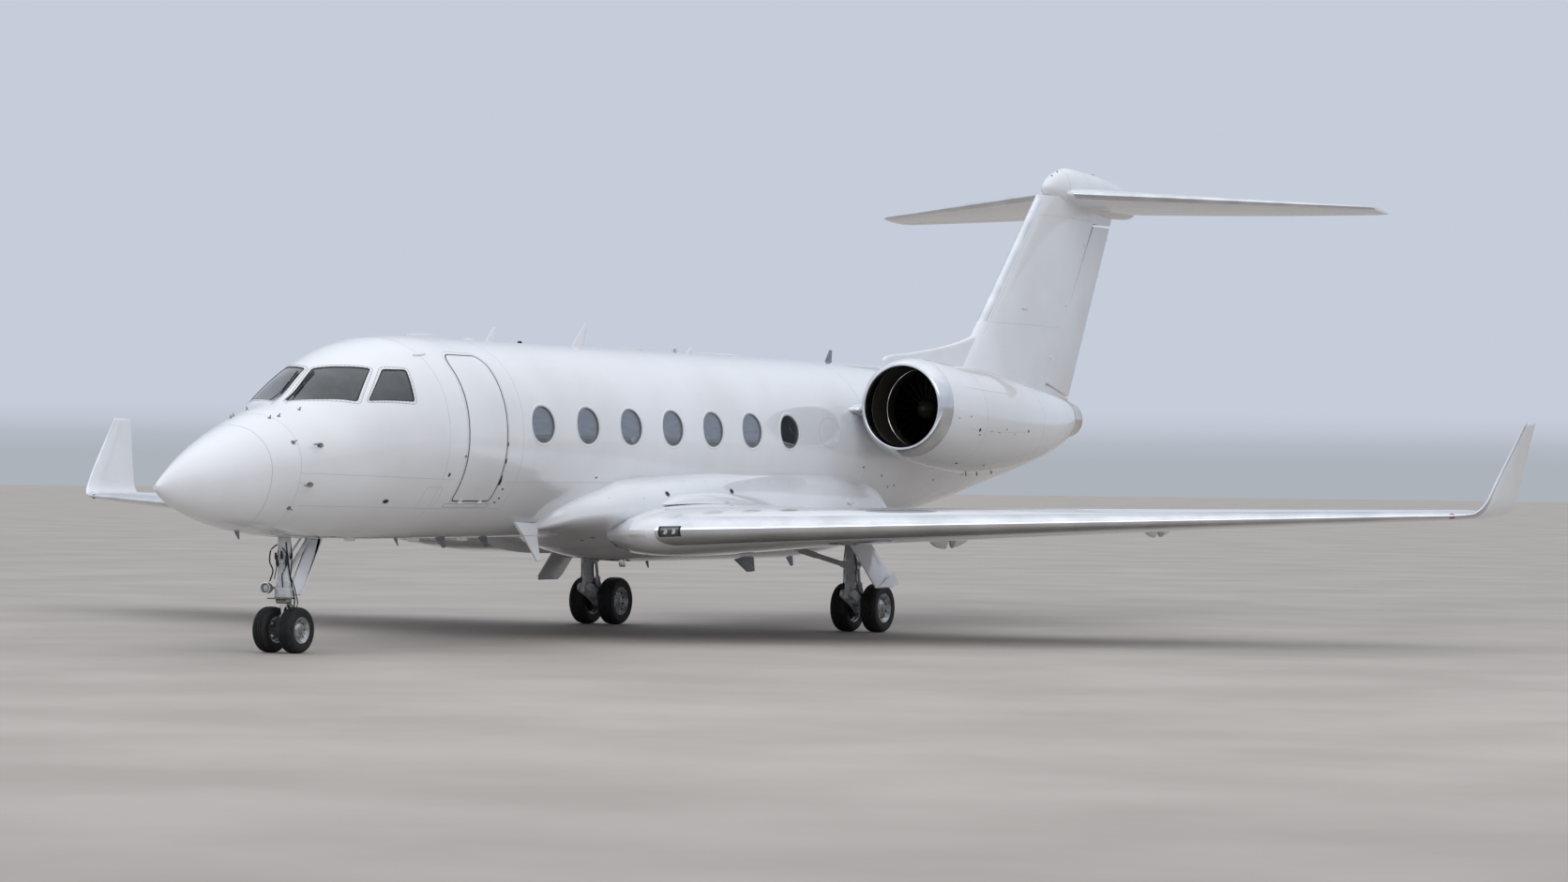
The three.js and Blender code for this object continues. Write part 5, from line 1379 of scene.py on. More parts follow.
# Pylon: x, leading edge, trailing edge, height, thickness ratio, nose-down angle of the engine
pylonTable = np.array([[0.9, 15.05, 20.3, 3.195, 0.055, 0.95], [2.0, 15.43, 20.3, 3.195, 0.055, 0.95]])
rows = spanRow(pylonTable, np.linspace(0.9, 2.0, 12))
rings, metal = foilGrid(rows, np.zeros(12), np.full(12, 90.0), np.full(12, 0.1))
pylonMarks = np.tile(metal.astype(int), 11)
cowlCore = onEngine(loft(np.vstack([engineRings(np.array([-0.5, 0.0, 0.012, 0.06, 0.16]),
                                                np.array([0.618, 0.618, 0.642, 0.677, 0.714])),
                                    cowlRings(np.linspace(0.26, 5.42, 40), -0.006)])))
pylon = makeObject("pylon_skin_port", loft(rings), [paint, bareMetal], [pylonMarks, 0, 0])
cutMesh(pylon, cowlCore)
cutMesh(pylon, hullSolid(14.0, 21.5, 0.01))
settlePair(pylon, replaced=["pylon_port"])
# the CAD engine cores take the dark metal: painted shade inside the nacelle
for name in ("engine_core_port", "engine_core_starboard"):
    for slotOf in bpy.data.objects[name].material_slots:
        slotOf.material = sootAndShade
print("engines made")


# Landing gear
# Polyurethane enamel on gear forgings: light grey, satin, a little grimy in its hollows
enamel = newFinish("grey forging enamel", {"Roughness": 0.38}, ("#b4b6b7", "#d0d2d4", 0.09), relief=(0.008, 0.00025))
# Ground hard chrome on the sliding pistons: mirror bright with fine rings
chrome = newFinish("ground hard chrome", {"Metallic": 1.0, "Base Color": "#dfe2e4", "Roughness": 0.08},
                   relief=(0.004, 0.00002))
# Forged aluminium wheels under clear lacquer: silver, satin, with brake dust
alloy = newFinish("lacquered wheel alloy", {"Metallic": 0.75}, ("#8f9192", "#b9bbbd", 0.05), (0.3, 0.45, 0.04),
                  (0.006, 0.0002))
# Vulcanised natural rubber: charcoal, matt, greyed on the tread and scuffed on the walls
rubber = newFinish("vulcanised tyre rubber", {}, ("#0d0d0e", "#1b1b1b", 0.06), (0.62, 0.85, 0.03), (0.004, 0.0003))
# Cadmium-plated steel links, pins and fittings: warm dull grey metal
plated = newFinish("cadmium-plated steel", {"Metallic": 0.8}, ("#7d7b74", "#9a988f", 0.04), (0.35, 0.55, 0.03),
                   (0.005, 0.00015))
# Pressed borosilicate lamp lens: clear, thick, very smooth
lens = clearGlass("borosilicate lens", 0.03, 1.47, 0.9, values={"Base Color": "#eef3f5"}, relief=(0.006, 0.0001))


def rod(a, b, radius, sides=28):
    # a round bar between two points, stations for y
    lift = np.array([0, toRow, 0])
    return tube([np.asarray(a, float) + lift, np.asarray(b, float) + lift], radius, sides)


def steppedRod(a, b, profile, sides=32):
    # a bar whose radius follows (share of its length, radius)
    a, b = np.asarray(a, float) + [0, toRow, 0], np.asarray(b, float) + [0, toRow, 0]
    profile = np.asarray(profile, float)
    return turned(a, b - a, np.column_stack([profile[:, 0] * np.linalg.norm(b - a), profile[:, 1]]), sides)


def hose(points, radius=0.009, sides=8, y=0.0):
    # a hose through a few points, smoothed; their stations count from y
    points = np.asarray(points, float) + [0, y + toRow, 0]
    along = np.concatenate([[0], np.cumsum(np.linalg.norm(np.diff(points, axis=0), axis=1))])
    return tube(smoothThrough(np.linspace(0, along[-1], 24), along, points), radius, sides)


def softPlate(outline, x0, x1, edge=0.006):
    # a side plate with chamfered rims
    outline = rounded(outline, min(edge * 2, 0.02), 3)
    middle = outline.mean(0)
    flat = np.column_stack([np.zeros(len(outline)), outline[:, 0] + toRow, outline[:, 1]])
    centre = np.array([0, middle[0] + toRow, middle[1]])
    size = np.linalg.norm(flat - centre, axis=1, keepdims=True)
    inner = centre + (flat - centre) * (1 - edge / np.maximum(size, edge * 3))
    return loft([inner + [x0, 0, 0], flat + [x0 + edge, 0, 0], flat + [x1 - edge, 0, 0], inner + [x1, 0, 0]])


def tyreShape(x, y, radius, width, rim):
    # closed section: tread with four grooves, round shoulders, bulged walls and beads, turned about the axle
    w = width / 2
    tread = []
    for g in (-0.42, -0.15, 0.15, 0.42):
        tread += [[g * w - 0.007, 0], [g * w - 0.005, -0.007], [g * w + 0.005, -0.007], [g * w + 0.007, 0]]
    tread = np.array([[-0.6 * w, -0.001]] + tread + [[0.6 * w, -0.001]])
    tread[:, 1] += radius - 0.0015 - 0.02 * (tread[:, 0] / w) ** 4
    tread[:, 1] += 0.0015 * (1 - np.abs(tread[:, 0]) / w)
    t = np.linspace(0, 1, 14)[1:]
    wallAcross = w * (0.6 + 0.4 * np.sin(np.pi / 2 * np.minimum(t * 1.8, 1)) - 0.14 * np.clip(t * 1.8 - 1, 0, 1) ** 2)
    wallRadius = radius - 0.0045 - (radius - 0.0045 - rim - 0.012) * (0.06 * t + 0.94 * t ** 1.6)
    right = np.column_stack([wallAcross, wallRadius])
    inner = np.array([[0.7 * w, rim - 0.004], [-0.7 * w, rim - 0.004]])
    section = np.vstack([tread, right, inner, right[::-1] * [-1, 1]])
    section[:, 0] += x
    return turned([0, y + toRow, radius], [1, 0, 0], section, 96, closed=True)


def wheelShape(x, y, height, width, rim, axle, side):
    # rim flanges, a dished disc on the outer side and the hub; side is +1 where the disc faces port
    w = width / 2
    section = np.array([
        [-0.86 * w, rim + 0.014], [-0.9 * w, rim + 0.006], [-0.84 * w, rim - 0.004], [-0.5 * w, rim - 0.012],
        [-0.46 * w, rim - 0.026], [-0.2 * w, rim - 0.034], [0.25 * w, rim - 0.036], [0.38 * w, rim - 0.05],
        [0.34 * w, rim * 0.62], [0.42 * w, axle + 0.052], [0.56 * w, axle + 0.04], [0.6 * w, axle + 0.02],
        [0.64 * w, axle + 0.004], [0.66 * w, 0.004], [0.74 * w, 0.004], [0.76 * w, axle + 0.01],
        [0.72 * w, axle + 0.03], [0.6 * w, axle + 0.05], [0.52 * w, axle + 0.062], [0.46 * w, rim * 0.64],
        [0.52 * w, rim - 0.046], [0.66 * w, rim - 0.02], [0.84 * w, rim - 0.004], [0.9 * w, rim + 0.006],
        [0.86 * w, rim + 0.014],
        [0.8 * w, rim + 0.01], [0.7 * w, rim + 0.001], [-0.7 * w, rim + 0.001], [-0.8 * w, rim + 0.01]])
    section = section * [side, 1] + [x, 0]
    return turned([0, y + toRow, height], [1, 0, 0], section, 72, closed=True)


def about(y, height, radius, count, make, start=0.0):
    # copies of make(y, z) round a wheel's axle
    made = []
    for turn in start + fullTurn(count):
        made.append(make(y + radius * math.sin(turn), height + radius * math.cos(turn)))
    return joined(made)


def wheelPair(name, place, rides, replaced, holes, tie, mirror):
    # two wheels on one axle: tyres, drilled rims, and the bolts, caps and axle; mirror adds the starboard ones
    x, y, tyre, width, half, rim, axle = (place[k] for k in ("x", "y", "tyre", "width", "half", "rim", "axle"))
    tyres, discs, bolts = [], [], []
    for side in (-1, 1):
        at = x + side * half
        tyres.append(tyreShape(at, y, tyre, width, rim))
        disc = makeObject("disc", wheelShape(at, y, tyre, width, rim, axle, side), [alloy])
        low, high = sorted([at + side * 0.2 * width / 2, at + side * 0.9 * width / 2])
        cutter = about(y, tyre, rim * 0.7, holes,
                       lambda yy, zz: rod([low, yy, zz], [high, yy, zz], rim * 0.115, 20))
        cutMesh(disc, cutter)
        discs.append(disc)
        face = at + side * 0.5 * width / 2
        bolts.append(about(y, tyre, rim * 0.7, holes, lambda yy, zz: rod([face - side * 0.01, yy, zz],
                     [face + side * 0.012, yy, zz], tie, 6), math.pi / holes))
        cap = steppedRod([at + side * 0.7 * width / 2, y, tyre], [at + side * 0.86 * width / 2, y, tyre],
                         [[0, axle + 0.026], [0.4, axle + 0.024], [0.5, axle + 0.012], [0.9, axle + 0.008],
                          [1, axle * 0.6]])
        bolts.append(cap)
    axleBar = rod([x - half, y, tyre], [x + half, y, tyre], axle)
    rubberPiece = makeObject(f"{name}_tyres", joined(tyres), [rubber])
    metalPiece = makeObject(f"{name}_fittings", joined(bolts + [axleBar]), [plated])
    for i, disc in enumerate(discs):
        disc.name = f"{name}_rim_{i}"
        disc.data.name = disc.name
    for piece, finish, stands in [(rubberPiece, "tyre_rubber", replaced), (metalPiece, "gear_steel", [])] + \
            [(disc, "gear_steel", []) for disc in discs]:
        if mirror:
            settlePair(piece, rides, stands)
        else:
            settle(piece, rides, stands)


noseGear = {"x": 0.0, "y": noseWell["leg"], "tyre": 0.28, "width": 0.2, "half": 0.185, "rim": 0.152, "axle": 0.032}
mainGear = {"x": 2.171, "y": 13.765, "tyre": 0.347, "width": 0.245, "half": 0.24, "rim": 0.198, "axle": 0.04,
            "strut": 13.385}
wheelPair("nose_wheel", noseGear, "nose_wheels", ["nose_wheels"], 8, 0.007, False)
wheelPair("main_wheel_port", mainGear, "main_wheels_port", ["main_wheels_port"], 10, 0.009, True)

y = noseGear["y"]
legParts = [
    steppedRod([0, y, 0.795], [0, y, 1.5],
               [[0, 0.086], [0.04, 0.092], [0.1, 0.092], [0.12, 0.08], [0.42, 0.078], [0.43, 0.086],
                [0.47, 0.086], [0.48, 0.078], [1, 0.078]], 40),
    steppedRod([0, y, 0.667], [0, y, 0.8],
               [[0, 0.1], [0.1, 0.112], [0.42, 0.112], [0.46, 0.106], [0.6, 0.106], [0.64, 0.112],
                [0.9, 0.112], [1, 0.098]], 40),
    rod([0, y + 0.04, 0.93], [0, 3.28, 1.55], 0.03), rod([-0.07, y + 0.02, 1.02], [-0.07, 3.2, 1.52], 0.014),
    rod([-0.15, y, 0.79], [0, y, 0.79], 0.016), rod([-0.09, y - 0.03, 0.74], [0.09, y - 0.03, 0.74], 0.03),
]
collar = makeObject("nose_leg_tube", joined(legParts), [enamel])
settle(collar, "airframe", ["nose_leg"])
taxiLamp = {"x": -0.15, "z": 0.787, "house": 2.53, "face": 2.437, "bulb": 2.44, "ring": 2.432}


def lampPart(part, profile, sides=40, closed=False):
    # a profile turned about the taxi lamp's axis, forwards from the part's station
    return turned([taxiLamp["x"], taxiLamp[part] + toRow, taxiLamp["z"]], [0, -1, 0], profile, sides, closed)


lampHouse = lampPart("house", [[0, 0.03], [0.015, 0.055], [0.05, 0.067], [0.098, 0.068], [0.099, 0.06],
                               [0.07, 0.058], [0.03, 0.03], [0.02, 0.004]])
addPiece("taxi_lamp_house", joined([lampHouse, rod([-0.15, 2.5, 0.79], [-0.06, 2.56, 0.79], 0.014)]), plated)
lampFace = lampPart("face", [[0, 0.002], [0, 0.06], [0.004, 0.06], [0.006, 0.04], [0.007, 0.002]])
addPiece("taxi_lamp_lens", lampFace, lens)
lampRing = lampPart("ring", [[0, 0.06], [0, 0.072], [0.008, 0.071], [0.01, 0.066], [0.008, 0.061]], closed=True)
lampBulb = lampPart("bulb", [[-0.012, 0.002], [-0.01, 0.03], [0, 0.036], [0.0015, 0.03], [0.0015, 0.002]], 32)
addPiece("taxi_lamp_ring", joined([lampRing, lampBulb]), chrome)
hoses = [hose([[0.06, y - 0.05, 1.35], [0.085, y - 0.03, 1.1], [0.09, y + 0.03, 0.85], [0.11, y + 0.07, 0.66],
               [0.09, y + 0.09, 0.52]]),
         hose([[-0.06, y + 0.06, 1.4], [-0.09, y + 0.05, 1.1], [-0.1, y + 0.06, 0.84]]),
         hose([[0.03, y + 0.07, 1.45], [0.05, y + 0.09, 1.15], [0.02, y + 0.105, 0.9]], 0.007)]
hoses += [hose([[-0.05, y - 0.08, 1.32], [-0.13, y - 0.1, 1.24], [-0.15, y - 0.09, 1.12], [-0.1, y - 0.09, 1.0],
                [-0.13, y - 0.11, 0.87]]),
          hose([[0.04, y - 0.09, 1.28], [0.11, y - 0.11, 1.2], [0.1, y - 0.1, 1.06], [0.05, y - 0.11, 0.95],
                [0.07, y - 0.12, 0.8]], 0.008),
          hose([[-0.02, y - 0.1, 1.25], [0.0, y - 0.14, 1.14], [-0.03, y - 0.12, 1.02], [-0.07, y - 0.1, 0.9]],
               0.006),
          hose([[0.09, y + 0.02, 0.92], [0.14, y + 0.04, 0.76], [0.15, y + 0.08, 0.62], [0.12, y + 0.1, 0.54]],
               0.007)]
addPiece("nose_leg_hoses", joined(hoses), gasket)
valves = []
for turn, height, long in ((0.3, 1.24, 0.1), (0.9, 1.18, 0.12), (1.7, 1.22, 0.08), (-0.4, 1.17, 0.12),
                           (-1.0, 1.22, 0.09), (-1.8, 1.12, 0.1)):
    out = np.array([math.sin(turn), -math.cos(turn)]) * 0.096
    valves.append(steppedRod([out[0], y + out[1], height - long], [out[0] * 1.08, y + out[1] * 1.08, height],
                             [[0, 0.01], [0.2, 0.017], [0.6, 0.017], [0.65, 0.012], [1, 0.014]], 14))
addPiece("nose_leg_valves", joined(valves), gasket)
tray = [softPlate([[2.46, 0.655], [2.72, 0.655], [2.72, 0.672], [2.46, 0.672]], -0.15, 0.1, 0.006)]
addPiece("nose_leg_tray", joined(tray), plated)
forkParts = [
    steppedRod([0, y, 0.602], [0, y, 0.6635], [[0, 0.085], [0.2, 0.098], [0.8, 0.098], [1, 0.088]], 40),
    steppedRod([0, y, 0.225], [0, y, 0.47], [[0, 0.05], [0.12, 0.064], [0.85, 0.066], [1, 0.052]], 32),
    softPlate([[2.64, 0.3], [2.84, 0.45], [2.845, 0.49], [2.8, 0.5], [2.64, 0.4]], -0.045, -0.025),
    softPlate([[2.64, 0.3], [2.84, 0.45], [2.845, 0.49], [2.8, 0.5], [2.64, 0.4]], 0.025, 0.045),
    softPlate([[2.84, 0.455], [2.855, 0.5], [2.7, 0.64], [2.64, 0.64], [2.64, 0.605]], -0.022, 0.022),
    rod([-0.055, 2.832, 0.475], [0.055, 2.832, 0.475], 0.018), rod([-0.06, 2.66, 0.622], [0.06, 2.66, 0.622], 0.016),
    rod([-0.06, 2.66, 0.34], [0.06, 2.66, 0.34], 0.018),
]
addPiece("nose_fork_links", joined(forkParts), plated, "nose_fork", ["nose_fork"])
addPiece("nose_piston", rod([0, y, 0.4], [0, y, 0.98], 0.045, 40), chrome, "nose_fork")
outline = [[2.83, 0.705], [2.855, 0.695], [3.27, 1.345], [3.27, 1.52], [3.228, 1.52], [3.228, 1.34]]
noseDoor = makeObject("nose_door_panel", softPlate(outline, -0.095, 0.095, 0.004), [paint])
cutMesh(noseDoor, hullSolid(2.5, 4.0, -0.003))
settle(noseDoor, replaced=["nose_gear_door"])

# Main gear, port; the starboard one is its mirror image
x, y, strutY = mainGear["x"], mainGear["y"], mainGear["strut"]
legParts = [
    steppedRod([x, strutY, 0.62], [x, strutY, 1.35],
               [[0, 0.07], [0.02, 0.08], [0.28, 0.08], [0.3, 0.089], [0.36, 0.089],
                [0.38, 0.078], [0.66, 0.078], [0.68, 0.088], [0.74, 0.088],
                [0.76, 0.08], [1, 0.08]], 40),
    softPlate([[13.23, 0.48], [13.33, 0.48], [13.44, 0.64], [13.44, 0.76], [13.31, 0.76]], x - 0.036, x + 0.036),
    softPlate([[13.4, 0.86], [13.64, 0.915], [13.68, 0.935], [13.68, 0.985], [13.62, 1.01], [13.4, 1.09]],
              x - 0.029, x + 0.029),
    rod([x - 0.05, 13.62, 0.96], [x + 0.05, 13.62, 0.96], 0.026),
]
addTwins("main_leg_tube_port", joined(legParts), enamel, replaced=["main_leg_port"])
brace = [steppedRod([x - 0.06, strutY, 0.95], [1.35, strutY, 1.156],
                    [[0, 0.048], [0.1, 0.048], [0.14, 0.036], [0.62, 0.036],
                     [0.66, 0.044], [1, 0.044]], 28),
         rod([x - 0.02, strutY - 0.07, 0.95], [x - 0.02, strutY + 0.07, 0.95], 0.03),
         rod([1.36, strutY, 1.155], [1.1, strutY, 1.225], 0.026)]
addTwins("main_brace_port", joined(brace), enamel)
cheek = [[13.245, 0.52], [13.265, 0.585], [13.3, 0.612], [13.35, 0.608], [13.56, 0.53], [13.8, 0.43], [13.83, 0.35],
         [13.8, 0.262], [13.73, 0.262], [13.66, 0.315], [13.5, 0.4], [13.3, 0.49]]
armParts = [softPlate(cheek, x - 0.105, x - 0.055, 0.008), softPlate(cheek, x + 0.055, x + 0.105, 0.008),
            softPlate([[13.7, 0.3], [13.82, 0.3], [13.82, 0.4], [13.72, 0.45]], x - 0.1, x + 0.1, 0.008),
            rod([x - 0.112, 13.3, 0.56], [x + 0.112, 13.3, 0.56], 0.026),
            rod([x - 0.09, 13.715, 0.4], [x + 0.09, 13.715, 0.4], 0.034),
            softPlate([[13.44, 0.44], [13.5, 0.4], [13.52, 0.5], [13.46, 0.53]], x - 0.1, x + 0.1, 0.006)]
addTwins("main_arm_port", joined(armParts), enamel, replaced=["trailing_arm_port"])
shock = [steppedRod([x, 13.715, 0.4], [x, 13.63, 0.9],
                    [[0, 0.04], [0.08, 0.046], [0.42, 0.046], [0.46, 0.04], [0.6, 0.04]], 32)]
addTwins("shock_strut_port", joined(shock), enamel)
addTwins("shock_piston_port", rod([x, 13.69, 0.55], [x, 13.622, 0.945], 0.028, 32), chrome)
brakes = []
for side in (-1, 1):
    at = x + side * (mainGear["half"] - 0.07)
    brakes.append(steppedRod([at - side * 0.045, y, mainGear["tyre"]], [at + side * 0.06, y, mainGear["tyre"]],
                             [[0, 0.06], [0.02, 0.135], [0.3, 0.135], [0.32, 0.15], [1, 0.15]], 48))
    brakes.append(about(y, mainGear["tyre"], 0.105, 6, lambda yy, zz, at=at, side=side: rod(
        [at - side * 0.062, yy, zz], [at - side * 0.03, yy, zz], 0.017, 16)))
addTwins("brakes_port", joined(brakes), sootAndShade)
lines = [hose([[x + 0.05 * turn, strutY - 0.06, 1.25], [x + 0.095 * turn, strutY - 0.02, 1.0],
               [x + 0.1 * turn, strutY - 0.01, 0.75], [x + 0.12 * turn, 13.4, 0.6],
               [x + 0.115 * turn, 13.6, 0.5], [x + 0.11 * turn, y - 0.03, 0.44]]) for turn in (1, -1)]
lines += [hose([[x + 0.03, strutY + 0.075, 1.2], [x + 0.05, strutY + 0.095, 0.95], [x + 0.02, strutY + 0.1, 0.72]],
               0.007)]
addTwins("brake_lines_port", joined(lines), gasket)

# Main gear door, hung beside the outer wheel, its lower third folded
# height, inner face, thickness, front and rear edge
faces = [[1.34, 2.312, 0.03, 12.95, 13.6], [1.25, 2.37, 0.03, 12.95, 13.6], [0.985, 2.556, 0.03, 12.95, 13.6],
         [0.72, 2.735, 0.03, 12.95, 13.6], [0.65, 2.765, 0.022, 12.99, 13.52]]
rings = []
for height, inner, thick, front, back in faces:
    rings.append(rounded([[inner, front + toRow, height], [inner + thick, front + toRow, height],
                          [inner + thick, back + toRow, height], [inner, back + toRow, height]], 0.009, 3))
doorPiece = makeObject("main_door_port", loft(rings), [paint])
cutMesh(doorPiece, block([[2.0, 12.8 + toRow, 1.3], [2.9, 12.8 + toRow, 1.42], [2.9, 12.8 + toRow, 1.9],
                          [2.0, 12.8 + toRow, 1.9]],
                         [0, 1, 0], 0, 1.0))
settlePair(doorPiece, replaced=["main_gear_door_port"])
foldedTip = block([[2.792, 13.02 + toRow, 0.655], [2.745, 13.595 + toRow, 0.86], [2.835, 13.6 + toRow, 0.7],
                   [2.84, 13.4 + toRow, 0.668]],
                  unit(np.array([0.8, 0.0, 0.6])), -0.003, 0.003)
addTwins("main_door_tip_port", foldedTip, paint)
doorLink = [rod([x + 0.04, strutY, 0.99], [2.555, strutY, 0.99], 0.017),
            rod([2.535, strutY - 0.06, 0.99], [2.535, strutY + 0.06, 0.99], 0.013),
            rod([x + 0.05, strutY - 0.05, 1.06], [x + 0.05, strutY + 0.05, 1.06], 0.015)]
addTwins("main_door_link_port", joined(doorLink), enamel)
print("landing gear made")


# Seams, hatches, aerials, probes, vents and lamps on the skin
# Moulded glass-fibre aerials under grey enamel: mid grey, satin
bladeGrey = newFinish("grey aerial enamel", {"Roughness": 0.4}, ("#70757b", "#848a90", 0.05), relief=(0.01, 0.0001))
# Pressed glass of the position lights, red to port and green to starboard: deep, clear, glossy
redLens = clearGlass("pressed red glass", 0.06, 1.5, 0.5, values={"Base Color": "#b3261c"}, relief=(0.008, 0.0002))
greenLens = clearGlass("pressed green glass", 0.06, 1.5, 0.5, values={"Base Color": "#1f7a4a"},
                       relief=(0.008, 0.0002))
# Vapour-coated reflector behind a lamp lens: a bright mirror, softly dimpled
reflector = newFinish("vapour-coated reflector", {"Metallic": 1.0, "Base Color": "#f2f3f4", "Roughness": 0.12},
                      relief=(0.006, 0.0006))
seams = {"width": 0.01, "rise": 0.0008, "hairline": 0.006}


def seamAcross(station, start=0.0, end=2 * np.pi, count=220, lift=0.0):
    # a ring round the hull, or a part of one, its angles from the top over port
    return hullPoints(station, np.linspace(start, end, count, endpoint=end - start < 6.28), -lift)


def seamShape(path, closed=False, width=None, normals=None):
    # a flat bead with sunk edges along a path; on the hull unless it is told the surface's normals
    half, lift = (width or seams["hairline"]) / 2, seams["rise"]
    profile = [[-half, -0.003], [-half * 0.7, lift], [half * 0.7, lift], [half, -0.003]]
    return carried(path, hullNormal(path) if normals is None else normals, profile, closed)


def sideSeam(stations, heights, side=1, count=60):
    # a seam along the side through a few stations and heights
    at = np.linspace(stations[0], stations[-1], count)
    return onSide(at, np.interp(at, stations, heights), side)


def panelRing(station, z, length, tall, radius, side=1):
    # a rounded rectangle laid on the skin, with points at most 40 mm apart
    half, high = length / 2, tall / 2
    corners = [[station - half, z - high], [station + half, z - high], [station + half, z + high],
               [station - half, z + high]]
    rim = rounded(corners, radius, 4)
    path = []
    for a, b in zip(rim, np.roll(rim, -1, 0)):
        steps = max(int(np.hypot(*(b - a)) / 0.04), 1)
        path.append(a + (b - a) * np.arange(steps)[:, None] / steps)
    path = np.vstack(path)
    return onSide(path[:, 0], path[:, 1], side)


doorRim = sideRing(doorOutline(0.0), 1, 0, 240)
seamShapes = [seamShape(seamAcross(1.46), True, 0.009), seamShape(seamAcross(1.89), True, 0.005),
              seamShape(seamAcross(4.35), True, 0.004), seamShape(seamAcross(6.02, -2.4, 2.4), False, 0.004),
              seamShape(seamAcross(15.6), True, 0.006), seamShape(seamAcross(20.1), True, 0.005)]
for side in (1, -1):
    seamShapes += [
        seamShape(sideSeam([1.9, 4.35, 4.6], [2.19, 2.13, 2.13], side)),
                   seamShape(sideSeam([2.0, 4.6, 6.0], [1.8, 1.76, 1.76], side)),
        seamShape(sideSeam([5.75, 8.6], [2.1, 2.1], side)),
        seamShape(panelRing(4.265, 1.9, 0.34, 0.27, 0.05, side), True),
                   seamShape(sideRing(oval(14.42, 2.842, 0.66, 0.43, 48, 1.0), side), True),
        seamShape(panelRing(19.0, 2.95, 0.7, 0.5, 0.08, side), True),
        seamShape(panelRing(21.2, 2.85, 0.5, 0.62, 0.1, side), True)]
addPiece("panel_seams", joined(seamShapes), seamFiller)
doorSeam = carried(doorRim, hullNormal(doorRim),
                   [[-0.02, -0.004], [-0.019, 0.0014], [0.0015, 0.0014], [0.0015, -0.004]])
doorTrack = sideRing(doorOutline(-0.03), 1, 0, 240)
addPiece("door_surround", doorSeam, gasketGrey)
addPiece("door_track", seamShape(doorTrack, True, 0.004), sealant)
sill = panelRing(5.17, 1.8, 1.02, 0.045, 0.012)
sillPlate = carried(sill, hullNormal(sill), [[-0.004, -0.003], [-0.003, 0.0012], [0.003, 0.0012], [0.004, -0.003]])
addPiece("door_sill_strip", sillPlate, sealant)


def discOn(point, normal, halfLong, halfTall, rise, sides=28, sink=0.01, dome=0.35):
    # a low oval boss on a surface; its long way runs aft
    point, normal = np.asarray(point, float), unit(np.asarray(normal, float))
    aft = np.array([0.0, 1.0, 0.0])
    aft = unit(aft - normal * (aft @ normal))
    over = np.cross(normal, aft)
    turn = circle(sides)
    rim = aft * turn[:, :1] * halfLong + over * turn[:, 1:] * halfTall
    levels = [(1.0, -sink), (1.0, rise * (1 - dome)), (0.82, rise * 0.9), (0.45, rise)]
    return loft([point + rim * share + normal * out for share, out in levels])


def hullBoss(station, z, side, halfLong, halfTall, rise, sink=0.01):
    # an oval boss or port on the fuselage
    point = onSide(station, z, side)
    return discOn(point, hullNormal(point[None])[0], halfLong, halfTall, rise, sink=sink)


def fairingSide(station, z, side=1):
    # the fairing's skin at a station and a height
    angle = np.linspace(0.05, np.pi - 0.05, 500)
    ring = fairingPoints(np.full(500, station), angle)
    ring = ring[np.argsort(ring[:, 2])]
    point = np.array([np.interp(z, ring[:, 2], ring[:, 0]) * side, station + toRow, z])
    return point, gradient(fairingLevel, point[None])[0]


def fairingBoss(station, z, side, halfLong, halfTall, rise, sink=0.01):
    return discOn(*fairingSide(station, z, side), halfLong, halfTall, rise, sink=sink)


darkOvals, rings, bosses, dots = [], [], [], []
for side in (1, -1):
    for station, z, halfLong, halfTall in ((3.448, 1.852, 0.05, 0.026), (4.454, 2.185, 0.018, 0.022)):
        darkOvals.append(hullBoss(station, z, side, halfLong, halfTall, 0.0012))
        rings.append(hullBoss(station, z, side, halfLong + 0.01, halfTall + 0.01, 0.0006))
    for station, z in ((9.4, 1.956), (11.31, 1.992)):
        darkOvals.append(fairingBoss(station, z, side, 0.045, 0.03, 0.0035))
        rings.append(fairingBoss(station, z, side, 0.06, 0.044, 0.002))
    for station, z in ((8.72, 1.325), (8.68, 1.36), (10.3, 1.22), (10.6, 1.25)):
        darkOvals.append(fairingBoss(station, z, side, 0.05, 0.016, 0.002))
    for station, z in ((5.8, 2.008), (5.835, 1.891), (5.795, 1.839), (7.98, 2.165), (15.55, 2.351), (16.22, 2.227),
                       (16.58, 2.065), (16.78, 2.084), (18.16, 2.175), (19.37, 2.263)):
        darkOvals.append(hullBoss(station, z, side, 0.022, 0.014, 0.0012))
    bosses.append(hullBoss(4.368, 3.682, side, 0.13, 0.028, 0.02))
    bosses.append(fairingBoss(14.9, 1.85, side, 0.1, 0.05, 0.02))
    for station in np.arange(8.2, 15.6, 0.62):
        dots.append(fairingBoss(station, 2.13 if station > 9.3 else 1.9, side, 0.008, 0.008, 0.001))
for station, z, halfLong, halfTall in ((5.655, 2.578, 0.01, 0.028), (5.655, 2.365, 0.012, 0.035),
                                       (5.66, 2.15, 0.014, 0.034), (4.709, 2.416, 0.03, 0.006),
                                       (4.705, 2.416, 0.006, 0.024)):
    darkOvals.append(hullBoss(station, z, 1, halfLong, halfTall, 0.0012))
# vents, ports and the latch plate are discs in the primer darkened to a painted shade
addPiece("vents_and_ports", joined(darkOvals), shadedPrimer)
addPiece("port_rings", joined(rings + dots), sealant)
addPiece("skin_blisters", joined(bosses), paint)
addPiece("door_latch_plate", hullBoss(5.66, 2.1, 1, 0.03, 0.05, 0.002), shadedPrimer)


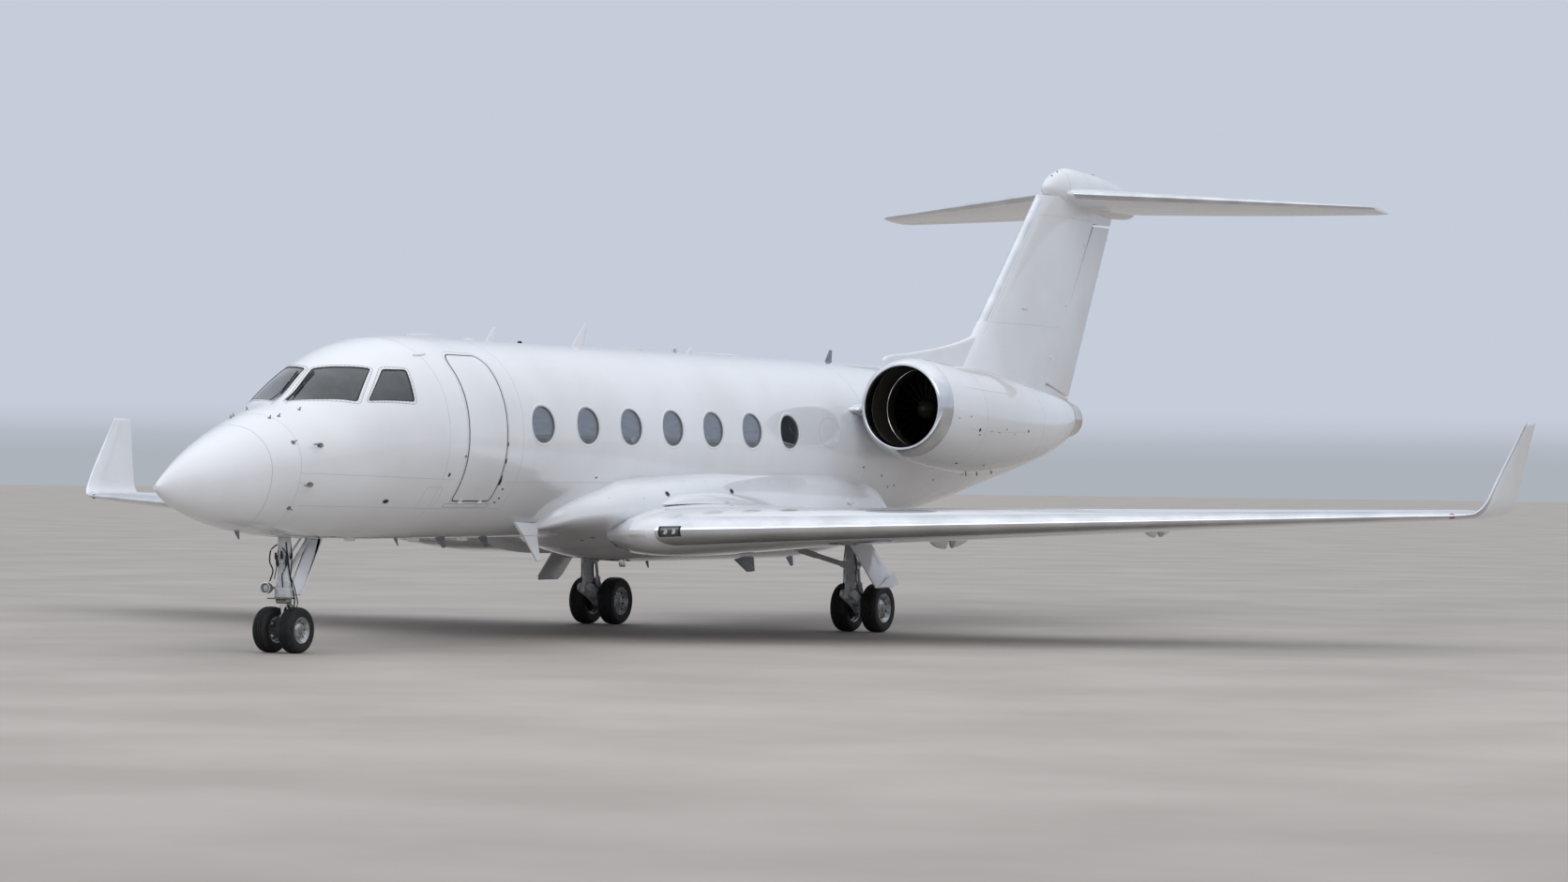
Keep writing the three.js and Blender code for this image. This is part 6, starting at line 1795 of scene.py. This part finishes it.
def bladeAerial(station, foot, height, sweep, half, direction):
    # a swept blade with a rounded plan: lens sections from its foot to its tip
    z0 = float(hullPoints(station, 0.0 if direction > 0 else np.pi)[2])
    t = np.array([-0.15, 0.0, 0.04, 0.3, 0.6, 0.85, 0.96, 1.0])[:, None]
    lead = station - foot / 2 + (sweep + foot / 2) * np.clip(t, 0, 1)
    trail = station + foot / 2 + sweep * 0.4 * np.clip(t, 0, 1)
    trail = lead + (trail - lead) * np.where(t > 0.96, 0.55, 1)
    thick = half * (1 - 0.45 * np.clip(t, 0, 1)) * np.where(t > 0.96, 0.5, 1)
    turn = fullTurn(24)
    middle, reach = (lead + trail) / 2, (trail - lead) / 2
    return loft(np.stack([thick * np.sin(turn), middle + reach * np.cos(turn) + toRow,
                          z0 + direction * height * t + 0 * turn], -1))


whiteBlades = [bladeAerial(*row, 1) for row in ((9.43, 0.33, 0.33, 0.19, 0.014), (7.21, 0.23, 0.19, 0.08, 0.012),
                                                (12.48, 0.15, 0.09, 0.06, 0.009))]
keelBlades = [bladeAerial(*row, -1) for row in ((5.03, 0.09, 0.1, 0.06, 0.008), (6.06, 0.24, 0.13, 0.06, 0.01),
                                                (7.08, 0.23, 0.13, 0.06, 0.01))]
greyBlades = [bladeAerial(16.76, 0.23, 0.19, 0.04, 0.012, 1)]
bellyBlades = []
for station, foot, height, sweep, half in ((11.37, 0.09, 0.09, 0.03, 0.008), (14.18, 0.62, 0.19, 0.09, 0.01),
                                           (15.56, 0.26, 0.17, 0.06, 0.01)):
    points, faces = bladeAerial(station, foot, height, sweep, half, -1)
    drop = float(fairingPoints(station, np.pi)[2]) - float(hullPoints(station, np.pi)[2])
    bellyBlades.append((points + [0, 0, drop], faces))
addPiece("white_aerials", joined(whiteBlades), paint)
addPiece("grey_aerials", joined(greyBlades + keelBlades + bellyBlades), bladeGrey)


def onTop(station, x=0.0, direction=1):
    # a point of the hull's crown or keel and its normal
    low = hullPoints(station, 0.0 if direction > 0 else np.pi)
    point = ontoHull(np.array([[x, station + toRow, low[2]]]), np.array([0, 0, float(direction)]))[0]
    return point, hullNormal(point[None])[0]


domes = [discOn(*onTop(5.55), 0.3, 0.16, 0.045), discOn(*onTop(6.72), 0.16, 0.06, 0.025),
         discOn(*onTop(10.85), 0.28, 0.14, 0.03),
         discOn(*onTop(5.45, 0, -1), 0.09, 0.07, 0.05), discOn(*onTop(6.6, 0, -1), 0.09, 0.07, 0.05),
         discOn(*onTop(4.0, 0, -1), 0.1, 0.05, 0.03), discOn(*onTop(13.4), 0.75, 0.05, 0.03)]
addPiece("flat_aerials", joined(domes), paint)
beacons = joined([discOn(*onTop(12.05), 0.06, 0.05, 0.075, dome=0.6),
                  discOn(fairingPoints(10.7, np.pi), [0, 0, -1], 0.06, 0.05, 0.075, dome=0.6)])
addPiece("beacons", beacons, lens)
# the stud is in the primer darkened to a painted shade
addPiece("roof_studs", joined([discOn(*onTop(7.95), 0.03, 0.03, 0.03)]), shadedPrimer)


def probeAt(point, normal, long=0.16, reach=0.07, radius=0.011):
    # an air-data probe: a swept strut out of a base plate with a tube that points forwards
    point, normal = np.asarray(point, float), np.asarray(normal, float)
    ahead = np.array([0.0, -1.0, 0.0])
    ahead = unit(ahead - normal * (ahead @ normal))
    elbow = point + normal * reach
    strut = tube([point - normal * 0.01, point + normal * reach * 0.7 + ahead * 0.03, elbow + ahead * 0.06],
                 [0.016, 0.012, 0.01], 16)
    barrel = tube([elbow + ahead * 0.03, elbow + ahead * (long * 0.8), elbow + ahead * long],
                  [radius, radius * 0.85, radius * 0.5], 20)
    return joined([strut, barrel, discOn(point, normal, 0.05, 0.032, 0.004)])


def vaneAt(point, normal, size=0.05):
    # an angle-of-attack vane or a small temperature probe: a base disc with a swept fin
    point, normal = np.asarray(point, float), unit(np.asarray(normal, float))
    aft = unit(np.array([0.0, 1.0, 0.0]) - normal * normal[1])
    over = np.cross(normal, aft) * 0.004
    fin = [point - normal * 0.005 - aft * size * 0.4, point - normal * 0.005 + aft * size * 0.4,
           point + normal * size + aft * size * 1.1, point + normal * size + aft * size * 0.5]
    return joined([discOn(point, normal, size * 0.7, size * 0.7, 0.004),
                   loft([np.array(fin) - over, np.array(fin) + over])])


probes, vanes = [], []
for side in (1, -1):
    for station, z in ((2.2, 2.526), (2.063, 2.053)):
        point = onSide(station, z, side)
        probes.append(probeAt(point, hullNormal(point[None])[0]))
    for station, z in ((1.871, 1.771), (1.835, 2.555), (1.982, 2.869), (2.331, 2.955), (1.862, 2.845)):
        point = onSide(station, min(z, float(hullRow(station)[2]) - 0.03), side)
        vanes.append(vaneAt(point, hullNormal(point[None])[0], 0.03 if z > 2.7 else 0.04))
addPiece("air_data_probes", joined(probes), plated)
addPiece("nose_vanes", joined(vanes), plated)
noseFin = bladeAerial(1.62, 0.1, 0.09, 0.03, 0.006, -1)
addPiece("nose_blade", noseFin, bladeGrey)

# Side blade on the fairing's front, in two parts
blade = {"x": 0.7, "half": 0.012}
bracket = softPlate([[6.717, 1.585], [7.3, 1.56], [7.289, 1.403], [6.94, 1.4]], blade["x"] - 0.024,
                    blade["x"] + 0.024, 0.008)
fin = softPlate([[6.94, 1.42], [7.289, 1.42], [7.387, 1.065], [7.3, 1.065]], blade["x"] - blade["half"],
                blade["x"] + blade["half"], 0.006)
addPiece("side_blade", joined([bracket, fin]), paint)
wellFront, wellBack = noseWell["front"], noseWell["back"]
port, starboard = np.pi - noseWell["halfTurn"], np.pi + noseWell["halfTurn"]
wellPath = [(wellFront, wellBack, port, port, 30), (wellBack, wellBack, port, starboard, 12),
            (wellBack, wellFront, starboard, starboard, 30), (wellFront, wellFront, starboard, port, 12)]
wellRing = np.vstack([hullPoints(np.linspace(y0, y1, n), np.linspace(a0, a1, n)) for y0, y1, a0, a1, n in wellPath])
wellSeam = seamShape(wellRing, True, 0.014)
addPiece("nose_well_seam", wellSeam, gasket)

# Landing lamps in a rounded window of each wing's root
lampAt = {"from": 2.03, "to": 2.235, "chord": 0.0042, "bulbs": [2.085, 2.18]}


def wingPatch(x0, x1, chord, rows=10, columns=6, lift=0.0015):
    # a patch of the wing's nose wrapped round the leading edge, from a share of the chord below to as much above
    x = np.linspace(x0, x1, rows)[:, None]
    t = np.linspace(-1, 1, 2 * columns + 1)[None]
    s, half = (np.broadcast_to(v, (rows, t.size)) for v in (chord * t ** 2, np.sign(t)))
    points = foilSection(spanRow(wingTable, x), s, half, wing["camber"])
    centre = wingAt(x + 0 * t, 0.12, 0)
    return points + unit(points - centre) * lift, centre


outer, centre = wingPatch(lampAt["from"], lampAt["to"], lampAt["chord"])
inner = outer + unit(centre - outer) * 0.02
lampGlassPort = loft(np.concatenate([outer, inner[:, ::-1]], 1))
rimWide = wingPatch(lampAt["from"] - 0.025, lampAt["to"] + 0.025, lampAt["chord"] * 1.35, lift=0.0008)[0]
rimDeep = rimWide + unit(centre - rimWide) * 0.012
# the lamp's recessed frame is in the primer darkened to a painted shade
addPair("landing_lamp_frame", loft(np.concatenate([rimWide, rimDeep[:, ::-1]], 1)), shadedPrimer)
addPair("landing_lamp_window", lampGlassPort, acrylic)
bulbs = []
for x in lampAt["bulbs"]:
    nose = wingAt(x, 0.0, 1)
    bulbs.append(turned(nose + [0, -0.004, 0.0], [0, -1, 0],
                        [[-0.02, 0.03], [0.0, 0.038], [0.004, 0.038], [0.006, 0.032], [0.004, 0.015],
                         [0.0, 0.004]], 32))
addPair("landing_lamps", joined(bulbs), reflector)

# Position lights and static wicks at the tips
tipLight = wingAt(11.12, 0.0, 1)
lightShape = discOn(tipLight + [0, 0.03, -0.002], [0.25, -0.9, 0.0], 0.05, 0.035, 0.012)
for side, turn, glass in (("port", 1, redLens), ("starboard", -1, greenLens)):
    points, faces = lightShape if turn == 1 else mirrored(lightShape)
    addPiece(f"tip_light_{side}", (points, faces), glass)


def wick(start, aft=0.14, out=0.0, drop=0.0):
    # a static wick: a thin carbon rod behind a small metal foot
    start = np.asarray(start, float)
    end = start + [out, min(aft, cadBounds[1][1] - 0.004 - start[1]), -drop]
    return joined([tube([start - [0, 0.02, 0], start + (end - start) * 0.3], [0.004, 0.003], 8),
                   tube([start, (start + end) / 2, end], [0.0024, 0.002, 0.0012], 8)])


tailWicks = [wick(surfaceAt(stabiliserTable, x, 1.0, 0) + [0, -0.01, 0], 0.1) for x in (4.42, 4.5)]
addPair("stabiliser_wicks", joined(tailWicks), gasket)
elevatorWicks = [wick(surfaceAt(stabiliserTable, x, 1.0, 0) + [0, -0.004, 0], 0.1) for x in (2.4, 3.1, 3.8, 4.2)]
addPair("elevator_wicks", joined(elevatorWicks), gasket, "elevator_{side}")
aileronWicks = [wick(wingAt(x, 1.0, 0) + [0, -0.004, 0]) for x in (8.6, 9.3, 10.0, 10.5)]
addPair("aileron_wicks", joined(aileronWicks), gasket, "aileron_{side}")
rudderWicks = [wick([0, finEdge(finData["trail"], z) + toRow - 0.006, z], 0.09) for z in (4.6, 5.2, 5.7, 6.1, 6.35)]
addPiece("rudder_wicks", joined(rudderWicks), gasket, "rudder")

# Seams and fittings of the fin and the bullet
def hingeStation(z):
    # the rudder's hinge line at height z
    return rudderLine[0, 1] + (z - rudderLine[0, 2]) * finData["hingeLean"]


def finSide(y, z, side=1):
    # the fin's skin at a station and a height
    lead, trail = finEdge(finData["lead"], z), finEdge(finData["trail"], z)
    s = np.clip((y - lead) / (trail - lead), 0, 1)
    return np.stack(np.broadcast_arrays(side * foilHeight(s, 1, finRatio(z)) * (trail - lead), y + toRow, z), -1)


finSeams, finBits = [], []
for side in (1, -1):
    z = np.linspace(4.55, 6.5, 50)
    finSeams.append(seamShape(finSide(finEdge(finData["lead"], z) + 0.165, z, side), False, 0.005,
                              np.array([side, 0, 0])))
    for height in (4.75, 6.62):
        y = np.linspace(finEdge(finData["lead"], height) + 0.2, hingeStation(height) - 0.12, 30)
        finSeams.append(seamShape(finSide(y, np.full(30, height), side), False, 0.005, np.array([side, 0, 0])))
    base = finSide(np.array(23.35), np.array(5.02), side)
    finBits.append(discOn(base, [side, 0.03, 0], 0.11, 0.022, 0.016))
    for height in (4.25, 5.15, 6.2):
        y = hingeStation(height) - 0.18
        finBits.append(discOn(finSide(np.array(y), np.array(height), side), [side, 0, 0], 0.055, 0.03, 0.012))
addPiece("fin_seams", joined(finSeams), seamFiller)
addPiece("fin_fittings", joined(finBits), paint)
bulletSeams = []
for station in (25.05, 25.75):
    ring = bulletPoints(np.full(80, station), fullTurn(80))
    row = np.stack([ring[:, 0], 0 * ring[:, 1], ring[:, 2] - 7.08], -1)
    profile = [[-0.0025, -0.003], [-0.0025, 0.0008], [0.0025, 0.0008], [0.0025, -0.003]]
    bulletSeams.append(carried(ring, unit(row), profile))
addPiece("bullet_seams", joined(bulletSeams), seamFiller)
studs = []
for station in (24.75, 24.95, 26.4):
    top = bulletPoints(np.array([station]), np.array([0.12]))[0]
    studs.append(discOn(top, [0.1, 0, 1], 0.014, 0.014, 0.012))
addPiece("bullet_studs", joined(studs), gasket)

# Nacelle seams, latches, vents and drains
def cowlSeam(distances, angles, closed=False, width=0.006, count=80):
    # a seam on the cowl through a few distances and angles
    at = np.linspace(0, 1, count, endpoint=not closed)
    grid = np.linspace(0, 1, len(distances))
    path = cowlPoint(np.interp(at, grid, distances), np.interp(at, grid, angles))
    return seamShape(path, closed, width, cowlUp(path))


def cowlBoss(distance, angle, halfLong, halfTall, rise, dome=0.35):
    # an oval boss or port on the cowl
    point = cowlPoint(distance, angle)
    return discOn(point, cowlUp(point[None])[0], halfLong, halfTall, rise, dome=dome)


cowlSeams = [cowlSeam([0.264, 0.264], [0, 360], True, 0.006, 120), cowlSeam([1.3, 1.3], [0, 360], True, 0.005, 120),
             cowlSeam([3.55, 3.55], [0, 360], True, 0.006, 120), cowlSeam([5.4, 5.4], [0, 360], True, 0.008, 120),
             cowlSeam([0.86, 2.84], [108, 101]), cowlSeam([1.3, 3.55], [20, 20]), cowlSeam([0.8, 2.2], [62, 60])]
addPair("nacelle_seams", joined(cowlSeams), seamFiller)
holes = [cowlBoss(1.12, 107, 0.03, 0.03, 0.002), cowlBoss(1.98, 101, 0.014, 0.014, 0.002),
         cowlBoss(2.84, 101, 0.02, 0.03, 0.002),
         cowlBoss(0.78, 95, 0.014, 0.012, 0.002), cowlBoss(1.16, 112, 0.03, 0.008, 0.002),
         cowlBoss(0.45, 100, 0.01, 0.014, 0.002),
         cowlBoss(1.2, 155, 0.03, 0.02, 0.003), cowlBoss(2.0, 150, 0.02, 0.02, 0.003)]
latches = [cowlBoss(d, 105.5, 0.03, 0.005, 0.0015) for d in (1.5, 1.75, 2.3)]
drains = [cowlBoss(d, 176, 0.012, 0.01, 0.05, dome=0.2) for d in (2.1, 2.48, 2.99)]
# holes and latch slots on the cowl are discs in the primer darkened to a painted shade
addPair("nacelle_ports", joined(holes + latches), shadedPrimer)
addPair("nacelle_drains", joined(drains), plated)

# Fasteners round the cockpit panes, and the wiper on each windshield
screws = []
for paneName in paneCorners:
    outline, facing = paneOutline(paneName, -0.021, 0.075)
    closedRim = np.vstack([outline, outline[:1]])
    along = np.concatenate([[0], np.cumsum(np.linalg.norm(np.diff(closedRim, axis=0), axis=1))])
    at = np.arange(0, along[-1], 0.055)
    spots = np.stack([np.interp(at, along, closedRim[:, k]) for k in range(3)], -1)
    spots = ontoHull(spots, facing)
    for point, normal in zip(spots, hullNormal(spots)):
        screws.append(discOn(point, normal, 0.006, 0.006, 0.0008, sides=8))
addPair("pane_screws", joined(screws), plated)
sweep = np.linspace([0.118, 3.016 + toRow, 3.426], [0.088, 2.64 + toRow, 3.15], 10)
reachDown = np.linspace([0.102, 2.82 + toRow, 3.285], [0.1, 2.455 + toRow, 3.035], 8)
upward = paneOutline("windshield")[1]
wiperParts = []
for line, lift, radius in ((sweep, 0.01, 0.01), (reachDown, 0.026, 0.006)):
    line = ontoHull(line, upward)
    wiperParts.append(tube(line + hullNormal(line) * lift, radius, 10))
addPair("wiper", joined(wiperParts), gasket)
print("fittings made")


# Cabin and cockpit, seen through the panes and the open door
# Full-grain leather, aniline dyed: warm beige, softly sheened, with fine pores
hide = newFinish("full-grain beige leather", {"Roughness": 0.5, "Sheen Weight": 0.1}, ("#b19c7d", "#c9b79b", 0.18),
                 relief=(0.0022, 0.0004, 0.7))
# Cut-pile wool carpet: warm grey, matt, tufted
carpet = newFinish("cut-pile wool carpet", {"Roughness": 0.95, "Sheen Weight": 0.3}, ("#5f574d", "#7a7166", 0.012),
                   relief=(0.004, 0.003))
# Warm white laminate on the cabin's side panels and bulkheads, satin
laminate = newFinish("satin cabin laminate", {"Roughness": 0.55}, ("#b8b0a2", "#c6bfb2", 0.5), relief=(0.02, 0.0001))
# Powder-coated instrument panel and glare shield: charcoal, matt, finely textured
panelCoat = newFinish("charcoal powder coat", {"Roughness": 0.75}, ("#1c1d1f", "#26282a", 0.03),
                      relief=(0.0025, 0.0003))
# Dark glass of the flight displays, switched off
displayGlass = newFinish("blank display glass", {"Roughness": 0.08, "IOR": 1.5}, ("#0b0d10", "#12161b", 0.2))
# Pleated polyester shades, drawn down behind the panes: cool pale grey with fine level folds
shade = newFinish("pleated polyester shade", {"Roughness": 0.8, "Sheen Weight": 0.15}, ("#aab0bb", "#c3c8d2", 0.05),
                  relief=(0.003, 0.0002), tintAlong=(0.2, 0.2, 1), reliefAlong=(0.2, 0.2, 1))


def cushion(low, high, crown=0.03, grid=14):
    # a crowned pad between two corners: a rounded box whose broad faces swell and whose sides pull in midway
    low, high = np.asarray(low, float), np.asarray(high, float)
    centre, size = (low + high) / 2 + [0, toRow, 0], (high - low) / 2
    u = np.linspace(-1, 1, grid)
    turn = np.pi / 2 * u
    around = fullTurn(4 * grid)
    up = np.sin(turn)[:, None]
    out = np.cos(turn)[:, None]
    c, s = np.cos(around)[None], np.sin(around)[None]

    def fuller(v, power):
        return np.sign(v) * np.abs(v) ** power
    thin = int(np.argmin(size))
    order = [k for k in range(3) if k != thin]
    points = np.zeros((grid, 4 * grid, 3))
    flat = fuller(out, 0.28)
    a, b = flat * fuller(c, 0.38), flat * fuller(s, 0.38)
    pull = 1 - 0.03 * (1 - np.abs(a) ** 2) * np.abs(b) - 0.03 * (1 - np.abs(b) ** 2) * np.abs(a)
    points[..., order[0]] = a * pull * size[order[0]]
    points[..., order[1]] = b * pull * size[order[1]]
    swell = 1 - crown / size[thin] * (1 - (1 - a ** 2) * (1 - b ** 2))
    points[..., thin] = fuller(up, 0.45) * swell * size[thin]
    return loft(points + centre)


def addPad(name, shape):
    # a leather cushion
    piece = addPiece(name, shape, hide, smooth=80)


cabin = {"floor": 1.935, "pilotX": 0.45, "pilotY": 3.62, "pilotWidth": 0.47, "pilotBack": 1.08,
         "rows": [7.3, 9.0, 10.7, 12.4],
         "seatX": 0.67, "seatWidth": 0.52, "seatBack": 0.96}


def seatAt(name, x, y, width, back, nodes):
    # base and arms of moulded laminate, then the seat, back and head pads
    half, floor = width / 2, cabin["floor"]
    seatFrame = joined([
        softBlock([x - 0.13, y - 0.16, floor + 0.001], [x + 0.13, y + 0.16, floor + 0.27], 0.03),
        softBlock([x - half + 0.02, y - 0.25, floor + 0.24], [x + half - 0.02, y + 0.3, floor + 0.3], 0.02),
        softBlock([x - half, y - 0.2, floor + 0.46], [x - half + 0.06, y + 0.26, floor + 0.55], 0.025),
        softBlock([x + half - 0.06, y - 0.2, floor + 0.46], [x + half, y + 0.26, floor + 0.55], 0.025),
        softBlock([x - half + 0.03, y + 0.285, floor + 0.25],
                  [x + half - 0.03, y + 0.325, floor + back - 0.03], 0.018)])
    addPiece(f"{name}_frame", seatFrame, laminate, replaced=nodes)
    addPad(f"{name}_seat_pad",
           cushion([x - half + 0.065, y - 0.255, floor + 0.3], [x + half - 0.065, y + 0.2, floor + 0.435], 0.02))
    addPad(f"{name}_back_pad",
           cushion([x - half + 0.04, y + 0.195, floor + 0.42],
                   [x + half - 0.04, y + 0.286, floor + back - 0.2], 0.02))
    addPad(f"{name}_head_pad",
           cushion([x - half + 0.09, y + 0.2, floor + back - 0.19], [x + half - 0.09, y + 0.286, floor + back], 0.02))


for side, turn in sideTurns.items():
    seatAt(f"pilot_{side}", cabin["pilotX"] * turn, cabin["pilotY"], cabin["pilotWidth"], cabin["pilotBack"],
           ["pilot_seats"] if turn == 1 else [])
    for i, row in enumerate(cabin["rows"]):
        seatAt(f"cabin_{side}_{i}", cabin["seatX"] * turn, row, cabin["seatWidth"], cabin["seatBack"],
               [f"cabin_seats_{side}"] if i == 0 else [])

glareTop = softBlock([-0.74, 2.7, 2.856], [0.74, 2.9, 2.88], 0.012)
panelBody = softBlock([-0.72, 2.72, 2.42], [0.72, 2.8, 2.86], 0.02)
pedestal = softBlock([-0.15, 2.75, cabin["floor"] + 0.001], [0.15, 3.4, 2.43], 0.03)
addPiece("instrument_panel_body", joined([glareTop, panelBody, pedestal]), panelCoat,
         replaced=["instrument_panel"])
screens = [softBlock([x - 0.13, 2.798, 2.5], [x + 0.13, 2.806, 2.78], 0.003) for x in (-0.52, -0.18, 0.18, 0.52)]
screens += [softBlock([-0.1, 2.8, 2.4305], [0.1, 2.98, 2.436], 0.002)]
addPiece("flight_displays", joined(screens), displayGlass)
levers = joined([rod([x, 3.1, 2.42], [x, 3.06, 2.52], 0.008, 12) for x in (-0.04, 0.04)]
                + [rod([x - 0.015, 3.06, 2.52], [x + 0.015, 3.06, 2.52], 0.014, 12) for x in (-0.04, 0.04)])
addPiece("power_levers", levers, panelCoat)
yokes = []
for x in (-0.45, 0.45):
    yokes.append(rod([x, 2.8, 2.5], [x, 3.02, 2.5], 0.018, 16))
    yokes.append(hose([[x - 0.14, 3.02, 2.6], [x - 0.13, 3.02, 2.5], [x, 3.03, 2.48], [x + 0.13, 3.02, 2.5],
                       [x + 0.14, 3.02, 2.6]], 0.014))
addPiece("control_yokes", joined(yokes), panelCoat)
for nodeName, material in (("cabin_floor", carpet), ("cockpit_bulkhead", laminate)):
    for slotOf in bpy.data.objects[nodeName].material_slots:
        slotOf.material = material

# Side panels inside the hull, with an opening for each window, and the shades
liningShell = hullShell(5.72, 15.2, 0.07, 0.085, 96, 0.15)
lining = makeObject("cabin_lining", liningShell, [laminate])
cutMesh(lining, joined([sidePlate(windowOutline(c, -0.01), -2, 2) for c in windowCentres]))
settle(lining, "airframe")
shades = []
for centre in windowCentres[:-1]:
    z = np.linspace(windows["z"] - 0.13, windows["z"] + 0.225, 60)
    fold = 0.058 + 0.005 * (np.arange(60) % 2)
    y = np.array([centre - 0.26, centre + 0.26])
    front = onSide(y[None], z[:, None]) - [1, 0, 0] * fold[:, None, None]
    strip = np.concatenate([front, front[:, ::-1] - [0.004, 0, 0]], 1)
    shades.append(loft(strip))
addPair("window_shades", joined(shades), shade)
print("cabin made")


# Camera, light and floor
view = {"place": [29.444, -53.479, 2.236], "yaw": 28.323, "pitch": 0.456, "roll": 0.598, "lens": 95.94}
yaw, pitch, roll = (math.radians(view[k]) for k in ("yaw", "pitch", "roll"))
ahead = Vector((-math.sin(yaw) * math.cos(pitch), math.cos(yaw) * math.cos(pitch), math.sin(pitch)))
level = ahead.cross(Vector((0, 0, 1))).normalized()
above = level.cross(ahead)
right = level * math.cos(roll) + above * math.sin(roll)
up = right.cross(ahead)
cameraData = bpy.data.cameras.new("camera")
cameraData.lens, cameraData.sensor_width, cameraData.clip_end = view["lens"], 36, 500
camera = bpy.data.objects.new("camera", cameraData)
bpy.context.scene.collection.objects.link(camera)
camera.matrix_world = Matrix((right, up, -ahead)).transposed().to_4x4()
camera.location = view["place"]
bpy.context.scene.camera = camera

stage = {"floor": "#a39b93", "worn": "#afa8a0", "horizon": "#c6cdda", "zenith": "#f6f9ff", "skyStrength": 1.0,
         "zenithGain": 1.25, "treeLine": "#adb3bb", "keyPower": 1500, "fillPower": 300}


def skyLight():
    # an even, overcast sky: bright overhead, paler and greyer towards the horizon, with a low dim band on it
    world = bpy.data.worlds.new("soft sky")
    world.use_nodes = True
    bpy.context.scene.world = world
    back = world.node_tree.nodes["Background"]
    back.inputs["Strength"].default_value = stage["skyStrength"]
    place = addNode(world, "ShaderNodeTexCoord")
    split = addNode(world, "ShaderNodeSeparateXYZ", None, {"Vector": place.outputs["Generated"]})
    ramp = addNode(world, "ShaderNodeValToRGB", None, {"Fac": split.outputs["Z"]})
    stops = [(0.0, stage["treeLine"]), (0.006, stage["treeLine"]), (0.014, stage["horizon"]),
             (0.25, stage["horizon"]), (0.9, stage["zenith"])]
    elements = ramp.color_ramp.elements
    for _ in stops[2:]:
        elements.new(0.5)
    for stop, (at, colour) in zip(elements, stops):
        stop.position, stop.color = at, linear(colour)
    rise = addNode(world, "ShaderNodeMapRange", {"From Min": 0.2, "From Max": 0.9, "To Min": 1.0,
                                                 "To Max": stage["zenithGain"]}, {"Value": split.outputs["Z"]})
    lit = addNode(world, "ShaderNodeVectorMath", {"operation": "SCALE"},
                  {0: ramp.outputs["Color"], "Scale": rise.outputs[0]})
    world.node_tree.links.new(lit.outputs[0], back.inputs["Color"])


def softbox(name, place, target, size, power):
    # a broad lamp that faces its target
    lamp = bpy.data.lights.new(name, "AREA")
    lamp.shape, lamp.size, lamp.size_y, lamp.energy = "RECTANGLE", size[0], size[1], power
    box = bpy.data.objects.new(name, lamp)
    bpy.context.scene.collection.objects.link(box)
    box.location = place
    box.rotation_euler = (Vector(target) - Vector(place)).to_track_quat("-Z", "Y").to_euler()


# Sealed concrete, pale and matt, with a faint wander of shade
concrete = newFinish("pale sealed concrete", {"Roughness": 0.75}, (stage["floor"], stage["worn"], 3.0))
bpy.context.scene.view_settings.view_transform = "Standard"
skyLight()
softbox("key_light", (18, -24, 22), (0, 0, 2), (26, 14), stage["keyPower"])
softbox("fill_light", (-20, -30, 14), (0, -4, 3), (20, 12), stage["fillPower"])
reach = 400.0
floorCorners = np.array([[-reach, -reach, 0], [reach, -reach, 0], [reach, reach, 0], [-reach, reach, 0]])
floor = makeObject("floor", (floorCorners, [np.array([[0, 1, 2, 3]])]), [concrete])

print("all pieces made")
